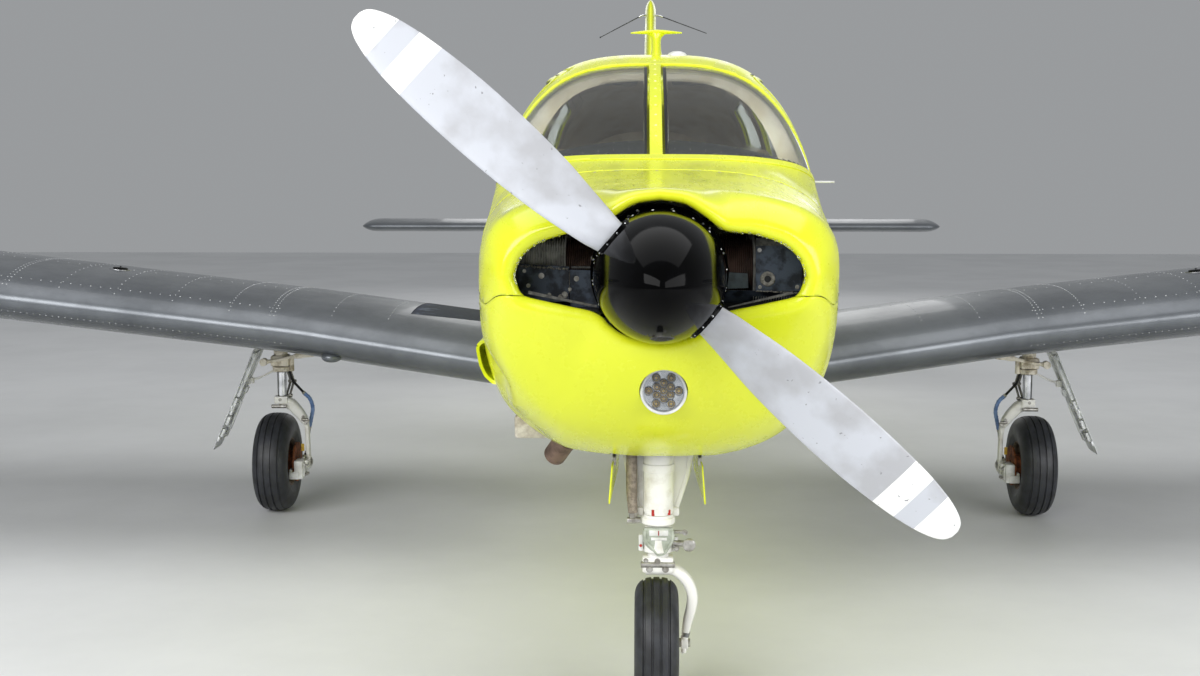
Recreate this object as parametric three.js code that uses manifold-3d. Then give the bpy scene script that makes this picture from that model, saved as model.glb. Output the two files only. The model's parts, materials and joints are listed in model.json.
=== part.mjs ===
// Light aircraft: a four-seat low-wing monoplane with one piston engine, a two-blade propeller and
// a retractable tricycle undercarriage, parked with its gear down.
// Millimetres. +Z is up, the nose points to -Y and the left wing to +X.
// A station is a distance aft of the propeller's plane. The finished group is shifted by the middle
// station, so that the origin lies under the middle of the aircraft, at the height of the floor.

import * as THREE from "three";
import { mergeVertices } from "three/addons/utils/BufferGeometryUtils.js";
import Module from "manifold-3d";

const wasm = await Module();
wasm.setup();

// Driving dimensions

const middleStation = 3480;
const tailEnd = 7230;
const seatGap = 0.3;
const runningGap = 6;

const fuselage = {
  wall: 24,
  tailWall: 7,
  firewall: 1050,
  firewallThickness: 5,
  bulkhead: 4250,
  tailConeEnd: 6760,
  floor: 725,
  sides: 28,
  ringSpacing: 420,
};

const cowl = {
  front: 100,
  wall: 8,
  lipDepth: 45,
  splitHeight: 1150,
  archInner: 182,
  archOuter: 213,
  archRear: 300,
  scoopStation: 780,
  scoopBoreStation: 758,
};

const propeller = {
  height: 1240,
  radius: 935,
  bladeAngle: 139.2,
  hubRadius: 66,
  spinnerRadius: 157,
  spinnerTip: -270,
  spinnerRear: 60,
  plateThickness: 6,
};

const engine = {
  front: 200,
  rear: 880,
  halfWidth: 195,
  bottom: 930,
  top: 1360,
  cylinderRadius: 76,
  headDepth: 92,
};

const wing = {
  tip: 4900,
  leadingEdge: 2160,
  chord: 1600,
  rootLeadingEdge: 1950,
  gloveEnd: 1380,
  noseHeightAtGlove: 853,
  dihedral: 6.6,
  incidence: 2,
  thickness: 0.15,
  camber: 0.01,
};

const hingeLine = { station: 3475, noseRadius: 43, coveRadius: 55 };
const flapSpan = { inner: 625, outer: 2692 };
const aileronSpan = { inner: 2708, outer: 4600 };

const mainGear = {
  track: 3200,
  axleStation: 2950,
  tyreRadius: 209,
  tyreWidth: 146,
  rimRadius: 92,
  legX: 1577,
  forkX: 1478,
};

const noseGear = {
  axleStation: 560,
  tyreRadius: 180,
  tyreWidth: 122,
  rimRadius: 72,
  collarHeight: 519,
};

const tail = {
  finTip: 2465,
  stabilatorSpan: 3640,
  stabilatorHeight: 1044,
  stabilatorLeadingEdge: 6300,
  stabilatorChord: 760,
  pivotStation: 6500,
  skin: 4,
};

// Materials

const finishes = {
  yellowPaint: { color: 0xdcea1c, roughness: 0.25, metalness: 0 },
  silverPaint: { color: 0xa9adb0, roughness: 0.35, metalness: 0.6 },
  bladePaint: { color: 0xcdd0d6, roughness: 0.4, metalness: 0.1 },
  blackPaint: { color: 0x060606, roughness: 0.08, metalness: 0 },
  gearPaint: { color: 0xe4e2da, roughness: 0.35, metalness: 0.1 },
  bareMetal: { color: 0x9c9da0, roughness: 0.4, metalness: 1 },
  castIron: { color: 0x4a4845, roughness: 0.6, metalness: 0.8 },
  rustySteel: { color: 0x6b5447, roughness: 0.7, metalness: 0.7 },
  glass: { color: 0xdfe6e4, roughness: 0.05, metalness: 0, transparent: true, opacity: 0.3 },
  lampGlass: { color: 0xf2f4f2, roughness: 0.1, metalness: 0 },
  rubber: { color: 0x191919, roughness: 0.8, metalness: 0 },
  darkPlastic: { color: 0x1c1c1d, roughness: 0.6, metalness: 0 },
  leather: { color: 0xb9a88c, roughness: 0.7, metalness: 0 },
};

const materials = Object.fromEntries(
  Object.entries(finishes).map(([name, finish]) => [name, new THREE.MeshStandardMaterial(finish)]),
);

// Solids: each helper gives back a closed body that can be joined and cut

function solidOf(geometry) {
  const bare = geometry.clone();
  for (const name of Object.keys(bare.attributes)) if (name !== "position") bare.deleteAttribute(name);
  const merged = mergeVertices(bare, 1e-3);
  const corners = [];
  for (let i = 0; i < merged.index.count; i += 3) {
    const [a, b, c] = [0, 1, 2].map((k) => merged.index.getX(i + k));
    if (a !== b && b !== c && c !== a) corners.push(a, b, c);
  }
  const build = (triVerts) =>
    new wasm.Manifold(
      new wasm.Mesh({ numProp: 3, vertProperties: merged.attributes.position.array, triVerts }),
    );
  const made = build(new Uint32Array(corners));
  return made.volume() > 0 ? made : build(new Uint32Array(corners.reverse()));
}

function geometryOf(solid) {
  const { vertProperties, triVerts } = solid.getMesh();
  const geometry = new THREE.BufferGeometry();
  geometry.setAttribute("position", new THREE.BufferAttribute(vertProperties, 3));
  geometry.setIndex(new THREE.BufferAttribute(triVerts, 1));
  geometry.computeVertexNormals();
  return geometry;
}

const join = (...solids) => solids.reduce((whole, next) => whole.add(next));
const cut = (solid, ...tools) => tools.reduce((rest, tool) => rest.subtract(tool), solid);
const common = (...solids) => solids.reduce((rest, next) => rest.intersect(next));

// The largest of the bodies that a cut leaves
const mainBody = (solid) => solid.decompose().sort((a, b) => b.volume() - a.volume())[0];

const mirrored = (solid) => solidOf(geometryOf(solid).scale(-1, 1, 1));

function block(x, y, z) {
  const geometry = new THREE.BoxGeometry(x[1] - x[0], y[1] - y[0], z[1] - z[0]);
  return solidOf(geometry.translate((x[0] + x[1]) / 2, (y[0] + y[1]) / 2, (z[0] + z[1]) / 2));
}

function rod(from, to, radius, sides = 16, endRadius = radius) {
  const start = new THREE.Vector3(...from);
  const along = new THREE.Vector3(...to).sub(start);
  const geometry = new THREE.CylinderGeometry(endRadius, radius, along.length(), sides);
  geometry.translate(0, along.length() / 2, 0);
  const turn = new THREE.Quaternion().setFromUnitVectors(
    new THREE.Vector3(0, 1, 0),
    along.clone().normalize(),
  );
  return solidOf(geometry.applyQuaternion(turn).translate(...from));
}

// A body turned about the station axis from [radius, station] pairs
function turned(profile, sides = 48) {
  return solidOf(new THREE.LatheGeometry(profile.map(([r, y]) => new THREE.Vector2(r, y)), sides));
}

// The same about the axle, from [radius, distance along x] pairs
function turnedOnAxle(profile, sides = 40) {
  const geometry = new THREE.LatheGeometry(profile.map(([r, x]) => new THREE.Vector2(r, x)), sides);
  return solidOf(geometry.rotateZ(-Math.PI / 2));
}

// A prism of a side outline [station, height], a front outline [x, height] or a plan outline
// [x, station], which reaches from one place to another along the axis it is seen along
const viewBases = {
  side: [[0, 1, 0], [0, 0, 1], [1, 0, 0]],
  front: [[1, 0, 0], [0, 0, 1], [0, -1, 0]],
  plan: [[1, 0, 0], [0, 1, 0], [0, 0, 1]],
};

function prism(view, outline, from, to) {
  const shape = new THREE.Shape(outline.map(([a, b]) => new THREE.Vector2(a, b)));
  const geometry = new THREE.ExtrudeGeometry(shape, { depth: to - from, bevelEnabled: false });
  const basis = viewBases[view].map((axis) => new THREE.Vector3(...axis));
  const start = view === "front" ? to : from;
  geometry.applyMatrix4(new THREE.Matrix4().makeBasis(...basis));
  const offset = basis[2].clone().multiplyScalar(view === "front" ? -start : start);
  return solidOf(geometry.translate(offset.x, offset.y, offset.z));
}

// A tube with round ends cut square, along a smooth route
function sweep(route, radius, sides, steps) {
  const circle = new THREE.Shape();
  const corner = (k) => [
    radius * Math.cos((2 * Math.PI * k) / sides),
    radius * Math.sin((2 * Math.PI * k) / sides),
  ];
  circle.moveTo(...corner(0));
  for (let k = 1; k < sides; k++) circle.lineTo(...corner(k));
  const path = new THREE.CatmullRomCurve3(route.map((point) => new THREE.Vector3(...point)));
  return solidOf(new THREE.ExtrudeGeometry(circle, { steps, extrudePath: path, bevelEnabled: false }));
}

// A body lofted through rings of points, closed by a fan at each end
function loft(rings) {
  const count = rings[0].length;
  const points = rings.flat();
  const corners = [];
  for (let r = 0; r + 1 < rings.length; r++) {
    for (let k = 0; k < count; k++) {
      const a = r * count + k;
      const b = r * count + ((k + 1) % count);
      corners.push(a, b, b + count, a, b + count, a + count);
    }
  }
  for (const [ring, first, way] of [
    [rings[0], 0, 1],
    [rings.at(-1), (rings.length - 1) * count, 0],
  ]) {
    const centre = points.length;
    points.push(ring.reduce((sum, p) => sum.add(p), new THREE.Vector3()).divideScalar(count));
    for (let k = 0; k < count; k++) {
      const pair = [first + k, first + ((k + 1) % count)];
      corners.push(centre, pair[way], pair[1 - way]);
    }
  }
  const geometry = new THREE.BufferGeometry().setFromPoints(points);
  geometry.setIndex(corners);
  return solidOf(geometry);
}

// An outline with each edge moved inwards and each corner rounded; corners run anticlockwise
function rounded(outline, radius, inwards = 0, steps = 3) {
  const count = outline.length;
  const edges = outline.map((p, i) => {
    const q = outline[(i + 1) % count];
    const along = new THREE.Vector2(q[0] - p[0], q[1] - p[1]).normalize();
    const start = new THREE.Vector2(p[0] - along.y * inwards, p[1] + along.x * inwards);
    return { start, along };
  });
  const corners = edges.map((edge, i) => {
    const before = edges[(i + count - 1) % count];
    const between = edge.start.clone().sub(before.start);
    const reach = between.cross(edge.along) / before.along.cross(edge.along);
    return before.start.clone().addScaledVector(before.along, reach);
  });
  return corners.flatMap((corner, i) => {
    const into = edges[(i + count - 1) % count].along;
    const out = edges[i].along;
    const from = corner.clone().addScaledVector(into, -radius);
    const to = corner.clone().addScaledVector(out, radius);
    const bend = new THREE.QuadraticBezierCurve(from, corner, to);
    return bend.getPoints(steps).map((p) => [p.x, p.y]);
  });
}

// Fuselage sections

const sectionColumns = ["station", "halfWidth", "widest", "top", "bottom", "upper", "lower"];
// upper and lower are the fullness above and below the widest line: 2 is an ellipse, more is squarer
const sectionTable = [
  [100, 345, 1262, 1415, 1035, 3.2, 2.4],
  [125, 385, 1256, 1432, 985, 3.2, 2.4],
  [170, 418, 1248, 1440, 935, 3.1, 2.5],
  [250, 446, 1235, 1443, 850, 3.0, 2.6],
  [350, 463, 1222, 1445, 775, 3.0, 2.7],
  [480, 477, 1208, 1449, 720, 3.0, 2.8],
  [650, 491, 1198, 1455, 690, 3.0, 2.9],
  [1050, 530, 1185, 1478, 640, 3.0, 3.3],
  [1350, 546, 1188, 1521, 625, 3.1, 3.6],
  [1750, 556, 1190, 1698, 610, 3.2, 3.8],
  [2050, 559, 1190, 1810, 604, 3.1, 3.9],
  [2350, 560, 1190, 1882, 602, 3.1, 3.9],
  [2650, 558, 1190, 1902, 602, 3.1, 3.9],
  [3200, 545, 1188, 1893, 605, 3.1, 3.8],
  [3600, 520, 1182, 1838, 625, 3.0, 3.4],
  [3900, 488, 1174, 1755, 655, 2.8, 3.1],
  [4250, 440, 1162, 1632, 700, 2.6, 2.9],
  [4700, 372, 1146, 1505, 762, 2.5, 2.7],
  [5400, 262, 1122, 1375, 842, 2.4, 2.6],
  [6200, 142, 1092, 1262, 925, 2.4, 2.5],
  [6760, 70, 1072, 1178, 968, 2.3, 2.4],
];
const sections = sectionTable.map((row) =>
  Object.fromEntries(sectionColumns.map((name, i) => [name, row[i]])),
);

// The section at any station, each column running smoothly through the table's values
function sectionAt(station) {
  const last = sections.length - 1;
  const after = Math.min(Math.max(sections.findIndex((s) => s.station >= station), 1), last);
  const [a, b] = [sections[after - 1], sections[after]];
  const span = b.station - a.station;
  const t = (station - a.station) / span;
  const slope = (i, name) => {
    const [low, high] = [sections[Math.max(i - 1, 0)], sections[Math.min(i + 1, last)]];
    return (high[name] - low[name]) / (high.station - low.station);
  };
  const value = (name) =>
    (1 + 2 * t) * (1 - t) ** 2 * a[name] +
    t * (1 - t) ** 2 * span * slope(after - 1, name) +
    t * t * (3 - 2 * t) * b[name] +
    t * t * (t - 1) * span * slope(after, name);
  return Object.fromEntries(sectionColumns.slice(1).map((name) => [name, value(name)]));
}

function sectionRing(station, inset) {
  const s = sectionAt(station);
  const ring = [];
  for (let k = 0; k < fuselage.sides; k++) {
    const angle = (2 * Math.PI * (k + 0.5)) / fuselage.sides;
    const [c, h] = [Math.cos(angle), Math.sin(angle)];
    const power = 2 / (h > 0 ? s.upper : s.lower);
    const rise = h > 0 ? s.top - s.widest : s.widest - s.bottom;
    ring.push(
      new THREE.Vector3(
        Math.sign(c) * Math.abs(c) ** power * (s.halfWidth - inset),
        station,
        s.widest + Math.sign(h) * Math.abs(h) ** power * (rise - inset),
      ),
    );
  }
  return ring;
}

// Every piece of the fuselage is cut from lofts through rings at the same stations
const ringStations = sections.flatMap(({ station }, i) => {
  const next = sections[i + 1]?.station ?? station;
  const halfWay = next - station > fuselage.ringSpacing ? [(station + next) / 2] : [];
  return [station, ...halfWay];
});

const reach = 3000;
const between = (from, to) => block([-reach, reach], [from, to], [-reach, 2 * reach]);
const above = (height) => block([-reach, reach], [-reach, 3 * reach], [height, 2 * reach]);
const below = (height) => block([-reach, reach], [-reach, 3 * reach], [-reach, height]);

// The fuselage's body between two stations, made smaller all round by an inset
function fuselageBody(from, to, inset = 0) {
  const first = Math.max(ringStations.findIndex((s) => s > from) - 1, 0);
  const last = ringStations.findIndex((s) => s >= to);
  const used = ringStations.slice(first, last < 0 ? undefined : last + 1);
  return common(loft(used.map((station) => sectionRing(station, inset))), between(from, to));
}

// Engine cowl: two shells that meet at a level split line, with one mouth across the front

const mouthHalf = [
  [0, 1421],
  [60, 1411],
  [108, 1382],
  [150, 1349],
  [230, 1339],
  [296, 1315],
  [338, 1276],
  [352, 1238],
  [346, 1214],
  [336, 1191],
  [300, 1180],
  [205, 1164],
  [150, 1158],
  [128, 1125],
  [88, 1092],
  [45, 1074],
  [0, 1068],
];
const mouthOutline = [
  ...mouthHalf.map(([x, z]) => [-x, z]),
  ...mouthHalf.slice(1, -1).reverse(),
];

const scoopOutline = [
  [-508, 905],
  [-470, 868],
  [-425, 868],
  [-425, 1000],
  [-498, 1000],
];
const noseWell = { halfWidth: 127, front: 470, rear: 1051 };
const exhaust = {
  radius: 34,
  wall: 5,
  clearance: 12,
  route: [
    [-120, 640, engine.bottom + 20],
    [-120, 650, 890],
    [-190, 780, 770],
    [-262, 905, 690],
    [-306, 985, 622],
  ],
};
const lamp = { x: 12, height: 945, radius: 59, front: 162, rear: 230 };

function cowlShells() {
  const arch = turned(
    [
      [cowl.archInner, 108],
      [189, 92],
      [200, 86],
      [209, 96],
      [cowl.archOuter, 120],
      [cowl.archOuter - 4, cowl.archRear],
      [cowl.archInner, cowl.archRear],
      [cowl.archInner, 108],
    ],
    64,
  );
  const raisedArch = solidOf(geometryOf(arch).translate(0, 0, propeller.height));
  const rear = fuselage.firewall;
  const scoop = prism("front", scoopOutline, cowl.scoopStation, cowl.scoopStation + 230);
  const outer = join(
    fuselageBody(cowl.front, rear),
    common(raisedArch, above(propeller.height + 70)),
    scoop,
  );
  const hollow = fuselageBody(cowl.front + cowl.lipDepth, rear + 1, cowl.wall);
  const scoopBore = prism("front", rounded(scoopOutline, 8, 9), cowl.scoopBoreStation, 1000);
  const mouth = prism("front", mouthOutline, 0, 420);
  const wellCut = block(
    [-noseWell.halfWidth - seatGap, noseWell.halfWidth + seatGap],
    [noseWell.front, noseWell.rear],
    [500, 800],
  );
  const exhaustCut = sweep(exhaust.route, exhaust.radius + exhaust.clearance, 10, 8);
  const lampCut = rod(
    [lamp.x, 0, lamp.height],
    [lamp.x, lamp.rear + 40, lamp.height],
    lamp.radius + seatGap,
    40,
  );
  const shell = cut(outer, hollow, mouth, scoopBore);
  return {
    upper: mainBody(common(shell, above(cowl.splitHeight + seatGap / 2))),
    lower: mainBody(
      cut(common(shell, below(cowl.splitHeight - seatGap / 2)), wellCut, exhaustCut, lampCut),
    ),
  };
}

const landingLight = () =>
  rod([lamp.x, lamp.front, lamp.height], [lamp.x, lamp.rear, lamp.height], lamp.radius, 40);

// Engine: a crankcase with four flat cylinders, its sump and the feet that reach the firewall

const cylinderStations = { left: [330, 590], right: [365, 625] };

function engineBlock() {
  const { front, rear, halfWidth, bottom, top, cylinderRadius, headDepth } = engine;
  const crankcase = block([-halfWidth, halfWidth], [front, rear], [1060, top]);
  const sump = block([-halfWidth + 10, halfWidth - 10], [front + 110, rear - 50], [bottom, 1065]);
  const accessories = block([-130, 130], [rear - 5, rear + 110], [1010, 1300]);
  const cylinders = Object.entries(cylinderStations).flatMap(([side, stations]) => {
    const way = side === "left" ? 1 : -1;
    return stations.map((station) => {
      const start = [way * (halfWidth - 20), station, propeller.height];
      const barrel = rod(start, [way * 300, station, propeller.height], cylinderRadius, 16);
      const xs = way > 0 ? [280, 405] : [-405, -280];
      const ys = [station - headDepth, station + headDepth];
      return join(barrel, block(xs, ys, [propeller.height - 88, propeller.height + 88]));
    });
  });
  const feet = [-1, 1].flatMap((way) =>
    [1130, 1310].map((z) =>
      rod([way * 165, rear - 20, z], [way * 165, fuselage.firewall - seatGap, z], 20, 12),
    ),
  );
  return join(crankcase, sump, accessories, ...cylinders, ...feet);
}

const bafflePanels = {
  left: [
    [engine.halfWidth + seatGap, 250, 1160, 1212],
    [249, 356, 1160, 1326],
  ],
  right: [[-356, -engine.halfWidth - seatGap, 1160, 1232]],
};

function baffle(side) {
  const front = cylinderStations[side][0] - engine.headDepth - seatGap;
  return join(
    ...bafflePanels[side].map(([x0, x1, z0, z1]) => block([x0, x1], [front - 4, front], [z0, z1])),
  );
}

function exhaustPipe() {
  const { route, radius, wall } = exhaust;
  const pipe = cut(sweep(route, radius, 10, 8), sweep(route.slice(1), radius - wall, 10, 6));
  return common(pipe, below(engine.bottom - seatGap));
}

// Propeller: hub and blades about the station axis, with the first blade along +x before it is set

const bladeColumns = ["radius", "width", "thickness", "pitch"];
const bladeTable = [
  [40, 84, 84, 0],
  [118, 80, 78, 4],
  [170, 102, 50, 40],
  [240, 132, 34, 38],
  [340, 152, 25, 31],
  [480, 164, 20, 25],
  [640, 164, 15, 20],
  [780, 143, 11, 17],
  [870, 110, 8, 15],
  [915, 72, 6, 14],
  [propeller.radius, 26, 4, 14],
];

function blade() {
  const sides = 12;
  return loft(
    bladeTable.map((row) => {
      const s = Object.fromEntries(bladeColumns.map((name, i) => [name, row[i]]));
      const pitch = THREE.MathUtils.degToRad(s.pitch);
      return Array.from({ length: sides }, (_, k) => {
        const angle = (2 * Math.PI * k) / sides;
        const wide = (s.width / 2) * Math.cos(angle);
        const thick = (s.thickness / 2) * Math.sin(angle);
        return new THREE.Vector3(
          s.radius,
          -wide * Math.sin(pitch) + thick * Math.cos(pitch),
          wide * Math.cos(pitch) + thick * Math.sin(pitch),
        );
      });
    }),
  );
}

function bladesAndHub() {
  const one = blade();
  const other = solidOf(geometryOf(one).rotateY(Math.PI));
  const hub = turned([
    [0, -95],
    [44, -95],
    [propeller.hubRadius, -60],
    [propeller.hubRadius, propeller.spinnerRear - seatGap],
    [0, propeller.spinnerRear - seatGap],
  ], 32);
  return join(hub, one, other);
}

// [radius, station] of the spinner's skin, made smaller by an inset
function spinnerCurve(inset, steps = 9) {
  const length = propeller.spinnerRear - propeller.spinnerTip;
  return Array.from({ length: steps + 1 }, (_, k) => {
    const u = Math.cos((k / steps) * (Math.PI / 2));
    const radius = (propeller.spinnerRadius - inset) * (1 - u ** 1.9) ** 0.6;
    return [k === 0 ? 0 : radius, propeller.spinnerRear - u * (length - inset)];
  });
}

function spinnerShell() {
  const skin = turned([...spinnerCurve(0), ...spinnerCurve(4).reverse()], 24);
  const rootHole = rod([-400, 0, 0], [400, 0, 0], 56, 16);
  return cut(skin, rootHole);
}

function spinnerPlate() {
  const { spinnerRear, plateThickness, spinnerRadius } = propeller;
  const disc = turned([
    [0, spinnerRear],
    [spinnerRadius, spinnerRear],
    [spinnerRadius, spinnerRear + plateThickness],
    [40, spinnerRear + plateThickness],
    [34, engine.front - seatGap],
    [0, engine.front - seatGap],
  ], 32);
  return solidOf(geometryOf(disc).translate(0, seatGap / 2, 0));
}

// Hinges

// Arms of the fixed part that reach, in slots of the moving part's nose, to short pins on the hinge line
function bracketed({ fixed, moving }, centres, line, { across, pin, arm, nose, cove }) {
  const box = (centre, half, y, cross) =>
    block(
      ...[0, 1, 2].map((axis) => {
        const size = axis === 1 ? y : axis === across ? [-half, half] : [-cross, cross];
        return size.map((v) => centre[axis] + v);
      }),
    );
  const pinAt = (centre) => {
    const [from, to] = [-12, 12].map((d) => centre.map((v, axis) => v + line[axis] * d));
    return rod(from, to, pin, 8);
  };
  return {
    fixed: join(fixed, ...centres.map((c) => box(c, 4, [-cove - 16, -pin - 0.8], arm))),
    moving: join(
      cut(moving, ...centres.map((c) => box(c, 10, [-cove - 16, arm + 3], nose + 12))),
      ...centres.map(pinAt),
    ),
  };
}

// Knuckles on one pin line: the middle third belongs to the door and the outer two to its frame
function knuckled({ frame, door }, lines, radius) {
  let [fixed, moving] = [frame, door];
  for (const [from, to] of lines) {
    const [start, end] = [new THREE.Vector3(...from), new THREE.Vector3(...to)];
    const at = (mm) => start.clone().lerp(end, mm / start.distanceTo(end)).toArray();
    const [low, high] = [start.distanceTo(end) / 3, (start.distanceTo(end) * 2) / 3];
    const whole = start.distanceTo(end);
    const clear = radius + 4;
    const half = seatGap / 2;
    fixed = cut(fixed, rod(at(low - half), at(high + half), clear, 16));
    fixed = join(fixed, rod(at(0), at(low - half), radius, 10), rod(at(high + half), at(whole), radius, 10));
    moving = cut(moving, rod(at(-4), at(low + half), clear, 16), rod(at(high - half), at(whole + 4), clear, 16));
    moving = join(moving, rod(at(low + half), at(high - half), radius, 10));
  }
  return { frame: fixed, door: moving };
}

// Cabin: one shell with its windows, windscreen and doors cut out of it

const windscreenOutline = [
  [1180, 1566],
  [1350, 1523],
  [1765, 1428],
  [1815, 1436],
  [2300, 1980],
  [1180, 1980],
];
const postHalfWidth = 21;

// Side windows, front to rear: [station, height] corners, anticlockwise
const windowOutlines = {
  front: [
    [1885, 1462],
    [2640, 1462],
    [2622, 1792],
    [2235, 1792],
  ],
  middle: [
    [2728, 1462],
    [3330, 1474],
    [3268, 1784],
    [2712, 1792],
  ],
  rear: [
    [3412, 1492],
    [3790, 1528],
    [3640, 1722],
    [3370, 1768],
  ],
};
const windowRadius = 55;

const doorOutline = [
  [1832, 960],
  [2690, 960],
  [2668, 1838],
  [2262, 1838],
  [1832, 1420],
];
const luggageOutline = [
  [3440, 960],
  [3960, 985],
  [3960, 1400],
  [3440, 1400],
];

// The doors' own outlines stand a little further from the edges that their far corners swing past
const doorPanelOutline = [
  [1832, 960],
  [2690, 960],
  [2652, 1836],
  [2262, 1836],
  [1832, 1418],
];
const luggagePanelOutline = [
  [3445, 960],
  [3955, 985],
  [3955, 1400],
  [3445, 1400],
];
const knuckleRadius = 10;

// Half the fuselage's width at one height of a section
function halfWidthAt(station, height) {
  const s = sectionAt(station);
  const rise = height > s.widest ? s.top - s.widest : s.widest - s.bottom;
  const power = height > s.widest ? s.upper : s.lower;
  return s.halfWidth * (1 - Math.abs((height - s.widest) / rise) ** power) ** (1 / power);
}

const doorHingeX = -(sectionAt(1832).halfWidth - 3);
const doorHinges = [
  [[doorHingeX, 1832, 1030], [doorHingeX, 1832, 1120]],
  [[doorHingeX, 1832, 1270], [doorHingeX, 1832, 1360]],
];
const luggageHinge = [3500, 3900].map((station) => [-halfWidthAt(station, 1400) + 1, station, 1400]);
const onLuggageHinge = (t) => luggageHinge[0].map((v, i) => v + t * (luggageHinge[1][i] - v));
const luggageHinges = [
  [onLuggageHinge(0), onLuggageHinge(0.22)],
  [onLuggageHinge(0.78), onLuggageHinge(1)],
];

const wholeSide = (side) => (side === "left" ? [0.1, reach] : [-reach, -0.1]);

function pane(outline, side) {
  const sheet = cut(fuselageBody(1060, 4240, 7), fuselageBody(1059, 4241, 13));
  return mainBody(
    common(sheet, prism("side", rounded(outline, windowRadius, seatGap), ...wholeSide(side))),
  );
}

function windscreenPane(side) {
  const sheet = cut(fuselageBody(1060, 2500, 5), fuselageBody(1059, 2501, 11));
  const inner = side === "left" ? [postHalfWidth + seatGap, reach] : [-reach, -postHalfWidth - seatGap];
  return mainBody(common(sheet, prism("side", rounded(windscreenOutline, 4, seatGap), ...inner)));
}

function windscreenPost() {
  const sheet = cut(fuselageBody(1060, 2500), fuselageBody(1059, 2501, fuselage.wall));
  const zone = prism("side", rounded(windscreenOutline, 4, seatGap), -postHalfWidth, postHalfWidth);
  return mainBody(common(sheet, zone));
}

const hollowCabin = () =>
  common(
    fuselageBody(fuselage.firewall + 6, fuselage.bulkhead - 20, fuselage.wall),
    above(fuselage.floor),
  );

function cabinShell() {
  const outer = fuselageBody(fuselage.firewall + fuselage.firewallThickness + seatGap, fuselage.bulkhead);
  const openings = [
    prism("side", rounded(windscreenOutline, 4), -reach, reach),
    prism("side", rounded(doorOutline, 60), -reach, -150),
    prism("side", rounded(luggageOutline, 50), -reach, -150),
    prism("side", rounded(windowOutlines.front, windowRadius), 150, reach),
    prism("side", rounded(windowOutlines.middle, windowRadius), -reach, reach),
    prism("side", rounded(windowOutlines.rear, windowRadius), -reach, reach),
  ];
  return mainBody(cut(outer, hollowCabin(), ...openings));
}

// The shell and its two doors, joined by their hinges
function cabinPieces() {
  const cabin = knuckled({ frame: cabinShell(), door: cabinDoor() }, doorHinges, knuckleRadius);
  const luggage = knuckled(
    { frame: cabin.frame, door: mainBody(doorPanel(luggagePanelOutline, 50)) },
    luggageHinges,
    knuckleRadius,
  );
  return { shell: luggage.frame, cabinDoor: cabin.door, luggageDoor: luggage.door };
}

function doorPanel(outline, radius) {
  const sheet = cut(fuselageBody(1060, 4240), fuselageBody(1059, 4241, fuselage.wall - 2));
  return common(sheet, prism("side", rounded(outline, radius, runningGap), -reach, -150));
}

function cabinDoor() {
  const windowCut = prism("side", rounded(windowOutlines.front, windowRadius), -reach, -100);
  return mainBody(cut(doorPanel(doorPanelOutline, 60), windowCut));
}

function firewallPlate() {
  const { firewall, firewallThickness } = fuselage;
  return fuselageBody(firewall + seatGap / 2, firewall + firewallThickness, 0);
}

// Instrument panel with its glare shield and the two control wheels on their shafts
function instrumentPanel() {
  const inner = fuselage.wall + seatGap;
  const face = common(
    fuselageBody(1700, 1722, inner),
    block([-reach, reach], [0, reach], [1120, 1420]),
  );
  const shield = common(
    fuselageBody(1470, 1790, inner),
    block([-reach, reach], [0, reach], [1404, 1424]),
  );
  const wheels = [-1, 1].flatMap((way) => {
    const x = way * 255;
    return [
      rod([x, 1715, 1265], [x, 1880, 1265], 14, 12),
      block([x - 120, x + 120], [1868, 1892], [1250, 1280]),
      block([x - 134, x - 112], [1866, 1894], [1246, 1350]),
      block([x + 112, x + 134], [1866, 1894], [1246, 1350]),
    ];
  });
  return join(face, shield, ...wheels);
}

// Seats: a padded cushion and back on a low frame
const seatSide = (base) => [
  [base.front, base.cushionBottom],
  [base.rear, base.cushionBottom],
  [base.rear + 40, base.cushionBottom + 120],
  [base.rear + base.lean, base.top],
  [base.rear + base.lean - 95, base.top],
  [base.rear - 65, base.cushionTop + 40],
  [base.rear - 90, base.cushionTop],
  [base.front + 20, base.cushionTop + 15],
];

function seat(x0, x1, base) {
  const padding = prism("side", seatSide(base), x0, x1);
  const frame = block(
    [x0 + 40, x1 - 40],
    [base.front + 60, base.rear - 20],
    [fuselage.floor + seatGap, base.cushionBottom + 5],
  );
  return join(padding, frame);
}

const frontSeat = {
  front: 2080,
  rear: 2560,
  cushionBottom: 900,
  cushionTop: 1020,
  top: 1560,
  lean: 130,
};
const rearSeat = {
  front: 2960,
  rear: 3400,
  cushionBottom: 880,
  cushionTop: 1000,
  top: 1480,
  lean: 90,
};

// Tail cone with the slot that the stabilator's tube passes through

function tailCone() {
  const outer = fuselageBody(fuselage.bulkhead + seatGap, fuselage.tailConeEnd);
  const hollow = fuselageBody(fuselage.bulkhead - 10, 6690, fuselage.tailWall);
  const tubeHole = rod(
    [-400, tail.pivotStation, tail.stabilatorHeight],
    [400, tail.pivotStation, tail.stabilatorHeight],
    tubeRadius + 0.8,
    24,
  );
  return mainBody(cut(outer, hollow, tubeHole));
}

// Aerofoils

// [fraction of the chord, height as a fraction of the chord] round a section from the trailing edge
function aerofoil(thickness, camber, steps = 12) {
  const half = (x) =>
    5 *
    thickness *
    (0.2969 * Math.sqrt(x) - 0.126 * x - 0.3516 * x ** 2 + 0.2843 * x ** 3 - 0.1036 * x ** 4);
  const points = [];
  for (let k = 0; k <= 2 * steps; k++) {
    const side = k <= steps ? 1 : -1;
    const x = (1 + Math.cos((k * Math.PI) / steps)) / 2;
    points.push([x, 4 * camber * x * (1 - x) + side * half(x)]);
  }
  return points.slice(0, -1);
}

const slope = Math.tan(THREE.MathUtils.degToRad(wing.dihedral));
const noseHeight = (x) => wing.noseHeightAtGlove + (x - wing.gloveEnd) * slope;

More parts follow.
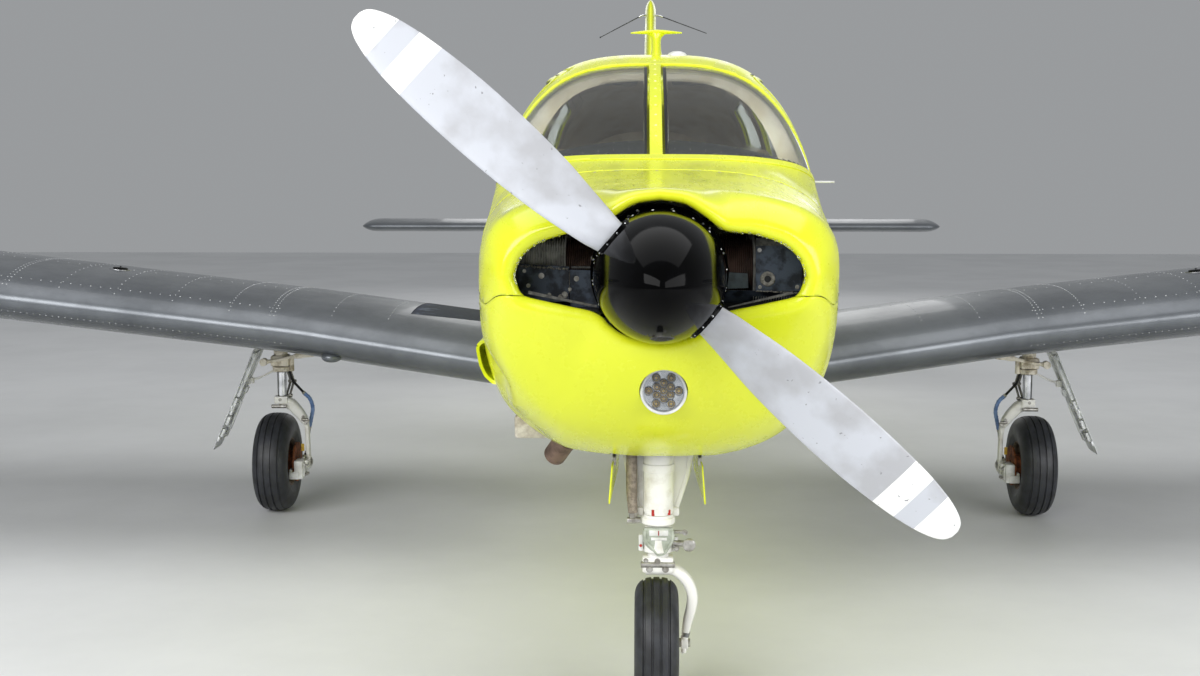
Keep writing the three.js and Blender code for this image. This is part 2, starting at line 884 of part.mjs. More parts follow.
// The wing's rings: each section is an aerofoil set at the incidence, its nose on the dihedral line
function wingRing({ x, leading, chord, thickness, drop }) {
  const nose = new THREE.Vector2(leading, noseHeight(x) + drop);
  const turn = THREE.MathUtils.degToRad(-wing.incidence);
  return aerofoil(thickness, wing.camber, 14).map(([a, h]) => {
    const p = new THREE.Vector2(a * chord, h * chord).rotateAround(new THREE.Vector2(), turn);
    return new THREE.Vector3(x, nose.x + p.x, nose.y + p.y);
  });
}

const wingColumns = ["x", "leading", "chord", "thickness", "drop"];
const trailing = wing.leadingEdge + wing.chord;
const wingTable = [
  [400, wing.rootLeadingEdge - 40, trailing - wing.rootLeadingEdge + 40, 0.128, 0],
  [wing.gloveEnd, wing.leadingEdge, wing.chord, wing.thickness, 0],
  [4700, wing.leadingEdge, wing.chord, wing.thickness, 0],
  [4800, wing.leadingEdge + 25, wing.chord - 45, 0.13, 5],
  [4868, wing.leadingEdge + 80, wing.chord - 140, 0.085, 14],
  [wing.tip, wing.leadingEdge + 170, wing.chord - 300, 0.03, 22],
];

// The hinge line of the aileron and the flap, half way through the wing's thickness
function hingePoint(x) {
  const back = hingeLine.station - wing.leadingEdge;
  const fraction = back / wing.chord;
  const rise = 4 * wing.camber * fraction * (1 - fraction) * wing.chord;
  const turn = THREE.MathUtils.degToRad(wing.incidence);
  return [x, hingeLine.station, noseHeight(x) + rise - back * Math.sin(turn)];
}

const bracket = { across: 0, pin: 6, arm: 11, nose: hingeLine.noseRadius, cove: hingeLine.coveRadius };
const flapBrackets = [800, 1660, 2520];
const aileronBrackets = [2860, 4440];

const wheelWell = { height: 150, wheelX: 1030, wheelRadius: 240, legHalfWidth: 60, outer: 1640 };

function wingPieces() {
  const rings = wingTable.map((row) =>
    wingRing(Object.fromEntries(wingColumns.map((name, i) => [name, row[i]]))),
  );
  const whole = cut(loft(rings), fuselageBody(1700, 4100, -seatGap));
  const band = (x0, x1) => block([x0, x1], [hingeLine.station, 5000], [0, 3000]);
  const slice = (x0, x1) => block([x0, x1], [0, 5000], [0, 3000]);
  const nose = (radius) => rod(hingePoint(300), hingePoint(wing.tip), radius, 16);
  const moving = ({ inner, outer }) =>
    mainBody(join(common(whole, band(inner, outer)), common(nose(hingeLine.noseRadius), slice(inner, outer))));
  const [inner, outer] = [flapSpan.inner - 300, aileronSpan.outer + runningGap];
  const cove = common(nose(hingeLine.coveRadius), slice(inner, outer));
  const wellTop = noseHeight(wheelWell.wheelX) - 145 + wheelWell.height;
  const well = join(
    rod(
      [wheelWell.wheelX, mainGear.axleStation, 400],
      [wheelWell.wheelX, mainGear.axleStation, wellTop],
      wheelWell.wheelRadius,
      32,
    ),
    block(
      [wheelWell.wheelX, wheelWell.outer],
      [mainGear.axleStation - wheelWell.legHalfWidth, mainGear.axleStation + wheelWell.legHalfWidth],
      [400, wellTop + 25],
    ),
  );
  const fixed = mainBody(cut(whole, band(inner, outer), cove, well));
  const line = [Math.cos(Math.atan(slope)), 0, Math.sin(Math.atan(slope))];
  const withFlap = bracketed(
    { fixed, moving: moving(flapSpan) },
    flapBrackets.map(hingePoint),
    line,
    bracket,
  );
  const withAileron = bracketed(
    { fixed: withFlap.fixed, moving: moving(aileronSpan) },
    aileronBrackets.map(hingePoint),
    line,
    bracket,
  );
  return {
    wing: withAileron.fixed,
    flap: withFlap.moving,
    aileron: withAileron.moving,
    wellTop,
  };
}

// Fin, rudder, stabilator and tab

const tubeRadius = 26;
const finRings = [
  // height, leading edge, trailing edge, thickness
  [1150, 5560, 7085, 74],
  [1300, 5800, 7098, 92],
  [1480, 5960, 7115, 98],
  [2380, 6455, 7218, 66],
  [2440, 6510, tailEnd, 50],
  [tail.finTip, 6600, tailEnd - 60, 16],
];
const rudderLine = { foot: [0, 6735, 1150], head: [0, 6902, 2500], noseRadius: 22, coveRadius: 33 };
const rudderFoot = [
  [6600, 1206],
  [tailEnd + 100, 1300],
];

function finRing([z, leading, rear, thickness], inset) {
  const front = leading + inset * 4;
  return aerofoil(1, 0, 10).map(
    ([a, h]) => new THREE.Vector3(h * (thickness - 2 * inset), front + a * (rear - front), z),
  );
}

function finPieces() {
  const solid = loft(finRings.map((row) => finRing(row, 0)));
  const whole = cut(solid, fuselageBody(5000, fuselage.tailConeEnd, -seatGap));
  const { foot, head, noseRadius, coveRadius } = rudderLine;
  const aft = (x0) =>
    prism(
      "side",
      [
        [foot[1], foot[2] - 200],
        [8000, foot[2] - 200],
        [8000, head[2]],
        [head[1], head[2]],
      ],
      -x0,
      x0,
    );
  const clearOfFoot = prism(
    "side",
    [rudderFoot[0], rudderFoot[1], [tailEnd + 100, 3000], [6600, 3000]],
    -reach,
    reach,
  );
  const top = below(tail.finTip - 22);
  const rudder = join(common(whole, aft(300)), common(rod(foot, head, noseRadius, 14), top));
  const cove = rod([0, foot[1] - 25, foot[2] - 200], head, coveRadius, 14);
  const lean = (head[1] - foot[1]) / (head[2] - foot[2]);
  const webAt = (z) => [foot[1] + (z - foot[2]) * lean - coveRadius - 25, z];
  const hollow = common(
    loft(finRings.slice(0, -2).map((row) => finRing(row, tail.skin))),
    prism("side", [[5000, 900], webAt(900), webAt(2300), [5000, 2300]], -100, 100),
  );
  const fixed = mainBody(cut(whole, join(aft(300), cove), hollow));
  const moving = mainBody(common(rudder, clearOfFoot, above(1160)));
  const along = new THREE.Vector3(...head).sub(new THREE.Vector3(...foot)).normalize();
  const centres = [1330, 2230].map((z) => {
    const t = (z - foot[2]) / (head[2] - foot[2]);
    return foot.map((v, axis) => v + t * (head[axis] - v));
  });
  const sizes = { across: 2, pin: 5, arm: 8, nose: noseRadius + 10, cove: coveRadius };
  const hinged = bracketed({ fixed, moving }, centres, along.toArray(), sizes);
  return { fin: hinged.fixed, rudder: hinged.moving };
}

const tab = { halfSpan: 860, chord: 120, noseRadius: 9, coveRadius: 16 };

function stabilatorPieces() {
  const { stabilatorSpan, stabilatorHeight, stabilatorLeadingEdge, stabilatorChord } = tail;
  const half = stabilatorSpan / 2;
  const ringAt = (x, chord, thickness) =>
    aerofoil(thickness, 0, 10).map(
      ([a, h]) =>
        new THREE.Vector3(
          x,
          stabilatorLeadingEdge + (stabilatorChord - chord) / 2 + a * chord,
          stabilatorHeight + h * chord,
        ),
    );
  const whole = loft(
    [
      [-half, 560, 0.03],
      [-half + 30, 700, 0.085],
      [-half + 90, stabilatorChord, 0.1],
      [half - 90, stabilatorChord, 0.1],
      [half - 30, 700, 0.085],
      [half, 560, 0.03],
    ].map((row) => ringAt(...row)),
  );
  const rear = stabilatorLeadingEdge + stabilatorChord;
  const tabLine = rear - tab.chord;
  const span = (gap) => [-tab.halfSpan - gap, tab.halfSpan + gap];
  const tabZone = (gap) => block(span(gap), [tabLine, rear + 100], [0, 2000]);
  const tabRod = (radius, gap) =>
    rod(
      [-tab.halfSpan - gap, tabLine, stabilatorHeight],
      [tab.halfSpan + gap, tabLine, stabilatorHeight],
      radius,
      10,
    );
  const notch = prism(
    "plan",
    [
      [-152, 6250],
      [152, 6250],
      [152, 6500],
      [110, tabLine + 30],
      [-110, tabLine + 30],
      [-152, 6500],
    ],
    0,
    2000,
  );
  const tube = rod(
    [-300, tail.pivotStation, stabilatorHeight],
    [300, tail.pivotStation, stabilatorHeight],
    tubeRadius,
    20,
  );
  const bay = (way) => {
    const hollow = loft(
      [168, half - 120].map((x) =>
        aerofoil(0.1 - (2 * tail.skin) / stabilatorChord, 0, 8).map(
          ([a, h]) =>
            new THREE.Vector3(way * x, stabilatorLeadingEdge + 16 + a * 700, stabilatorHeight + h * 740),
        ),
      ),
    );
    const ribHole = rod(
      [way * 140, tail.pivotStation + 110, stabilatorHeight],
      [way * 180, tail.pivotStation + 110, stabilatorHeight],
      20,
      12,
    );
    return join(common(hollow, between(tail.pivotStation + 40, tabLine - 40)), ribHole);
  };
  const fixed = join(
    cut(whole, notch, tabZone(runningGap), tabRod(tab.coveRadius, runningGap), bay(1), bay(-1)),
    tube,
  );
  const moving = join(common(whole, tabZone(0)), tabRod(tab.noseRadius, 0));
  const centres = [-720, -260, 260, 720].map((x) => [x, tabLine, stabilatorHeight]);
  const sizes = { across: 0, pin: 3, arm: 5, nose: tab.noseRadius + 4, cove: tab.coveRadius };
  const hinged = bracketed({ fixed, moving }, centres, [1, 0, 0], sizes);
  return { stabilator: hinged.fixed, tab: hinged.moving };
}

// Wheels, each about its own axle

const wheelSides = 28;

function tyre(radius, width, rimRadius) {
  const half = width / 2;
  const side = [
    [rimRadius + seatGap, half * 0.74],
    [rimRadius + 10, half * 0.82],
    [rimRadius + (radius - rimRadius) * 0.5, half],
    [radius - (radius - rimRadius) * 0.2, half * 0.93],
    [radius - 9, half * 0.7],
    [radius, half * 0.36],
  ];
  const profile = [...side, ...side.map(([r, x]) => [r, -x]).reverse(), side[0]];
  return turnedOnAxle(profile, wheelSides);
}

function rim(rimRadius, width, bore, discRadius, inboard) {
  const half = width * 0.36;
  const disc = inboard * (width * 0.5 + 14);
  const body = turnedOnAxle(
    [
      [bore, -half],
      [rimRadius - 8, -half],
      [rimRadius, -half + 8],
      [rimRadius, half - 8],
      [rimRadius - 8, half],
      [bore, half],
      [bore, -half],
    ],
    wheelSides,
  );
  if (!discRadius) return body;
  const flange = turnedOnAxle(
    [
      [bore, 0],
      [48, 0],
      [48, disc - 8 * inboard],
      [discRadius, disc - 8 * inboard],
      [discRadius, disc],
      [bore, disc],
      [bore, 0],
    ],
    wheelSides,
  );
  return join(body, flange);
}

// Main undercarriage of the left side: the right one is its mirror image

function mainLeg(wellTop) {
  const { legX, axleStation } = mainGear;
  return join(
    rod([legX, axleStation, 500], [legX, axleStation, wellTop - 10], 27, 20),
    rod([legX, axleStation, 500], [legX, axleStation, 540], 33, 20),
    rod([legX, axleStation - 56, wellTop - 5], [legX, axleStation + 56, wellTop - 5], 24, 16),
    block([legX - 22, legX + 22], [axleStation - 22, axleStation + 22], [wellTop - 10, wellTop + 24.7]),
    rod([legX - 10, axleStation, 690], [legX - 190, axleStation, wellTop - 10], 14, 12),
    block(
      [legX - 212, legX - 168],
      [axleStation - 20, axleStation + 20],
      [wellTop - 26, wellTop + 24.7],
    ),
  );
}

function mainFork() {
  const { legX, forkX, axleStation, tyreRadius } = mainGear;
  const arm = prism(
    "front",
    [
      [forkX - 20, 160],
      [forkX + 12, 160],
      [forkX + 14, 380],
      [forkX + 38, 433],
      [legX + 24, 464],
      [legX + 24, 492],
      [legX - 30, 492],
      [forkX + 6, 462],
      [forkX - 18, 400],
    ],
    axleStation - 26,
    axleStation + 26,
  );
  return join(
    arm,
    rod([legX, axleStation, 480], [legX, axleStation, 500 - seatGap], 21, 20),
    rod([forkX, axleStation, tyreRadius], [mainGear.track / 2 + 62, axleStation, tyreRadius], 15, 16),
    block([forkX - 6, forkX + 26], [axleStation + 40, axleStation + 92], [tyreRadius - 40, tyreRadius + 40]),
    block([forkX - 14, forkX + 6], [axleStation, axleStation + 92], [tyreRadius - 24, tyreRadius + 24]),
  );
}

function mainDoor() {
  const { axleStation } = mainGear;
  const outline = [
    [1664, 700],
    [1676, 704],
    [1866, 268],
    [1854, 262],
  ];
  const panel = prism("front", outline, axleStation - 95, axleStation + 115);
  const ribs = [0.1, 0.3, 0.5, 0.7, 0.9].map((t) => {
    const [x, z] = [1664 + t * 190, 700 - t * 436];
    return block([x - 14, x + 6], [axleStation - 85, axleStation + 105], [z - 9, z + 9]);
  });
  const { legX } = mainGear;
  const link = rod([legX + 27 + seatGap, axleStation, 640], [1700, axleStation, 640], 8, 10);
  return join(panel, link, ...ribs);
}

function brakeHose() {
  const { legX, forkX, axleStation } = mainGear;
  return sweep(
    [
      [legX - 33.3, axleStation, 660],
      [legX - 46, axleStation + 14, 600],
      [legX - 60, axleStation + 44, 520],
      [forkX - 20, axleStation + 62, 400],
      [forkX - 2, axleStation + 66, 320],
      [forkX + 6, axleStation + 66, mainGear.tyreRadius + 42],
    ],
    6,
    6,
    12,
  );
}

// Nose undercarriage: a leg with its braces, and the steered fork

function noseLeg() {
  const { axleStation, collarHeight } = noseGear;
  const braces = [-1, 1].flatMap((way) => [
    rod([way * 30, axleStation, 545], [way * 88, axleStation + 70, 745], 13, 8),
    rod([way * 88, axleStation + 68, 740], [way * 100, fuselage.firewall - 6, 800], 15, 8),
    block(
      [way * 100 - 24, way * 100 + 24],
      [fuselage.firewall - 14, fuselage.firewall - seatGap],
      [772, 828],
    ),
  ]);
  return join(
    rod([0, axleStation, collarHeight + seatGap], [0, axleStation, 800], 44, 16),
    rod([0, axleStation, collarHeight + seatGap], [0, axleStation, collarHeight + 26], 52, 16),
    rod([-95, axleStation + 70, 745], [95, axleStation + 70, 745], 14, 8),
    block([-30, 30], [axleStation, axleStation + 72], [730, 765]),
    ...braces,
  );
}

function noseFork() {
  const { axleStation, collarHeight, tyreRadius } = noseGear;
  const arm = prism(
    "front",
    [
      [-34, 372],
      [60, 372],
      [84, 350],
      [92, 300],
      [90, 240],
      [80, 160],
      [100, 148],
      [112, 160],
      [122, 240],
      [126, 300],
      [112, 366],
      [70, 400],
      [-34, 404],
    ],
    axleStation - 22,
    axleStation + 22,
  );
  return join(
    arm,
    rod([0, axleStation, 390], [0, axleStation, collarHeight], 30, 16),
    rod([0, axleStation, 440], [0, axleStation, 486], 44, 16),
    rod([96, axleStation, tyreRadius], [-58, axleStation, tyreRadius], 12, 16),
  );
}

function noseDoor(way) {
  const x = way * 120;
  return block([x - 7, x + 7], [500, 930], [580, 686]);
}

// Roof antenna: a short post that carries a cross bar
function roofAntenna() {
  const post = prism("side", [[2560, 1870], [2640, 1870], [2625, 1990], [2585, 1990]], -7, 7);
  const bar = rod([-92, 2605, 1992], [108, 2605, 1992], 9, 12);
  return join(cut(post, fuselageBody(2400, 2800, -seatGap)), bar);
}

// Assembly

const aircraft = new THREE.Group();

function add(name, solid, material, parent = aircraft) {
  const mesh = new THREE.Mesh(geometryOf(solid), material);
  mesh.name = name;
  parent.add(mesh);
  return mesh;
}

function groupAt(x, y, z, parent = aircraft) {
  const group = new THREE.Group();
  group.position.set(x, y, z);
  parent.add(group);
  return group;
}

const { yellowPaint, silverPaint, bladePaint, blackPaint, gearPaint, bareMetal } = materials;

const { upper: upperCowl, lower: lowerCowl } = cowlShells();
add("upper_cowl", upperCowl, yellowPaint);
add("lower_cowl", lowerCowl, yellowPaint);
add("landing_light", landingLight(), materials.lampGlass);
add("engine", engineBlock(), materials.castIron);
add("left_baffle", baffle("left"), materials.darkPlastic);
add("right_baffle", baffle("right"), materials.darkPlastic);
add("exhaust_pipe", exhaustPipe(), materials.rustySteel);

const propellerGroup = groupAt(0, 0, propeller.height);
propellerGroup.rotation.y = THREE.MathUtils.degToRad(-propeller.bladeAngle);
add("propeller", bladesAndHub(), bladePaint, propellerGroup);
add("spinner", spinnerShell(), blackPaint, propellerGroup);
add("spinner_plate", spinnerPlate(), blackPaint, propellerGroup);

add("firewall", firewallPlate(), bareMetal);
const cabin = cabinPieces();
add("cabin_shell", cabin.shell, yellowPaint);
add("windscreen_post", windscreenPost(), yellowPaint);
add("left_windscreen", windscreenPane("left"), materials.glass);
add("right_windscreen", windscreenPane("right"), materials.glass);
add("left_front_window", pane(windowOutlines.front, "left"), materials.glass);
for (const side of ["left", "right"]) {
  for (const place of ["middle", "rear"]) {
    add(`${side}_${place}_window`, pane(windowOutlines[place], side), materials.glass);
  }
}
add("cabin_door", cabin.cabinDoor, yellowPaint);
add("door_window", pane(windowOutlines.front, "right"), materials.glass);
add("luggage_door", cabin.luggageDoor, yellowPaint);
add("instrument_panel", instrumentPanel(), materials.darkPlastic);
add("left_seat", seat(70, 490, frontSeat), materials.leather);
add("right_seat", seat(-490, -70, frontSeat), materials.leather);
add("rear_bench", seat(-440, 440, rearSeat), materials.leather);
add("roof_antenna", roofAntenna(), yellowPaint);

add("tail_cone", tailCone(), yellowPaint);
const { fin, rudder } = finPieces();
add("fin", fin, yellowPaint);
add("rudder", rudder, yellowPaint);
const { stabilator, tab: servoTab } = stabilatorPieces();
add("stabilator", stabilator, silverPaint);
add("stabilator_tab", servoTab, silverPaint);

const wingSet = wingPieces();
const leg = mainLeg(wingSet.wellTop);
for (const [side, placed] of [["left", (solid) => solid], ["right", mirrored]]) {
  add(`${side}_wing`, placed(wingSet.wing), silverPaint);
  add(`${side}_flap`, placed(wingSet.flap), silverPaint);
  add(`${side}_aileron`, placed(wingSet.aileron), silverPaint);
  add(`${side}_main_leg`, placed(leg), gearPaint);
  add(`${side}_main_fork`, placed(mainFork()), gearPaint);
  add(`${side}_main_door`, placed(mainDoor()), bareMetal);
  add(`${side}_brake_hose`, placed(brakeHose()), materials.darkPlastic);
  const way = side === "left" ? 1 : -1;
  const wheel = groupAt((way * mainGear.track) / 2, mainGear.axleStation, mainGear.tyreRadius);
  const { tyreRadius, tyreWidth, rimRadius } = mainGear;
  add(`${side}_main_rim`, rim(rimRadius, tyreWidth, 15.7, 84, -way), materials.rustySteel, wheel);
  add(`${side}_main_tyre`, tyre(tyreRadius, tyreWidth, rimRadius), materials.rubber, wheel);
  add(`${side}_nose_door`, noseDoor(way), yellowPaint);
}

add("nose_leg", noseLeg(), gearPaint);
add("nose_fork", noseFork(), gearPaint);
const noseWheel = groupAt(0, noseGear.axleStation, noseGear.tyreRadius);
add("nose_rim", rim(noseGear.rimRadius, noseGear.tyreWidth, 12.7), bareMetal, noseWheel);
add("nose_tyre", tyre(noseGear.tyreRadius, noseGear.tyreWidth, noseGear.rimRadius), materials.rubber, noseWheel);

aircraft.position.y = -middleStation;

export default aircraft;
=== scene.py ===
# Light aircraft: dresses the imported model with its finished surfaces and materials.
# Metres; the nose points to -Y, the left wing to +X and up is +Z.
import bpy
import bmesh
import json
import random
from math import atan2, cos, hypot, pi, radians, sin, tan
from mathutils import Matrix, Vector

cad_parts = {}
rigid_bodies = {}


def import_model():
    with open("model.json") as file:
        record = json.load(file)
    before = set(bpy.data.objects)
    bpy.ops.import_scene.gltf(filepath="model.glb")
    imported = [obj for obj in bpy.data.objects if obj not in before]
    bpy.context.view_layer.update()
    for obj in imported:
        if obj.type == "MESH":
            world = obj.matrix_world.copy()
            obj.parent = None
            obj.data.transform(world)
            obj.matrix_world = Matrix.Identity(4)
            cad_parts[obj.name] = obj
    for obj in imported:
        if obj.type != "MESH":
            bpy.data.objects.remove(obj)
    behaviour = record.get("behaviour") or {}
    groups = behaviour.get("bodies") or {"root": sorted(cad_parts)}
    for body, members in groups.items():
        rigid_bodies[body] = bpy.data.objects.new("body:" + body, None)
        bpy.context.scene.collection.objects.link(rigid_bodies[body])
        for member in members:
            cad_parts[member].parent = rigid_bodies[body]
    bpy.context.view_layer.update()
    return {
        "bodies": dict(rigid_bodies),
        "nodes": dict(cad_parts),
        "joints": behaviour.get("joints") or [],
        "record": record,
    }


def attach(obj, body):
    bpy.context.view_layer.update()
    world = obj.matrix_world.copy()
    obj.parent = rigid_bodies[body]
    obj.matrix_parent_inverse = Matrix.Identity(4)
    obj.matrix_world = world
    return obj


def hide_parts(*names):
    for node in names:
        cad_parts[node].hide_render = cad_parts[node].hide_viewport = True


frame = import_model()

scene = bpy.context.scene
middleStation = 3480  # a station is the distance in mm aft of the propeller's plane
seed = random.Random(7)

# The propeller and its spinner in mm, with the blades' angle in degrees, which their paint follows too
propeller = {"z": 1240, "angle": 139.2, "tip": -270, "rear": 58, "radius": 160, "screws": 20}


def at(x, station, z):
    return Vector((x, station - middleStation, z)) / 1000


def mixed(a, b, t):
    return a + (b - a) * t


def smooth(t):
    t = min(max(t, 0), 1)
    return t * t * (3 - 2 * t)


# Materials: each starts from its real finish, with pattern sizes in mm

def linearColour(code):
    parts = [int(code[i:i + 2], 16) / 255 for i in (1, 3, 5)]
    return [c / 12.92 if c <= 0.04045 else ((c + 0.055) / 1.055) ** 2.4 for c in parts] + [1]


def addNode(tree, kind, settings=None, links=None):
    node = tree.nodes.new(kind)
    for name, value in (settings or {}).items():
        if isinstance(name, int) or name in node.inputs:
            node.inputs[name].default_value = value
        elif name == "stops":
            ramp = node.color_ramp
            while len(ramp.elements) < len(value):
                ramp.elements.new(0.5)
            for element, (place, colour) in zip(ramp.elements, value):
                element.position = place
                element.color = linearColour(colour) if isinstance(colour, str) else [colour] * 3 + [1]
        else:
            setattr(node, name, value)
    for name, source in (links or {}).items():
        tree.links.new(source, node.inputs[name])
    return node


def startMaterial(name, settings):
    material = bpy.data.materials.new(name)
    material.use_nodes = True
    tree = material.node_tree
    shader = tree.nodes["Principled BSDF"]
    for key, value in settings.items():
        shader.inputs[key].default_value = linearColour(value) if isinstance(value, str) else value
    spot = addNode(tree, "ShaderNodeTexCoord").outputs["Object"]
    return material, tree, shader, spot


def noiseScale(mm):
    return 1000 / mm  # noise repeats about once in this many mm


# Two-pack polyurethane enamel, sprayed and wet: a deep gloss with a slight orange peel, and dull
# streaks where the water has run
yellowPaint = {"colour": "#eaf12a", "shade": "#e0ea1c", "peel": 9, "streak": 70}


def makeYellowPaint():
    s = yellowPaint
    material, tree, shader, spot = startMaterial("yellow_enamel", {
        "Base Color": s["colour"], "Roughness": 0.24, "IOR": 1.5, "Coat Weight": 0.35, "Coat Roughness": 0.12})
    drift = addNode(tree, "ShaderNodeTexNoise", {"Scale": noiseScale(420), "Detail": 3}, {"Vector": spot})
    tone = addNode(tree, "ShaderNodeValToRGB", {"stops": [(0.35, s["shade"]), (0.65, s["colour"])]},
                   {"Fac": drift.outputs["Fac"]})
    tree.links.new(tone.outputs["Color"], shader.inputs["Base Color"])
    longWays = addNode(tree, "ShaderNodeMapping", {"Scale": (1, 0.16, 1)}, {"Vector": spot})
    streaks = addNode(tree, "ShaderNodeTexNoise",
                      {"Scale": noiseScale(s["streak"]), "Detail": 6, "Roughness": 0.62},
                      {"Vector": longWays.outputs["Vector"]})
    dull = addNode(tree, "ShaderNodeMapRange", {"From Min": 0.38, "From Max": 0.66, "To Min": 0.16, "To Max": 0.4},
                   {"Value": streaks.outputs["Fac"]})
    tree.links.new(dull.outputs["Result"], shader.inputs["Roughness"])
    peel = addNode(tree, "ShaderNodeTexNoise", {"Scale": noiseScale(s["peel"]), "Detail": 2}, {"Vector": spot})
    waves = addNode(tree, "ShaderNodeBump", {"Strength": 0.25, "Distance": 0.0012},
                    {"Height": streaks.outputs["Fac"]})
    skin = addNode(tree, "ShaderNodeBump", {"Strength": 0.12, "Distance": 0.0003},
                   {"Height": peel.outputs["Fac"], "Normal": waves.outputs["Normal"]})
    tree.links.new(skin.outputs["Normal"], shader.inputs["Normal"])
    return material


# Aluminium-filled paint on riveted sheet: a soft metal sheen, greyer where dirt has settled
# The silver and its dirt grey are set darker than the paint's own colour: painted shade, standing for the dark
# surroundings that the wing mirrors
silverPaint = {"colour": "#73777c", "dirt": "#5f6368", "flake": 3, "grime": 340}


def makeSilverPaint():
    s = silverPaint
    material, tree, shader, spot = startMaterial("silver_wing_paint", {
        "Base Color": s["colour"], "Metallic": 0.7, "Roughness": 0.36, "Coat Weight": 0.3, "Coat Roughness": 0.08})
    grime = addNode(tree, "ShaderNodeTexNoise", {"Scale": noiseScale(s["grime"]), "Detail": 7, "Roughness": 0.65},
                    {"Vector": spot})
    tone = addNode(tree, "ShaderNodeValToRGB", {"stops": [(0.36, s["dirt"]), (0.6, s["colour"])]},
                   {"Fac": grime.outputs["Fac"]})
    tree.links.new(tone.outputs["Color"], shader.inputs["Base Color"])
    rough = addNode(tree, "ShaderNodeMapRange",
                    {"From Min": 0.35, "From Max": 0.65, "To Min": 0.42, "To Max": 0.32},
                    {"Value": grime.outputs["Fac"]})
    tree.links.new(rough.outputs["Result"], shader.inputs["Roughness"])
    flake = addNode(tree, "ShaderNodeTexNoise", {"Scale": noiseScale(s["flake"]), "Detail": 1}, {"Vector": spot})
    bump = addNode(tree, "ShaderNodeBump", {"Strength": 0.1, "Distance": 0.0002}, {"Height": flake.outputs["Fac"]})
    tree.links.new(bump.outputs["Normal"], shader.inputs["Normal"])
    return material


# Grey epoxy on forged alloy blades, with painted tip bands and small stone marks scattered over them
bladePaint = {"colour": "#c9ccd3", "worn": "#b3b4b8", "chip": "#8f9094", "band": "#f4f4f2", "speckle": 14,
              "patch": 150, "bands": [(0.0, 0), (0.735, 1), (0.797, 0), (0.853, 1)]}


def makeBladePaint():
    s = bladePaint
    material, tree, shader, spot = startMaterial("blade_epoxy", {"Roughness": 0.42, "Metallic": 0.05})
    patch = addNode(tree, "ShaderNodeTexNoise", {"Scale": noiseScale(s["patch"]), "Detail": 5}, {"Vector": spot})
    tone = addNode(tree, "ShaderNodeValToRGB", {"stops": [(0.38, s["worn"]), (0.56, s["colour"])]},
                   {"Fac": patch.outputs["Fac"]})
    # the distance out along the blades, from the hub
    lean = radians(propeller["angle"])
    hub = (0, 0, propeller["z"] / 1000)
    outward = addNode(tree, "ShaderNodeVectorMath", {"operation": "SUBTRACT", 1: hub}, {0: spot})
    along = addNode(tree, "ShaderNodeVectorMath", {"operation": "DOT_PRODUCT", 1: (cos(lean), 0, sin(lean))},
                    {0: outward.outputs["Vector"]})
    far = addNode(tree, "ShaderNodeMath", {"operation": "ABSOLUTE"}, {0: along.outputs["Value"]})
    bands = addNode(tree, "ShaderNodeValToRGB", {"stops": s["bands"]}, {"Fac": far.outputs["Value"]})
    bands.color_ramp.interpolation = "CONSTANT"
    paint = addNode(tree, "ShaderNodeMix", {"data_type": "RGBA", 7: linearColour(s["band"])},
                    {0: bands.outputs["Color"], 6: tone.outputs["Color"]})
    speckle = addNode(tree, "ShaderNodeTexNoise",
                      {"Scale": noiseScale(s["speckle"]), "Detail": 4}, {"Vector": spot})
    chips = addNode(tree, "ShaderNodeMath", {"operation": "GREATER_THAN", 1: 0.71}, {0: speckle.outputs["Fac"]})
    final = addNode(tree, "ShaderNodeMix", {"data_type": "RGBA", 7: linearColour(s["chip"])},
                    {0: chips.outputs["Value"], 6: paint.outputs[2]})
    tree.links.new(final.outputs[2], shader.inputs["Base Color"])
    bump = addNode(tree, "ShaderNodeBump", {"Strength": 0.15, "Distance": 0.0004}, {"Height": patch.outputs["Fac"]})
    tree.links.new(bump.outputs["Normal"], shader.inputs["Normal"])
    return material


# A finish with one colour that drifts to a second in patches, and a fine bump
def makePatchy(name, colour, second, patch, grain, roughness, spread=(0.4, 0.6), bump=0.2, **more):
    material, tree, shader, spot = startMaterial(name, {"Base Color": colour, "Roughness": roughness, **more})
    wide = addNode(tree, "ShaderNodeTexNoise", {"Scale": noiseScale(patch), "Detail": 6, "Roughness": 0.6},
                   {"Vector": spot})
    tone = addNode(tree, "ShaderNodeValToRGB", {"stops": [(spread[0], second), (spread[1], colour)]},
                   {"Fac": wide.outputs["Fac"]})
    tree.links.new(tone.outputs["Color"], shader.inputs["Base Color"])
    uneven = addNode(tree, "ShaderNodeMapRange",
                     {"To Min": min(roughness + 0.14, 1), "To Max": max(roughness - 0.1, 0.02)},
                     {"Value": wide.outputs["Fac"]})
    tree.links.new(uneven.outputs["Result"], shader.inputs["Roughness"])
    fine = addNode(tree, "ShaderNodeTexNoise", {"Scale": noiseScale(grain), "Detail": 3}, {"Vector": spot})
    relief = addNode(tree, "ShaderNodeBump", {"Strength": bump, "Distance": grain / 8000},
                     {"Height": fine.outputs["Fac"]})
    tree.links.new(relief.outputs["Normal"], shader.inputs["Normal"])
    return material


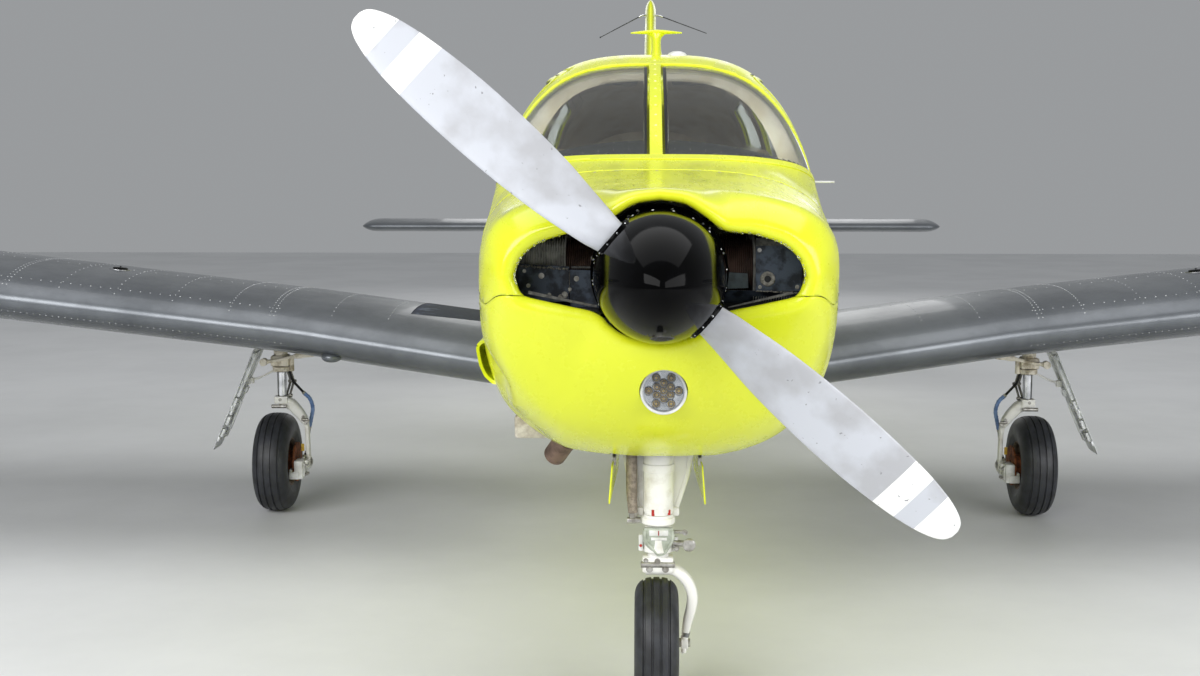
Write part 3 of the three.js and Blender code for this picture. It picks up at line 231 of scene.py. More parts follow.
finishes = {
    "yellow": makeYellowPaint(),
    "silver": makeSilverPaint(),
    "blade": makeBladePaint(),
    # gel-coated composite, jet black and polished like a mirror
    "spinner": makePatchy("black_gelcoat", "#030303", "#050506", 60, 4, 0.03, bump=0.01, IOR=1.16),
    # white enamel on the forged legs, greyed by grease in places
    "gearWhite": makePatchy("white_gear_enamel", "#f0efe9", "#cbc6b9", 90, 6, 0.32, (0.3, 0.5), 0.08),
    # metals, from hard chrome's mirror to the dull grey of plated bolts and the soft sheen of sheet
    "chrome": makePatchy("hard_chrome", "#d5d6d8", "#aeb0b3", 60, 3, 0.12, bump=0.03, Metallic=1.0),
    "steel": makePatchy("plated_steel", "#c4c2bd", "#938f87", 24, 3, 0.33, bump=0.1, Metallic=0.75),
    "alloy": makePatchy("bare_alloy", "#a3a4a6", "#7e7f80", 120, 3, 0.36, bump=0.1, Metallic=0.95),
    # engine metals: iron browned by heat, grey sand-cast heads and blue-black baffles with an oily shine
    # The iron's brown and the heads' grey are paler than the metals themselves: partly their own colour, partly
    # painted light that makes up for the dim inlets
    "castIron": makePatchy("cylinder_iron", "#6b5146", "#46362f", 40, 3, 0.55, bump=0.3, Metallic=0.4),
    "headAlloy": makePatchy("cast_cylinder_head", "#bdbcb7", "#8a8883", 30, 3, 0.55, bump=0.3, Metallic=0.5),
    "baffle": makePatchy("enamelled_baffle", "#46505f", "#1d232d", 38, 2.5, 0.45, (0.42, 0.56), 0.15, Metallic=0.3),
    # heat has browned the exhaust, and rain has left the brake discs a dull orange
    "exhaust": makePatchy("heat_stained_steel", "#8d7568", "#57463c", 70, 4, 0.52, bump=0.25, Metallic=0.7),
    "rust": makePatchy("rusty_brake_iron", "#9a5a34", "#5f3622", 22, 2, 0.75, bump=0.4, Metallic=0.3),
    # rubber and crackle paint: nearly black, and a fine grain breaks up what shine they have
    # The tyres' blue-grey is lighter than the rubber's own near-black: partly painted reflection of a wet sheen
    "rubber": makePatchy("tyre_rubber", "#303237", "#222326", 50, 2.5, 0.45, bump=0.2),
    "blackRubber": makePatchy("seal_rubber", "#0d0d0e", "#18181a", 20, 2, 0.6, bump=0.15),
    "darkPlastic": makePatchy("crackle_black", "#191919", "#242322", 18, 1.6, 0.62, bump=0.35),
    # grit in paint, blue-grey in patches and without any gloss
    "walkway": makePatchy("grit_walkway", "#2b3040", "#596074", 85, 2.2, 0.85, (0.30, 0.42), 0.5),
    # cabin trim: matt cream vinyl, dark pile, and beige leather that shines softly on its folds
    "headliner": makePatchy("headliner_vinyl", "#c9b99c", "#b5a380", 120, 3, 0.8, bump=0.2),
    "carpet": makePatchy("cut_pile_carpet", "#3c3a38", "#2b2928", 60, 3, 0.95, bump=0.6),
    "leather": makePatchy("seat_leather", "#b3a283", "#94846a", 110, 4, 0.5, (0.3, 0.6), 0.35),
    # enamels with an even gloss, one of them stained by the exhaust, and a satin tag
    "whitePaint": makePatchy("white_enamel", "#e9eae8", "#c9c8c2", 60, 5, 0.3, bump=0.05),
    "dirtyWhite": makePatchy("stained_white", "#d6d0c4", "#8d7f6d", 45, 4, 0.45, (0.35, 0.6), 0.1),
    "redMark": makePatchy("red_enamel", "#b3261c", "#8f1d16", 20, 3, 0.35, bump=0.05),
    "amber": makePatchy("yellow_tag", "#d7b13a", "#b8922a", 20, 3, 0.5, bump=0.05),
    # a ribbed plastic sleeve's satin blue, and woven cloth that takes the light flat
    "blueHose": makePatchy("blue_hose", "#86a2d2", "#5f7fb4", 20, 2, 0.4, bump=0.2),
    "sleeve": makePatchy("woven_sleeve", "#9d9285", "#7a7064", 12, 2, 0.85, bump=0.5),
    # etch primer on alloy: pale green with a faint glint of metal
    "greenAlloy": makePatchy("primed_alloy", "#c3c9bc", "#9fa596", 40, 3, 0.4, bump=0.1, Metallic=0.3),
    # the lamp's satin white housing and the black of the dials
    "lampRing": makePatchy("lamp_housing", "#e4e5e6", "#cfd0d2", 30, 3, 0.3, bump=0.05),
    "dialFace": makePatchy("dial_face", "#0b0b0c", "#121213", 30, 2, 0.3, bump=0.02),
}


# Acrylic sheet: clear, with a faint smoke tint; the lamp's lens is the same but water clear
def makeClear(name, colour, ior, roughness):
    material, tree, shader, spot = startMaterial(name, {
        "Base Color": colour, "Roughness": roughness, "IOR": ior, "Transmission Weight": 1.0})
    wipe = addNode(tree, "ShaderNodeTexNoise", {"Scale": noiseScale(160), "Detail": 5}, {"Vector": spot})
    haze = addNode(tree, "ShaderNodeMapRange",
                   {"From Min": 0.45, "From Max": 0.8, "To Min": roughness, "To Max": roughness + 0.12},
                   {"Value": wipe.outputs["Fac"]})
    tree.links.new(haze.outputs["Result"], shader.inputs["Roughness"])
    return material


finishes["acrylic"] = makeClear("acrylic_sheet", "#dfe4e0", 1.49, 0.0)
finishes["lens"] = makeClear("lamp_lens", "#f7f9fa", 1.5, 0.02)
finishes["greenLens"] = makeClear("green_lens", "#0f8a4a", 1.5, 0.05)
finishes["redLens"] = makeClear("red_lens", "#b3160f", 1.5, 0.05)
print("materials made:", len(finishes))


# Mesh tools

def addRing(bm, places, before=None):
    # the first ring is a circle whose points are moved; each other ring is extruded from the one before
    if before is None:
        ring = bmesh.ops.create_circle(bm, segments=len(places), radius=1)["verts"]
    else:
        edges = [bm.edges.get((v, before[(i + 1) % len(before)])) for i, v in enumerate(before)]
        grown = bmesh.ops.extrude_edge_only(bm, edges=edges)["geom"]
        new = {v for v in grown if isinstance(v, bmesh.types.BMVert)}
        ring = [next(e.other_vert(v) for e in v.link_edges if e.other_vert(v) in new) for v in before]
    for v, place in zip(ring, places):
        v.co = place
    return ring


# A skin over rows of places, each row joined to the one before
def loft(rows, capFirst=True, capLast=True):
    bm = bmesh.new()
    rings = []
    for row in rows:
        rings.append(addRing(bm, row, rings[-1] if rings else None))
    if capFirst:
        bmesh.ops.contextual_create(bm, geom=rings[0])
    if capLast:
        bmesh.ops.contextual_create(bm, geom=rings[-1])
    bmesh.ops.recalc_face_normals(bm, faces=bm.faces)
    return bm


def joinInto(bm, other):
    scratch = bpy.data.meshes.new("scratch")
    other.to_mesh(scratch)
    other.free()
    bm.from_mesh(scratch)
    bpy.data.meshes.remove(scratch)


def joined(parts):
    bm = bmesh.new()
    for part in parts:
        joinInto(bm, part)
    return bm


# Turns a mesh into a named piece with its finish, the body that it rides on, its slot and the nodes it replaces
def putPiece(name, bm, finish, body="airframe", replaces=(), sharp=38):
    names = [finish] if isinstance(finish, str) else finish
    for face in bm.faces:
        face.smooth = True
    mesh = bpy.data.meshes.new(name)
    bm.to_mesh(mesh)
    bm.free()
    for one in names:
        mesh.materials.append(finishes[one])
    mesh.set_sharp_from_angle(angle=radians(sharp))
    piece = bpy.data.objects.new(name, mesh)
    scene.collection.objects.link(piece)
    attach(piece, body)
    if replaces:
        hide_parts(*replaces)
    return piece


# Gives a sheet its thickness in mm, inwards unless the offset says otherwise
def addWall(piece, mm, offset=-1, inner=0):
    wall = piece.modifiers.new("Wall", "SOLIDIFY")
    wall.thickness = mm / 1000
    wall.offset = offset
    wall.material_offset = inner


def addBevel(piece, mm, segments=2):
    bevel = piece.modifiers.new("Edges", "BEVEL")
    bevel.width = mm / 1000
    bevel.segments = segments
    bevel.limit_method = "ANGLE"
    bevel.angle_limit = radians(35)


# Solids of revolution about a line: profile of (radius, distance along) in mm
def spun(profile, start, along, steps=32):
    bm = bmesh.new()
    axis = Vector(along).normalized()
    side = axis.orthogonal().normalized()
    points = [bm.verts.new(Vector(start) + (axis * d + side * r) / 1000) for r, d in profile]
    edges = [bm.edges.new(pair) for pair in zip(points, points[1:])]
    bmesh.ops.spin(bm, geom=points + edges, cent=start, axis=axis, angle=2 * pi, steps=steps, use_merge=True)
    bmesh.ops.remove_doubles(bm, verts=bm.verts, dist=1e-6)
    bmesh.ops.recalc_face_normals(bm, faces=bm.faces)
    return bm


def rod(start, end, radius, sides=20, endRadius=None, bevel=0.0):
    # a round bar between two places, radii in mm
    along = Vector(end) - Vector(start)
    length = along.length * 1000
    far = radius if endRadius is None else endRadius
    b = min(bevel, radius * 0.6, far * 0.6)
    profile = [(0, 0), (radius - b, 0), (radius, b), (far, length - b), (far - b, length), (0, length)]
    if not b:
        profile = [(0, 0), (radius, 0), (far, length), (0, length)]
    return spun(profile, start, along, sides)


def box(low, high, bevel=0.0, segments=2):
    # corners given in metres
    bm = bmesh.new()
    size = Vector(high) - Vector(low)
    middle = (Vector(high) + Vector(low)) / 2
    bmesh.ops.create_cube(bm, size=1, matrix=Matrix.Translation(middle) @ Matrix.Diagonal((*size, 1)))
    if bevel:
        bmesh.ops.bevel(bm, geom=bm.edges[:], offset=bevel / 1000, affect="EDGES", segments=segments,
                        profile=0.5, material=-1)
    return bm


def curvePoints(points, steps):
    # a smooth line through the points, with this many steps between each two
    whole = [points[0] * 2 - points[1]] + list(points) + [points[-1] * 2 - points[-2]]
    line = []
    for i in range(1, len(whole) - 2):
        a, b, c, d = whole[i - 1:i + 3]
        for k in range(steps):
            t = k / steps
            line.append(0.5 * (2 * b + (c - a) * t + (2 * a - 5 * b + 4 * c - d) * t * t
                               + (3 * b - a - 3 * c + d) * t ** 3))
    return line + [points[-1]]


def tube(points, radii, sides=14, steps=6, flat=1.0, bore=None):
    # a tube along a smooth line; radii in mm, one for all or one for each point
    line = curvePoints(points, steps)
    count = len(line)
    sizes = radii if isinstance(radii, (list, tuple)) else [radii] * len(points)
    rows = []
    side = (line[1] - line[0]).orthogonal().normalized()
    for i, p in enumerate(line):
        along = (line[min(i + 1, count - 1)] - line[max(i - 1, 0)]).normalized()
        side = (side - along * side.dot(along)).normalized()
        other = along.cross(side)
        place = i / (count - 1) * (len(points) - 1)
        low = min(int(place), len(points) - 2)
        r = mixed(sizes[low], sizes[low + 1], place - low) / 1000
        rows.append([p + (side * cos(a) * r + other * sin(a) * r * flat)
                     for a in (2 * pi * k / sides for k in range(sides))])
    if bore:
        ends = []
        for row, p in ((rows[-1], line[-1]), (rows[max(count - 4, 0)], line[max(count - 4, 0)])):
            ends.append([p + (q - p) * bore for q in row])
        return loft(rows + ends)
    return loft(rows)


# Domed rivet or screw heads at places with their outward directions
def domes(spots, radius, height, sides=8):
    bm = bmesh.new()
    for place, out in spots:
        turn = Vector(out).to_track_quat("Z", "Y").to_matrix().to_4x4()
        head = Matrix.Translation(Vector(place)) @ turn
        bmesh.ops.create_cone(bm, cap_ends=True, segments=sides, radius1=radius / 1000,
                              radius2=radius * 0.45 / 1000,
                              depth=height / 1000, matrix=head @ Matrix.Translation((0, 0, height / 2200)))
    return bm


# Cuts a sheet true to a convex anticlockwise outline in mm, seen along one axis, and gives the faces inside
def facesInside(bm, outline, view, chosen):
    first, second = {"side": (1, 2), "front": (0, 2), "plan": (0, 1)}[view]
    shift = {0: 0, 1: middleStation, 2: 0}
    points = [((a - shift[first]) / 1000, (b - shift[second]) / 1000) for a, b in outline]
    low = [min(p[i] for p in points) for i in (0, 1)]
    high = [max(p[i] for p in points) for i in (0, 1)]
    inside = []
    for face in bm.faces:
        if not chosen(face):
            continue
        us = [v.co[first] for v in face.verts]
        vs = [v.co[second] for v in face.verts]
        if max(us) > low[0] and min(us) < high[0] and max(vs) > low[1] and min(vs) < high[1]:
            inside.append(face)
    for i, (a, b) in enumerate(points):
        c, d = points[(i + 1) % len(points)]
        normal, spot = Vector((0, 0, 0)), Vector((0, 0, 0))
        normal[first], normal[second] = d - b, a - c
        spot[first], spot[second] = a, b
        edges = {e for f in inside for e in f.edges}
        verts = {v for f in inside for v in f.verts}
        done = bmesh.ops.bisect_plane(bm, geom=inside + list(edges) + list(verts), dist=1e-6,
                                      plane_co=spot, plane_no=normal)
        inside = [f for f in done["geom"] if isinstance(f, bmesh.types.BMFace)
                  and (f.calc_center_median() - spot).dot(normal) < 0]
    return inside


# An outline moved inwards by some mm, its corners rounded
def roundedOutline(outline, radius, inwards=0, steps=6):
    count = len(outline)
    lines = []
    for i, p in enumerate(outline):
        q = outline[(i + 1) % count]
        d = Vector((q[0] - p[0], q[1] - p[1])).normalized()
        lines.append((Vector((p[0] - d.y * inwards, p[1] + d.x * inwards)), d))
    corners = []
    for i, (start, d) in enumerate(lines):
        before, e = lines[i - 1]
        corners.append(before + e * ((start - before).cross(d) / e.cross(d)))
    points = []
    for i, corner in enumerate(corners):
        a = corner - lines[i - 1][1] * radius
        b = corner + lines[i][1] * radius
        for k in range(steps + 1):
            t = k / steps
            points.append(tuple(a * (1 - t) ** 2 + corner * 2 * t * (1 - t) + b * t * t))
    return points


def circleOutline(x, y, radius, sides=36, stretch=1.0):
    return [(x + radius * cos(2 * pi * k / sides),
             y + radius * stretch * sin(2 * pi * k / sides)) for k in range(sides)]


# The camera of the photograph, soft studio light and a pale floor

camera = {"lens": 48.252, "place": (-0.0385, -7.2608, 1.5517), "pitch": -0.1193, "yaw": 0.0272}
eye = bpy.data.cameras.new("photo_camera")
eye.lens = camera["lens"]
eye.sensor_width = 36
eyeObject = bpy.data.objects.new("photo_camera", eye)
eyeObject.location = camera["place"]
eyeObject.rotation_euler = (pi / 2 + camera["pitch"], 0, camera["yaw"])
scene.collection.objects.link(eyeObject)
scene.camera = eyeObject

lights = {
    "key": {"size": (8, 4), "place": (-4.5, -8.5, 4.6), "aim": (0, -2.6, 1.0), "power": 560},
    "fill": {"size": (8, 4), "place": (6.0, -7.0, 3.2), "aim": (0, -2.0, 1.0), "power": 370},
    "top": {"size": (10, 6), "place": (0, -1.0, 6.5), "aim": (0, -0.5, 0), "power": 230},
    "back": {"size": (5, 3.5), "place": (0.3, 9.5, 3.2), "aim": (0, 1.0, 1.0), "power": 60},
    # a small unseen lamp stands for the daylight that the glass lets into the cabin
    "cabin": {"size": (0.6, 0.06), "place": (0, -1.8, 1.6), "aim": (0, -0.8, 1.78), "power": 4.4},
}
for name, s in lights.items():
    lamp = bpy.data.lights.new(name + "_light", "AREA")
    lamp.shape = "RECTANGLE"
    lamp.size, lamp.size_y = s["size"]
    lamp.energy = s["power"]
    lampObject = bpy.data.objects.new(name + "_light", lamp)
    lampObject.location = s["place"]
    lampObject.rotation_euler = (Vector(s["aim"]) - Vector(s["place"])).to_track_quat("-Z", "Y").to_euler()
    if name == "cabin":
        lampObject.visible_camera = lampObject.visible_glossy = lampObject.visible_transmission = False
    scene.collection.objects.link(lampObject)

world = bpy.data.worlds.new("studio")
world.use_nodes = True
world.node_tree.nodes["Background"].inputs["Color"].default_value = linearColour("#d9dcdf")
world.node_tree.nodes["Background"].inputs["Strength"].default_value = 0.46
scene.world = world
scene.view_settings.view_transform = "Standard"

finishes["floor"] = makePatchy("studio_floor", "#dedfe0", "#d8d9da", 900, 12, 0.5, bump=0.02)
floorBm = bmesh.new()
bmesh.ops.create_grid(floorBm, x_segments=2, y_segments=2, size=16)
floorMesh = bpy.data.meshes.new("studio_floor")
floorBm.to_mesh(floorMesh)
floorBm.free()
floorMesh.materials.append(finishes["floor"])
floor = bpy.data.objects.new("studio_floor", floorMesh)
scene.collection.objects.link(floor)
print("stage set")


# Fuselage sections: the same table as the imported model's, in mm

sectionColumns = ["station", "halfWidth", "widest", "top", "bottom", "upper", "lower"]
sectionTable = [
    [100, 345, 1262, 1415, 1035, 3.2, 2.4], [125, 385, 1256, 1432, 985, 3.2, 2.4],
    [170, 418, 1248, 1440, 935, 3.1, 2.5], [250, 446, 1235, 1443, 850, 3.0, 2.6],
    [350, 463, 1222, 1445, 775, 3.0, 2.7], [480, 477, 1208, 1449, 720, 3.0, 2.8],
    [650, 491, 1198, 1455, 690, 3.0, 2.9], [1050, 530, 1185, 1478, 640, 3.0, 3.3],
    [1350, 546, 1188, 1521, 625, 3.1, 3.6], [1750, 556, 1190, 1698, 610, 3.2, 3.8],
    [2050, 559, 1190, 1810, 604, 3.1, 3.9], [2350, 560, 1190, 1882, 602, 3.1, 3.9],
    [2650, 558, 1190, 1902, 602, 3.1, 3.9], [3200, 545, 1188, 1893, 605, 3.1, 3.8],
    [3600, 520, 1182, 1838, 625, 3.0, 3.4], [3900, 488, 1174, 1755, 655, 2.8, 3.1],
    [4250, 440, 1162, 1632, 700, 2.6, 2.9], [4700, 372, 1146, 1505, 762, 2.5, 2.7],
    [5400, 262, 1122, 1375, 842, 2.4, 2.6], [6200, 142, 1092, 1262, 925, 2.4, 2.5],
    [6760, 70, 1072, 1178, 968, 2.3, 2.4],
]


# The section's seven values at a station, on a smooth line through the table's rows
def sectionAt(station):
    last = len(sectionTable) - 1
    after = min(max(next((i for i, row in enumerate(sectionTable) if row[0] >= station), last), 1), last)
    a, b = sectionTable[after - 1], sectionTable[after]
    span = b[0] - a[0]
    t = (station - a[0]) / span
    values = {}
    for k, name in enumerate(sectionColumns[1:], 1):
        slopes = []
        for i in (after - 1, after):
            low, high = sectionTable[max(i - 1, 0)], sectionTable[min(i + 1, last)]
            slopes.append((high[k] - low[k]) / (high[0] - low[0]))
        values[name] = ((1 + 2 * t) * (1 - t) ** 2 * a[k] + t * (1 - t) ** 2 * span * slopes[0]
                        + t * t * (3 - 2 * t) * b[k] + t * t * (t - 1) * span * slopes[1])
    return values


# A place on the skin at an angle from the port side, in mm, moved inwards by the inset
def skinPoint(station, angle, inset=0, section=None):
    s = section or sectionAt(station)
    c, h = cos(angle), sin(angle)
    power = 2 / (s["upper"] if h > 0 else s["lower"])
    rise = s["top"] - s["widest"] if h > 0 else s["widest"] - s["bottom"]
    x = (abs(c) ** power) * (s["halfWidth"] - inset) * (1 if c > 0 else -1)
    z = s["widest"] + (abs(h) ** power) * (rise - inset) * (1 if h > 0 else -1)
    return Vector((x, station, z))


def skinHalfWidth(station, height, inset=0):
    s = sectionAt(station)
    up = height > s["widest"]
    rise = s["top"] - s["widest"] if up else s["widest"] - s["bottom"]
    power = s["upper"] if up else s["lower"]
    share = max(1 - (abs(height - s["widest"]) / (rise - inset)) ** power, 0)
    return (s["halfWidth"] - inset) * share ** (1 / power)


# Angles that spread points evenly round a section
def evenAngles(station, count):
    fine = [skinPoint(station, 2 * pi * k / 2880) for k in range(2881)]
    reach = [0]
    for a, b in zip(fine, fine[1:]):
        reach.append(reach[-1] + (b - a).length)
    angles, k = [], 0
    for i in range(count):
        goal = reach[-1] * (i + 0.5) / count
        while reach[k + 1] < goal:
            k += 1
        angles.append(2 * pi * (k + (goal - reach[k]) / (reach[k + 1] - reach[k])) / 2880)
    return angles


# The skin between two stations as an open sheet of even faces
def skinSheet(start, end, inset=0, spacing=30, around=144):
    angles = evenAngles(2350, around)
    count = max(int(round((end - start) / spacing)), 1)
    rows = []
    for i in range(count + 1):
        station = mixed(start, end, i / count)
        s = sectionAt(station)
        rows.append([at(*skinPoint(station, a, inset, s)) for a in angles])
    bm = loft(rows, False, False)
    face = max(bm.faces, key=lambda f: f.calc_center_median().z)
    if face.normal.z < 0:
        bmesh.ops.reverse_faces(bm, faces=bm.faces)
    return bm


print("sections ready")


# Cowl: fat lips round one mouth, flowing back to the fuselage's sections; two shells part at a level line

cowl = {
    "mouth": [(0, 1421), (60, 1411), (108, 1382), (150, 1350), (188, 1342), (230, 1337), (296, 1314), (336, 1280),
              (352, 1239), (347, 1215), (338, 1195), (322, 1184), (278, 1174), (220, 1162),
              (168, 1151), (140, 1137), (120, 1116), (88, 1094), (45, 1080), (0, 1075)],
    "steps": 132, "rear": 1048, "split": 1155, "rise": 33, "wall": 7,
}


def smoothed(values, passes, reach):
    for _ in range(passes):
        out = []
        for i in range(len(values)):
            r = min(reach, i, len(values) - 1 - i)
            part = values[i - r:i + r + 1]
            out.append(sum(part[1:], part[0]) / len(part))
        values = out
    return values


def makeCowlProfile():
    # the right half of the mouth, from the crown down to the chin
    corners = [Vector(p) for p in cowl["mouth"]]
    fine = curvePoints(corners, 24)
    reach = [0]
    for a, b in zip(fine, fine[1:]):
        reach.append(reach[-1] + (b - a).length)
    points, k = [], 0
    for i in range(cowl["steps"] + 1):
        goal = reach[-1] * i / cowl["steps"]
        while k < len(fine) - 2 and reach[k + 1] < goal:
            k += 1
        t = (goal - reach[k]) / max(reach[k + 1] - reach[k], 1e-9)
        points.append(fine[k].lerp(fine[k + 1], min(t, 1)))
    outwards = []
    for i, p in enumerate(points):
        d = points[min(i + 1, len(points) - 1)] - points[max(i - 1, 0)]
        if i == 0 or i == len(points) - 1:
            d = Vector((1, 0)) if i == 0 else Vector((-1, 0))
        outwards.append(Vector((-d.y, d.x)).normalized())
    outwards = [v.normalized() for v in smoothed(outwards, 2, 2)]
    # where each line out of the mouth meets the section behind it
    ring = [(a, Vector((skinPoint(250, a).x, skinPoint(250, a).z)))
            for a in (radians(90 - 180 * k / 900) for k in range(901))]
    wide = smoothed(outwards, 3, 7)
    aims = []
    for p, n in zip(points, wide):
        n = n.normalized()
        aims.append(max(ring, key=lambda item: (item[1] - p).normalized().dot(n))[0])
    aims[0], aims[-1] = radians(90), radians(-90)
    aims = smoothed(aims, 4, 9)
    for i in range(1, len(aims)):
        aims[i] = min(aims[i], aims[i - 1] - 0.002)
    aims[-1] = radians(-90)
    return points, outwards, smoothed(aims, 2, 4)


# Rings of the whole cowl, from inside the mouth round its lip and back to the rear edge
def cowlRows():
    points, outwards, aims = makeCowlProfile()
    half = []
    for p, n, a in zip(points, outwards, aims):
        # the arch over the spinner, the bowl under it and the inlets at its sides
        up, down = smooth((p.y - 1290) / 110), smooth((1150 - p.y) / 50)
        side = smooth((abs(p.x) - 150) / 150)
        lip = mixed(mixed(32, 44, side), 24, max(up * (1 - side), 0))
        lip = mixed(lip, 26, down)
        front = mixed(mixed(98, 112, (abs(p.x) / 352) ** 2), 88, up * (1 - side))
        target = mixed(mixed(235, 300, smooth((-a - 0.3) / 0.9)), 330, smooth((a - 1.1) / 0.45))
        lead = mixed(mixed(62, 150, smooth((-a - 0.4) / 0.8)), 84, smooth((a - 0.7) / 0.7))
        half.append((p, n, a, lip, front, target, lead))

    rows = []
    whole = half + [(Vector((-p.x, p.y)), Vector((-n.x, n.y)), pi - a, lip, front, target, lead)
                    for p, n, a, lip, front, target, lead in half[-2:0:-1]]
    for reachIn, back in ((16, 74), (9, 52), (3.5, 34), (0.8, 22), (0, 14)):
        rows.append([at(p.x + n.x * reachIn, front + back, p.y + n.y * reachIn)
                     for p, n, a, lip, front, target, lead in whole])
    for reachOut, back in ((0.06, 8.5), (0.18, 4.2), (0.36, 1.3), (0.62, 0.0)):
        rows.append([at(p.x + n.x * reachOut * lip, front + back, p.y + n.y * reachOut * lip)
                     for p, n, a, lip, front, target, lead in whole])
    steps = 16
    for k in range(1, steps + 1):
        u = k / steps
        row = []
        for p, n, a, lip, front, target, lead in whole:
            start = Vector((p.x + n.x * 0.62 * lip, front, p.y + n.y * 0.62 * lip))
            end = skinPoint(target, a)
            ahead = skinPoint(target + 15, a)
            pull = (ahead - end) / 15 * (target - front) * 1.15
            push = Vector((n.x * lead, 0, n.y * lead))
            u2, u3 = u * u, u * u * u
            row.append(at(*(start * (2 * u3 - 3 * u2 + 1) + push * (u3 - 2 * u2 + u)
                            + end * (3 * u2 - 2 * u3) + pull * (u3 - u2))))
        rows.append(row)
    steps = 24
    for k in range(1, steps + 1):
        u = k / steps
        rows.append([at(*skinPoint(mixed(target, cowl["rear"], u), a))
                     for p, n, a, lip, front, target, lead in whole])
    return rows


# Sculpted forms of the lower shell: the exhaust's bulge, the valley beside it, the dimple below the lamp
# and the hollow ahead of the side scoop
cowlForms = [
    # x, station, z, radius x, radius station, radius z, push outwards in mm
    (-250, 800, 700, 90, 230, 90, 10),
    (-345, 640, 790, 60, 260, 80, -14),
    (-180, 640, 720, 70, 220, 70, -6),
    (12, 205, 868, 50, 60, 26, -5),
    (-440, 500, 945, 60, 140, 58, -40),
]


def shapeCowl(bm):
    bm.normal_update()
    for v in bm.verts:
        moved = 0
        x, station, z = v.co.x * 1000, v.co.y * 1000 + middleStation, v.co.z * 1000
        for cx, cs, cz, rx, rs, rz, push in cowlForms:
            d = ((x - cx) / rx) ** 2 + ((station - cs) / rs) ** 2 + ((z - cz) / rz) ** 2
            if d < 4:
                moved += push * (1 - d / 4) ** 2
        if moved:
            v.co += v.normal * moved / 1000


def makeCowl():
    whole = loft(cowlRows(), False, False)
    crown = max(whole.faces, key=lambda f: f.calc_center_median().z)
    if crown.normal.z < 0:
        bmesh.ops.reverse_faces(whole, faces=whole.faces)
    shapeCowl(whole)
    # the line between the shells rises to the inlets' outer corners: the skin is let down there, cut level
    # and put back
    def letDown(bm, way):
        for v in bm.verts:
            v.co.z += way * cowl["rise"] / 1000 * (1 - smooth((v.co.y * 1000 + middleStation - 112) / 130))

    seam = 0.0011
    plane = Vector((0, 0, cowl["split"] / 1000))
    letDown(whole, -1)
    lower = whole.copy()
    for bm, keepAbove in ((whole, True), (lower, False)):
        offset = Vector((0, 0, seam if keepAbove else -seam))
        bmesh.ops.bisect_plane(bm, geom=bm.verts[:] + bm.edges[:] + bm.faces[:], dist=1e-7, plane_co=plane + offset,
                               plane_no=(0, 0, 1), clear_inner=keepAbove, clear_outer=not keepAbove)
        letDown(bm, 1)
    upper = putPiece("upper_cowl_skin", whole, ["yellow", "alloy"],
                     replaces=["upper_cowl"], sharp=50)
    addWall(upper, cowl["wall"], inner=1)
    # holes of the lower shell: lamp, nose wheel well, exhaust and side scoop
    ahead = lambda f: f.calc_center_median().y < -3.1 and f.normal.y < 0.1
    below = lambda f: f.normal.z < -0.05 and f.calc_center_median().z < 0.85
    left = lambda f: f.calc_center_median().x < -0.3
    for outline, view, chosen in (
            (circleOutline(12, 945, 60.5), "front", ahead),
            (roundedOutline([(-128, 470), (128, 470), (128, 1040), (-128, 1040)], 14), "plan", below),
            (circleOutline(-268, 915, 56, 32, 1.55), "plan", below),
            (roundedOutline([(768, 902), (1000, 902), (1000, 990), (768, 990)], 12), "side", left)):
        bmesh.ops.delete(lower, geom=facesInside(lower, outline, view, chosen), context="FACES")
    lowerPiece = putPiece("lower_cowl_skin", lower, ["yellow", "alloy"],
                          replaces=["lower_cowl"], sharp=50)
    addWall(lowerPiece, cowl["wall"], inner=1)


makeCowl()


# Side scoop: a sharp-edged duct standing proud of the starboard side
scoop = {"outline": [(-519, 972), (-510, 925), (-496, 893), (-472, 870), (-425, 870), (-425, 1003),
                     (-486, 1003), (-514, 990)],
         "front": 780, "rear": 1008}


def makeScoop():
    outer = roundedOutline(scoop["outline"], 7, 0, 4)
    inner = roundedOutline(scoop["outline"], 9, 9, 4)
    rows = []
    for outline, station, shrink in ((inner, 1000, 0), (inner, 800, 0), (inner, 784, 0), (outer, 780, 0.5),
                                     (outer, 782, 0), (outer, 900, 0), (outer, 1008, 0)):
        # the rear of the duct sinks into the side
        sink = 26 * smooth((station - 880) / 130)
        rows.append([at(x + sink * (1 if x < -470 else 0.4) + (0.6 if shrink else 0), station, z)
                     for x, z in outline])
    bm = loft(rows, True, False)
    putPiece("side_scoop_duct", bm, "yellow", sharp=30)


makeScoop()


# Landing light: white ring, thirteen lamp cells behind a clear lens
lamp = {"x": 12, "z": 945, "front": 164, "ring": 58.5, "glass": 52, "cell": 10.5,
        "cells": [(0, 0)] + [(19.5 * cos(a), 19.5 * sin(a)) for a in (radians(60 * k + 30) for k in range(6))]
        + [(37.5 * cos(a), 37.5 * sin(a)) for a in (radians(60 * k) for k in range(6))]}


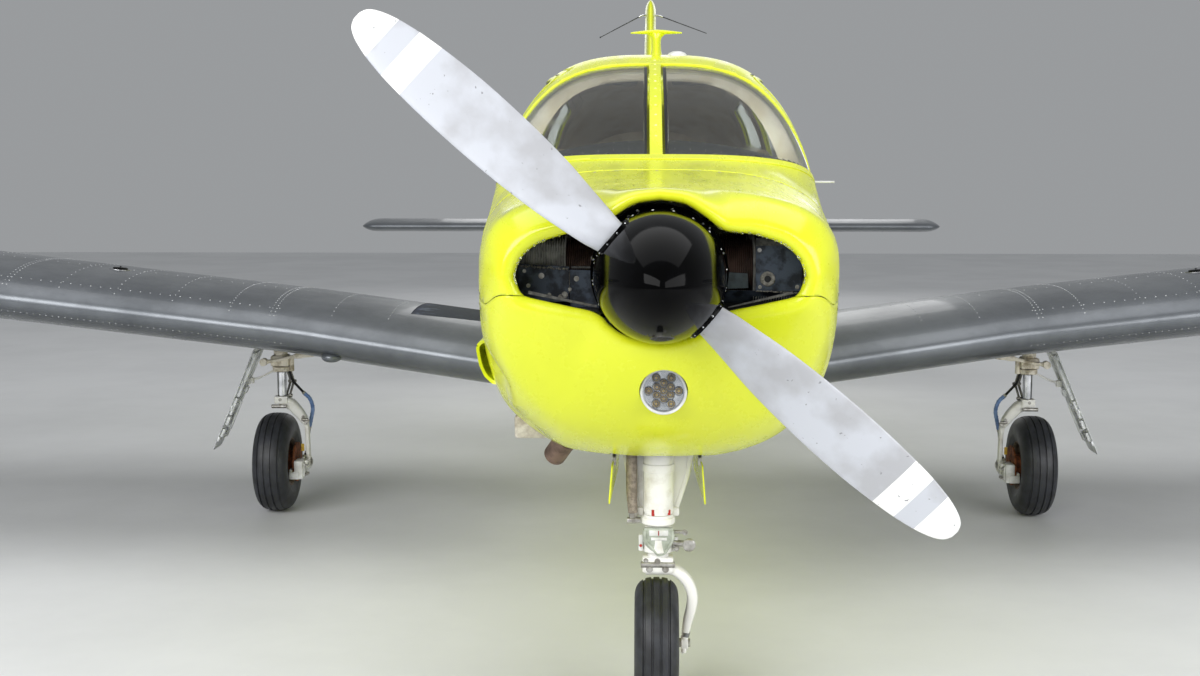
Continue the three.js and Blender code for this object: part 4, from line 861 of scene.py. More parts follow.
def makeLandingLight():
    s = lamp
    centre = at(s["x"], s["front"], s["z"])
    ring = spun([(s["glass"] - 1, 16), (s["glass"] - 1, 5), (s["glass"] + 1, 1.5),
                 (s["glass"] + 3, 0), (s["ring"] - 1.5, 0.4),
                 (s["ring"], 2.5), (s["ring"], 64), (30, 64), (0, 64)], centre, (0, 1, 0), 56)
    bowls = [spun([(0, 14), (4, 13.5), (s["cell"] - 1, 7), (s["cell"], 5.5), (s["cell"] + 0.7, 5.2)],
                  at(s["x"] + dx, s["front"], s["z"] + dz), (0, 1, 0), 18) for dx, dz in s["cells"]]
    dots = [spun([(0, 9.5), (2.6, 10), (3.2, 12.5)], at(s["x"] + dx, s["front"], s["z"] + dz), (0, 1, 0), 10)
            for dx, dz in s["cells"]]
    backing = spun([(0, 15), (s["glass"], 15)], centre, (0, 1, 0), 40)
    putPiece("landing_light_ring", ring, "lampRing", replaces=["landing_light"])
    putPiece("landing_light_cells", joined(bowls + [backing]), "chrome")
    putPiece("landing_light_dots", joined(dots), "amber")
    lens = spun([(0, 2.6), (s["glass"] - 1.2, 3.4), (s["glass"] - 1.2, 6), (0, 5.6)], centre, (0, 1, 0), 48)
    putPiece("landing_light_lens", lens, "lens")


makeLandingLight()


# Spinner: polished shell, back plate and the screws round its rim

def spinnerRadius(u):
    return propeller["radius"] * (1 - u ** 1.9) ** 0.6


def makeSpinner():
    s = propeller
    length = s["rear"] - s["tip"]
    profile = [(spinnerRadius(cos(k / 40 * pi / 2)), length * (1 - cos(k / 40 * pi / 2))) for k in range(41)]
    profile[0] = (0, 0)
    profile += [(s["radius"] - 1, length + 1.5), (s["radius"] - 6, length + 2), (30, length + 2), (0, length + 2)]
    shell = spun(profile, at(0, s["tip"], s["z"]), (0, 1, 0), 96)
    putPiece("spinner_shell", shell, "spinner", "propeller", ["spinner"], sharp=50)
    plate = spun([(0, 0.4), (s["radius"] + 0.3, 0.4), (s["radius"] + 0.3, 6), (120, 8), (70, 30),
                  (40, 36), (34, 138), (0, 138)],
                 at(0, 60, s["z"]), (0, 1, 0), 72)
    putPiece("spinner_back", plate, "spinner", "propeller", ["spinner_plate"])
    heads = []
    for k in range(s["screws"]):
        a = 2 * pi * (k + 0.35) / s["screws"]
        off = abs((degreesApart(a, radians(s["angle"])) + 90) % 180 - 90)
        if off < 17:
            continue
        heads.append((at(s["radius"] * cos(a), 49,
                         s["z"] + s["radius"] * sin(a)) - Vector((cos(a), 0, sin(a))) * 0.0007,
                      (cos(a), -0.12, sin(a))))
    putPiece("spinner_screws", domes(heads, 4.2, 2.2, 10), "chrome", "propeller")


def degreesApart(a, b):
    return (a - b) * 180 / pi


makeSpinner()


# Blades: smooth lofts with a sharper leading edge, twisted along their length. Each row holds a radius,
# then the width, the thickness, the pitch in degrees and how far the section lies ahead
bladeTable = [
    [60, 84, 84, 0, 0], [118, 84, 74, 6, 1], [150, 95, 60, 34, 4], [190, 120, 45, 39, 6],
    [240, 138, 34, 38, 6], [340, 158, 25, 31, 4],
    [480, 169, 20, 25, 2], [640, 165, 15, 20, 0], [780, 144, 11, 17, 0], [850, 121, 9, 15.5, 0],
    [890, 98, 7.5, 14.6, 0], [915, 74, 6, 14, 0], [928, 50, 5, 14, 0], [934, 22, 3.5, 14, 0],
]


# The blade's four values at a radius, on a smooth line through the table's rows
def bladeAt(radius):
    rows = bladeTable
    i = max(min(next((k for k, row in enumerate(rows) if row[0] >= radius), len(rows) - 1), len(rows) - 1), 1)
    a, b = rows[i - 1], rows[i]
    t = (radius - a[0]) / (b[0] - a[0])
    before, after = rows[max(i - 2, 0)], rows[min(i + 1, len(rows) - 1)]
    out = []
    for k in (1, 2, 3, 4):
        m0 = (b[k] - before[k]) / (b[0] - before[0]) * (b[0] - a[0])
        m1 = (after[k] - a[k]) / (after[0] - a[0]) * (b[0] - a[0])
        out.append((2 * t ** 3 - 3 * t * t + 1) * a[k] + (t ** 3 - 2 * t * t + t) * m0
                   + (3 * t * t - 2 * t ** 3) * b[k] + (t ** 3 - t * t) * m1)
    return out


def makeBlade():
    radii = [60 + 16 * k for k in range(50)] + [852, 864, 876, 886, 896, 905, 912, 918, 923, 927, 930, 932.5, 934]
    rows = []
    for radius in radii:
        width, thickness, pitch, shift = bladeAt(radius)
        p = radians(pitch)
        roundness = smooth((radius - 110) / 140)
        row = []
        for k in range(40):
            angle = 2 * pi * k / 40
            wide = width / 2 * cos(angle) + shift
            section = sin(angle) * (1 + 0.35 * roundness * cos(angle)) * mixed(1,
                    0.86 if sin(angle) > 0 else 1.0, roundness)
            thick = thickness / 2 * section
            row.append(Vector((radius, -wide * sin(p) + thick * cos(p), wide * cos(p) + thick * sin(p))) / 1000)
        rows.append(row)
    return loft(rows)


def makePropeller():
    blades = []
    for half in (0, pi):
        bm = makeBlade()
        turn = Matrix.Rotation(-radians(propeller["angle"]) + half, 4, "Y")
        place = Matrix.Translation(at(0, 0, propeller["z"])) @ turn
        bmesh.ops.transform(bm, matrix=place, verts=bm.verts)
        bmesh.ops.recalc_face_normals(bm, faces=bm.faces)
        blades.append(bm)
    hub = spun([(0, -90), (40, -90), (62, -60), (62, 55), (0, 55)], at(0, 0, propeller["z"]), (0, 1, 0), 40)
    putPiece("propeller_blades", joined(blades), "blade", "propeller", ["propeller"], sharp=60)
    putPiece("propeller_hub", hub, "alloy", "propeller")


makePropeller()
print("cowl, spinner and propeller made")


# Cabin: one skin with its windscreen, windows and doors cut out, lined inside

cabin = {
    "front": 1056, "rear": 4250, "wall": 23, "floor": 725, "board": 18,
    "windscreen": [(1180, 1566), (1350, 1523), (1765, 1428), (1815, 1436), (2300, 1980), (1180, 1980)],
    "post": 21,
    "frontWindow": [(1885, 1462), (2640, 1462), (2622, 1792), (2235, 1792)],
    "middleWindow": [(2728, 1462), (3330, 1474), (3268, 1784), (2712, 1792)],
    "rearWindow": [(3412, 1492), (3790, 1528), (3640, 1722), (3370, 1768)],
    "door": [(1832, 960), (2690, 960), (2668, 1838), (2262, 1838), (1832, 1420)],
    "doorPanel": [(1832, 960), (2690, 960), (2652, 1836), (2262, 1836), (1832, 1418)],
    "luggage": [(3440, 960), (3960, 985), (3960, 1400), (3440, 1400)],
    "luggagePanel": [(3445, 960), (3955, 985), (3955, 1400), (3445, 1400)],
    "corner": 55,
}


def onLeft(face):
    return face.calc_center_median().x > 0.1


def onRight(face):
    return face.calc_center_median().x < -0.1


def anywhere(face):
    return True


def windowsOf(side):
    # each window's name and outline, the stretch of skin that it is cut from and the body that carries it
    spans = (("front", 1860, 2670), ("middle", 2690, 3350), ("rear", 3350, 3810))
    return [(place, cabin[place + "Window"], start, end,
             "cabin_door" if (side, place) == ("right", "front") else "airframe") for place, start, end in spans]


def keepOnly(bm, faces):
    kept = set(faces)
    bmesh.ops.delete(bm, geom=[f for f in bm.faces if f not in kept], context="FACES")
    return bm


def patch(outline, start, end, inset, chosen, spacing=25):
    # a piece of the skin inside an outline seen from the side
    bm = skinSheet(start, end, inset, spacing)
    return keepOnly(bm, facesInside(bm, outline, "side", chosen))


def makeCabinShell():
    s = cabin
    bm = skinSheet(s["front"], s["rear"], 0, 26)
    for outline, chosen in (
            (roundedOutline(s["windscreen"], 12), anywhere),
            (roundedOutline(s["door"], 60), onRight),
            (roundedOutline(s["luggage"], 50), onRight),
            (roundedOutline(s["frontWindow"], s["corner"]), onLeft),
            (roundedOutline(s["middleWindow"], s["corner"]), anywhere),
            (roundedOutline(s["rearWindow"], s["corner"]), anywhere)):
        bmesh.ops.delete(bm, geom=facesInside(bm, outline, "side", chosen), context="FACES")
    shell = putPiece("cabin_skin", bm, ["yellow", "headliner"],
                     replaces=["cabin_shell"], sharp=50)
    addWall(shell, s["wall"], inner=1)
    # floor and rear bulkhead
    rows = []
    for k in range(40):
        station = mixed(s["front"] + 4, s["rear"] - 22, k / 39)
        w = skinHalfWidth(station, s["floor"] + 2, s["wall"] + 1)
        foot = s["floor"] - s["board"]
        rows.append([at(x, station, z) for x, z in ((-w, s["floor"]), (w, s["floor"]), (w, foot), (-w, foot))])
    putPiece("cabin_floor", loft(rows), "carpet")
    angles = evenAngles(2350, 96)
    rows = [[at(*skinPoint(station, a, s["wall"] + 1)) for a in angles]
            for station in (s["rear"] - 18, s["rear"] - 4)]
    putPiece("rear_bulkhead", loft(rows), "headliner", sharp=30)


def makePost():
    s = cabin
    bm = patch(roundedOutline(s["windscreen"], 4, 0.4), 1330, 2200, -1.5,
               lambda f: abs(f.calc_center_median().x) < 0.08, 20)
    for way in (-1, 1):
        bmesh.ops.bisect_plane(bm, geom=bm.verts[:] + bm.edges[:] + bm.faces[:], dist=1e-7,
                               plane_co=(way * s["post"] / 1000, 0, 0), plane_no=(way, 0, 0), clear_outer=True)
    post = putPiece("windscreen_post_cover", bm, "yellow", replaces=["windscreen_post"])
    addWall(post, 18)
    addBevel(post, 2.5, 3)


def makeGlass():
    s = cabin
    screen = roundedOutline(s["windscreen"], 12, 0.5)
    for side, way, chosen in (("left", 1, onLeft), ("right", -1, onRight)):
        bm = patch(screen, 1330, 2200, 5, anywhere, 20)
        bmesh.ops.bisect_plane(bm, geom=bm.verts[:] + bm.edges[:] + bm.faces[:], dist=1e-7,
                               plane_co=(way * (s["post"] + 0.5) / 1000, 0, 0),
                               plane_no=(way, 0, 0), clear_inner=True)
        pane = putPiece(side + "_windscreen_sheet", bm, "acrylic", replaces=[side + "_windscreen"])
        addWall(pane, 5)
        for place, outline, start, end, body in windowsOf(side):
            bm = patch(roundedOutline(outline, s["corner"], 0.5), start, end, 7, chosen)
            node = "door_window" if body == "cabin_door" else "%s_%s_window" % (side, place)
            pane = putPiece(node + "_sheet", bm, "acrylic", body, [node])
            addWall(pane, 5)


# A place on the fuselage's skin, moved outwards by some mm, with its outward direction
def onSkin(station, angle, out=0.0):
    a, b, c = skinPoint(station, angle), skinPoint(station + 4, angle), skinPoint(station, angle + 0.004)
    n = (c - a).cross(b - a).normalized()
    if n.dot(a - Vector((0, station, 1200))) < 0:
        n = -n
    place = a + n * out
    return at(*place), n


# The band of skin between two outlines, for seals, frames and trim
def bandAlong(start, end, inset, chosen, outer, inner):
    bm = skinSheet(start, end, inset, 22)
    ring = facesInside(bm, outer, "side", chosen)
    keepOnly(bm, ring)
    bmesh.ops.delete(bm, geom=facesInside(bm, inner, "side", chosen), context="FACES")
    return bm


def makeSeals():
    # a painted frame outside each window, and the rubber in its reveal
    corner = cabin["corner"]
    for side, chosen in (("left", onLeft), ("right", onRight)):
        for place, outline, start, end, body in windowsOf(side):
            name = "%s_%s_window" % (side, place)
            bm = bandAlong(start, end, -0.6, chosen, roundedOutline(outline, corner + 12, -13, 8),
                           roundedOutline(outline, corner, 1.5, 8))
            frame = putPiece(name + "_frame", bm, "yellow", body)
            addWall(frame, 1.6, 1)
            bm = bandAlong(start, end, 3, chosen, roundedOutline(outline, corner, -0.2, 8),
                           roundedOutline(outline, corner - 6, 7, 8))
            seal = putPiece(name + "_seal", bm, "blackRubber", body)
            addWall(seal, 3.5)


def makeDoors():
    s = cabin
    for name, outline, radius, start, end in (
            ("cabin_door", s["doorPanel"], 60, 1820, 2700), ("luggage_door", s["luggagePanel"], 50, 3430, 3970)):
        bm = patch(roundedOutline(outline, radius, 6), start, end, 0, onRight)
        if name == "cabin_door":
            hole = roundedOutline(s["frontWindow"], s["corner"])
            bmesh.ops.delete(bm, geom=facesInside(bm, hole, "side", onRight), context="FACES")
        panel = putPiece(name + "_panel", bm, ["yellow", "headliner"], name, [name], sharp=50)
        addWall(panel, 21, inner=1)
        addBevel(panel, 1.5, 2)


def makeDoorHardware():
    # pull handle, latch plate, hinge knuckles, luggage lock
    doorX = skinHalfWidth(2620, 1300)
    handle = [at(-doorX - out, station, 1300)
              for out, station in ((1, 2560), (12, 2575), (13, 2610), (12, 2645), (1, 2655))]
    parts = [tube(handle, [5, 6, 6, 6, 5], 12, 5, 1.5),
             spun([(0, -2), (15, -2), (17, 0), (17, 1)], at(-doorX - 1, 2560, 1300), (1, 0, 0), 28)]
    putPiece("cabin_door_handle", joined(parts), "chrome", "cabin_door")
    hingeX = -(skinHalfWidth(1832, 1190) - 3)
    for name, body, thirds in (("airframe_hinge_knuckles", "airframe", (0, 2)),
                               ("cabin_door_hinge_knuckles", "cabin_door", (1,))):
        bits = []
        for low, high in ((1030, 1120), (1270, 1360)):
            for third in thirds:
                a, b = low + (high - low) * third / 3 + 0.6, low + (high - low) * (third + 1) / 3 - 0.6
                bits.append(rod(at(hingeX, 1832, a), at(hingeX, 1832, b), 9.4, 20, bevel=1.5))
        putPiece(name, joined(bits), "yellow", body)
    a = [-skinHalfWidth(3500, 1400) + 1, 3500, 1400]
    b = [-skinHalfWidth(3900, 1400) + 1, 3900, 1400]
    on = lambda t: at(*[mixed(p, q, t) for p, q in zip(a, b)])
    for name, body, thirds in (("luggage_frame_knuckles", "airframe", (0, 2)),
                               ("luggage_door_knuckles", "luggage_door", (1,))):
        bits = []
        for low, high in ((0, 0.22), (0.78, 1)):
            for third in thirds:
                bits.append(rod(on(low + (high - low) * third / 3 + 0.002),
                                on(low + (high - low) * (third + 1) / 3 - 0.002), 9.4, 20, bevel=1.5))
        putPiece(name, joined(bits), "yellow", body)
    lockX = skinHalfWidth(3700, 1020)
    lock = spun([(0, -3), (4, -3), (4, -1.6), (12, -2.6), (14, -1.5), (14, 2)],
                at(-lockX, 3700, 1020), (1, 0, 0), 28)
    putPiece("luggage_door_lock", lock, "chrome", "luggage_door")


makeCabinShell()
makePost()
makeGlass()
makeSeals()
makeDoors()
makeDoorHardware()


# Tail cone
def makeTailCone():
    bm = skinSheet(4250.5, 6758, 0, 32)
    hole = circleOutline(6500, 1044, 27.5, 28)
    for chosen in (lambda f: f.calc_center_median().x > 0.03, lambda f: f.calc_center_median().x < -0.03):
        bmesh.ops.delete(bm, geom=facesInside(bm, hole, "side", chosen), context="FACES")
    rear = [v for v in bm.verts if v.co.y > (6757.5 - middleStation) / 1000]
    bmesh.ops.contextual_create(bm, geom=rear)
    cone = putPiece("tail_cone_skin", bm, "yellow", replaces=["tail_cone"], sharp=45)
    addWall(cone, 5)


makeTailCone()
print("cabin and tail cone made")


# Wings: smooth lofts with a cove for the flap and the aileron, and the wheel wells below

wingColumns = ["x", "leading", "chord", "thickness", "drop"]
wingTable = [(400, 1910, 1850, 0.128, 0), (1380, 2160, 1600, 0.15, 0), (4700, 2160, 1600, 0.15, 0),
             (4800, 2185, 1555, 0.13, 5), (4868, 2240, 1460, 0.085, 14), (4900, 2330, 1300, 0.03, 22)]
wing = {"leading": 2160, "chord": 1600, "tip": 4700, "span": 200, "dihedral": 6.6, "incidence": 2.0, "camber": 0.01,
        "gloveEnd": 1380, "noseHeight": 853,
        "hinge": 3475, "nose": 42.5, "cove": 54, "flap": (625, 2692), "aileron": (2708, 4600),
        "upperLip": 3453, "lowerLip": 3445, "tipStart": 4606, "axle": 2950}
wingSlope = tan(radians(wing["dihedral"]))


def halfThickness(a, thickness):
    a = min(max(a, 0), 1)
    return 5 * thickness * (0.2969 * a ** 0.5 - 0.126 * a - 0.3516 * a ** 2 + 0.2843 * a ** 3 - 0.1036 * a ** 4)


# The section at a distance from the middle: its leading edge, chord, thickness as a share and drop
def wingRow(x):
    rows = wingTable
    i = max(min(next((k for k, row in enumerate(rows) if row[0] >= x), len(rows) - 1), len(rows) - 1), 1)
    a, b = rows[i - 1], rows[i]
    t = (x - a[0]) / (b[0] - a[0])
    if x <= wing["tip"]:
        return {name: mixed(a[k], b[k], t) for k, name in enumerate(wingColumns)}
    # the tip closes along a rounded edge
    u = (x - wing["tip"]) / wing["span"]
    bend = 1 - (1 - u ** 2.4) ** 0.5
    thickness = 0.15 * max(1 - u ** 2.2, 0.0) ** 0.55 + 0.006
    return {"x": x, "leading": wing["leading"] + 172 * bend, "chord": wing["chord"] - 304 * bend,
            "thickness": thickness, "drop": 20 * bend}


def noseHeight(x):
    return wing["noseHeight"] + (x - wing["gloveEnd"]) * wingSlope


def wingPoint(x, fraction, side, out=0):
    # a place on the wing's skin: side 1 is the top and -1 the bottom
    r = wingRow(x)
    a = fraction
    h = 4 * wing["camber"] * a * (1 - a) + side * halfThickness(a, r["thickness"])
    turn = radians(-wing["incidence"])
    px, pz = a * r["chord"], h * r["chord"] + out
    return Vector((x, r["leading"] + px * cos(turn) - pz * sin(turn),
                   noseHeight(x) + r["drop"] + px * sin(turn) + pz * cos(turn)))


def fractionAt(x, station):
    r = wingRow(x)
    return (station - r["leading"]) / r["chord"]


def hingeAt(x):
    back = wing["hinge"] - wing["leading"]
    fraction = back / wing["chord"]
    rise = 4 * wing["camber"] * fraction * (1 - fraction) * wing["chord"]
    return Vector((x, wing["hinge"], noseHeight(x) + rise - back * sin(radians(wing["incidence"]))))


def chordSteps(end, count):
    return [end * (1 - cos(pi / 2 * k / count)) for k in range(count + 1)]


# One section of the wing ahead of its flap or aileron, closed by the round cove behind
def mainWingRing(x):
    top, low = fractionAt(x, wing["upperLip"]), fractionAt(x, wing["lowerLip"])
    ring = [wingPoint(x, a, 1) for a in reversed(chordSteps(top, 30))]
    ring += [wingPoint(x, a, -1) for a in chordSteps(low, 30)[1:]]
    centre = hingeAt(x)
    first, last = ring[-1], ring[0]
    a0 = atan2(first.z - centre.z, first.y - centre.y)
    a1 = atan2(last.z - centre.z, last.y - centre.y)
    if a0 < 0:
        a0 += 2 * pi
    if a1 < 0:
        a1 += 2 * pi
    r0, r1 = (first - centre).length, (last - centre).length
    for k in range(1, 12):
        a = mixed(a0, a1, k / 12)
        r = mixed(r0, r1, k / 12) if k in (1, 11) else wing["cove"]
        ring.append(Vector((x, centre.y + r * cos(a), centre.z + r * sin(a))))
    return ring


def tipRing(x):
    ring = [wingPoint(x, a, 1) for a in reversed(chordSteps(0.55, 18))]
    ring = [wingPoint(x, mixed(1, 0.55, k / 14), 1) for k in range(14)] + ring
    ring += [wingPoint(x, a, -1) for a in chordSteps(0.55, 18)[1:]]
    return ring + [wingPoint(x, mixed(0.55, 1, k / 14), -1) for k in range(1, 14)]


def movingRing(x, upperStart, lowerStart):
    # a flap or aileron section: round nose about the hinge line, then the wing's own rear surfaces
    centre = hingeAt(x)
    top, low = fractionAt(x, upperStart), fractionAt(x, lowerStart)
    ring = [wingPoint(x, mixed(1, top, (k / 16) ** 0.9), 1) for k in range(17)]
    nose = []
    for k in range(13):
        a = radians(mixed(86, 274, k / 12))
        nose.append(Vector((x, centre.y + wing["nose"] * cos(a), centre.z + wing["nose"] * sin(a))))
    ring += nose
    return ring + [wingPoint(x, mixed(low, 1, (k / 16) ** 1.1), -1) for k in range(16)]


def mirrorRows(rows, way):
    return rows if way > 0 else [[Vector((-p.x, p.y, p.z)) for p in row] for row in rows]


def placed(rows):
    return [[at(p.x, p.y, p.z) for p in row] for row in rows]


wellShape = {"x": 1030, "radius": 236, "legHalf": 58, "outer": 1638, "top": 817}


# The wheel's well and the leg's slot in the lower skin, with their walls and roof
def cutWell(bm, way):
    below = lambda f: f.normal.z < -0.3 and f.calc_center_median().z < 0.95
    s = wellShape
    circle = circleOutline(way * s["x"], wing["axle"], s["radius"], 48)
    leg = roundedOutline([(s["x"], wing["axle"] - s["legHalf"]), (s["outer"], wing["axle"] - s["legHalf"]),
                          (s["outer"], wing["axle"] + s["legHalf"]), (s["x"], wing["axle"] + s["legHalf"])], 12)
    if way < 0:
        leg = [(-x, y) for x, y in reversed(leg)]
    for outline in (leg, circle):
        bmesh.ops.delete(bm, geom=facesInside(bm, outline, "plan", below), context="FACES")
    rim = [e for e in bm.edges if e.is_boundary and 0.7 < abs((e.verts[0].co.x + e.verts[1].co.x) / 2) < 1.7]
    grown = bmesh.ops.extrude_edge_only(bm, edges=rim)["geom"]
    verts = [v for v in grown if isinstance(v, bmesh.types.BMVert)]
    top = [e for e in grown if isinstance(e, bmesh.types.BMEdge) and e.verts[0] in verts and e.verts[1] in verts]
    for v in verts:
        v.co.z = s["top"] / 1000
    for f in grown:
        if isinstance(f, bmesh.types.BMFace):
            f.material_index = 1
    made = bmesh.ops.edgeloop_fill(bm, edges=[e for e in top if e.is_boundary])
    for f in made["faces"]:
        f.material_index = 1


def makeWing(side, way):
    xs = [420] + [mixed(500, 1380, k / 11)
                  for k in range(12)] + [mixed(1380, wing["tipStart"], k / 34) for k in range(1, 35)]
    main = loft(placed(mirrorRows([mainWingRing(x) for x in xs], way)))
    cutWell(main, way)
    us = [0, 0.2, 0.35, 0.48, 0.6, 0.7, 0.79, 0.86, 0.915, 0.955, 0.98, 0.993, 0.999, 1.0]
    tip = loft(placed(mirrorRows([tipRing(mixed(wing["tipStart"] + 0.5, 4899.5, u)) for u in us], way)))
    bmesh.ops.recalc_face_normals(main, faces=main.faces)
    putPiece(side + "_wing_skin", joined([main, tip]), ["silver", "greenAlloy"],
             replaces=[side + "_wing"], sharp=40)
    for name in ("flap", "aileron"):
        xs = [mixed(*wing[name], k / 24) for k in range(25)]
        bm = loft(placed(mirrorRows([movingRing(x, 3474, 3476) for x in xs], way)))
        body = "%s_%s" % (side, name)
        putPiece(body + "_skin", bm, "silver", body, [body], sharp=40)


for side, way in (("left", 1), ("right", -1)):
    makeWing(side, way)
print("wings made")


# Fin and rudder: each row holds a height, then the leading and trailing edges' stations and the thickness

finRows = [(1150, 5560, 7085, 74), (1300, 5800, 7098, 92), (1480, 5960, 7115, 98), (2380, 6455, 7218, 66),
           (2440, 6510, 7230, 50), (2465, 6600, 7170, 16)]
rudderLine = {"foot": (6735, 1150), "head": (6902, 2500), "nose": 21.5}


def finRow(z):
    i = max(min(next((k for k, row in enumerate(finRows) if row[0] >= z), len(finRows) - 1), len(finRows) - 1), 1)
    a, b = finRows[i - 1], finRows[i]
    t = (z - a[0]) / (b[0] - a[0])
    if z > 2380:
        u = (z - 2380) / 85
        bend = 1 - (1 - min(u, 1) ** 2.2) ** 0.5
        lead, trail = 6455 + 145 * bend + 30 * u * (1 - u), 7218 - 48 * bend + 14 * u * (1 - u)
        return lead, trail, 66 * max(1 - u ** 2.4, 0) ** 0.5 + 1
    return mixed(a[1], b[1], t), mixed(a[2], b[2], t), mixed(a[3], b[3], t)


def rudderStation(z):
    (s0, z0), (s1, z1) = rudderLine["foot"], rudderLine["head"]
    return s0 + (z - z0) * (s1 - s0) / (z1 - z0)


def finSkin(z, station, side):
    lead, trail, thick = finRow(z)
    a = (station - lead) / (trail - lead)
    return Vector((side * halfThickness(a, 1) * thick, station, z))


def finRing(z):
    lead = finRow(z)[0]
    stop = rudderStation(z) - 24
    steps = chordSteps(1, 20)
    ring = [finSkin(z, mixed(lead, stop, a), 1) for a in reversed(steps)]
    ring += [finSkin(z, mixed(lead, stop, a), -1) for a in steps[1:]]
    h = ring[-1].x
    for k in range(1, 7):
        u = k / 7
        ring.append(Vector((mixed(h, -h, u), stop - 9 * sin(pi * u), z)))
    return ring


def rudderRing(z):
    lead, trail, thick = finRow(z)
    hinge = rudderStation(z)
    trail = max(trail, hinge + 30)
    ring = [finSkin(z, mixed(trail, hinge + 2, (k / 14) ** 0.9), 1) for k in range(15)]
    r = min(rudderLine["nose"], halfThickness((hinge - lead) / (trail - lead), 1) * thick - 1)
    for k in range(9):
        a = radians(mixed(0, 180, k / 8))
        ring.append(Vector((r * cos(a), hinge - r * sin(a), z)))
    return ring + [finSkin(z, mixed(hinge + 2, trail, (k / 14) ** 1.1), -1) for k in range(14)]


def makeFin():
    zs = [1160, 1230, 1300, 1390, 1480] + [mixed(1480, 2380, k / 12) for k in range(1, 13)]
    zs += [2395, 2410, 2422, 2434, 2444, 2452, 2458, 2462, 2464, 2464.8]
    rows = [finRing(z) for z in zs]
    putPiece("fin_skin", loft(placed(rows)), "yellow", replaces=["fin"], sharp=45)
    zs = [mixed(1232, 2380, k / 16) for k in range(17)] + [2400, 2416, 2428, 2436, 2441]
    rows = []
    for i, z in enumerate(zs):
        ring = rudderRing(z)
        if i == 0:
            # the foot rises towards the rear to clear the stabilator
            for p in ring:
                p.z = mixed(1226, 1290, min(max((p.y - 6700) / 400, 0), 1))
        if i == 1:
            for p in ring:
                p.z = max(p.z, mixed(1226, 1290, min(max((p.y - 6700) / 400, 0), 1)) + 6)
        rows.append(ring)
    putPiece("rudder_skin", loft(placed(rows)), "yellow", "rudder", ["rudder"], sharp=45)


stabilator = {"half": 1820, "z": 1044, "leading": 6300, "chord": 760, "pivot": 6500, "tube": 25.5, "tabHalf": 860,
              "tabChord": 120, "tabNose": 8.5}


def stabRow(x):
    s = stabilator
    u = max((abs(x) - 1730) / 90, 0)
    bend = 1 - (1 - min(u, 1) ** 2.2) ** 0.5
    return s["leading"] + 100 * bend, s["chord"] - 200 * bend, 0.1 * max(1 - u ** 2.2, 0) ** 0.5 + 0.002


def stabPoint(x, station, side):
    lead, chord, thick = stabRow(x)
    a = (station - lead) / chord
    return Vector((x, station, stabilator["z"] + side * halfThickness(a, thick) * chord))


def stabRing(x, end, shift=None):
    lead = stabRow(x)[0]
    steps = chordSteps(1, 22)
    top = [stabPoint(x, mixed(lead, end, a), 1) for a in reversed(steps)]
    low = [stabPoint(x, mixed(lead, end, a), -1) for a in steps[1:]]
    h = (top[0].z - low[-1].z) / 2
    back = [Vector((x, end - 7 * sin(pi * k / 6), stabilator["z"] + mixed(-h, h, k / 6))) for k in range(1, 6)]
    ring = top + low + back
    if shift:
        for p in ring:
            p.x = shift(p.y)
    return ring


def makeStabilator():
    s = stabilator
    tabLine = s["leading"] + s["chord"] - s["tabChord"]
    halves = []
    for way in (1, -1):
        root = lambda y: mixed(153, 118, min(max((y - 6500) / 440, 0), 1))
        xs = [mixed(190, s["tabHalf"] + 7, k / 8) for k in range(9)]
        rows = [stabRing(153, tabLine - 12, root)] + [stabRing(x, tabLine - 12) for x in xs]
        halves.append(loft(placed(mirrorRows(rows, way))))
        xs = [mixed(s["tabHalf"] + 7.2, 1730, k / 10) for k in range(11)]
        xs += [1745, 1760, 1774, 1786, 1796, 1804, 1811, 1816, 1819, 1819.8]
        rows = []
        for x in xs:
            lead, chord = stabRow(x)[:2]
            rows.append(stabRing(x, lead + chord - 0.5))
        halves.append(loft(placed(mirrorRows(rows, way))))
    halves.append(rod(at(-300, s["pivot"], s["z"]), at(300, s["pivot"], s["z"]), s["tube"], 32))
    putPiece("stabilator_skin", joined(halves), "silver", "stabilator", ["stabilator"], sharp=40)
    rows = []
    for x in [mixed(-s["tabHalf"], s["tabHalf"], k / 30) for k in range(31)]:
        ring = [stabPoint(x, mixed(7059, tabLine + 1, k / 8), 1) for k in range(9)]
        for k in range(1, 8):
            a = radians(90 + 180 * k / 8)
            ring.append(Vector((x, tabLine + s["tabNose"] * cos(a), s["z"] + s["tabNose"] * sin(a))))
        ring += [stabPoint(x, mixed(tabLine + 1, 7059, k / 8), -1) for k in range(9)]
        rows.append(ring)
    putPiece("stabilator_tab_skin", loft(placed(rows)), "silver", "stabilator_tab",
             ["stabilator_tab"], sharp=40)


makeFin()
makeStabilator()
print("tail made")


# Landing gear: forged legs and forks, ribbed tyres, wheels, brakes, hoses and doors

def forging(points, widths, depths, station, steps=5, power=4, sides=20):
    # an arm whose centre line lies across the aircraft: widths across it, depths fore and aft
    line = curvePoints([Vector(p) for p in points], steps)
    sizes = curvePoints([Vector(pair) for pair in zip(widths, depths)], steps)
    rows = []
    for i, (p, size) in enumerate(zip(line, sizes)):
        d = (line[min(i + 1, len(line) - 1)] - line[max(i - 1, 0)]).normalized()
        row = []
        for k in range(sides):
            c, s = cos(2 * pi * k / sides), sin(2 * pi * k / sides)
            u = abs(c) ** (2 / power) * (1 if c > 0 else -1) * size.x / 2
            v = abs(s) ** (2 / power) * (1 if s > 0 else -1) * size.y / 2
            row.append(at(p.x - d.y * u, station + v, p.y + d.x * u))
        rows.append(row)
    return loft(rows)


def block(xs, stations, zs, bevel=2.0):
    return box(at(xs[0], stations[0], zs[0]), at(xs[1], stations[1], zs[1]), bevel)


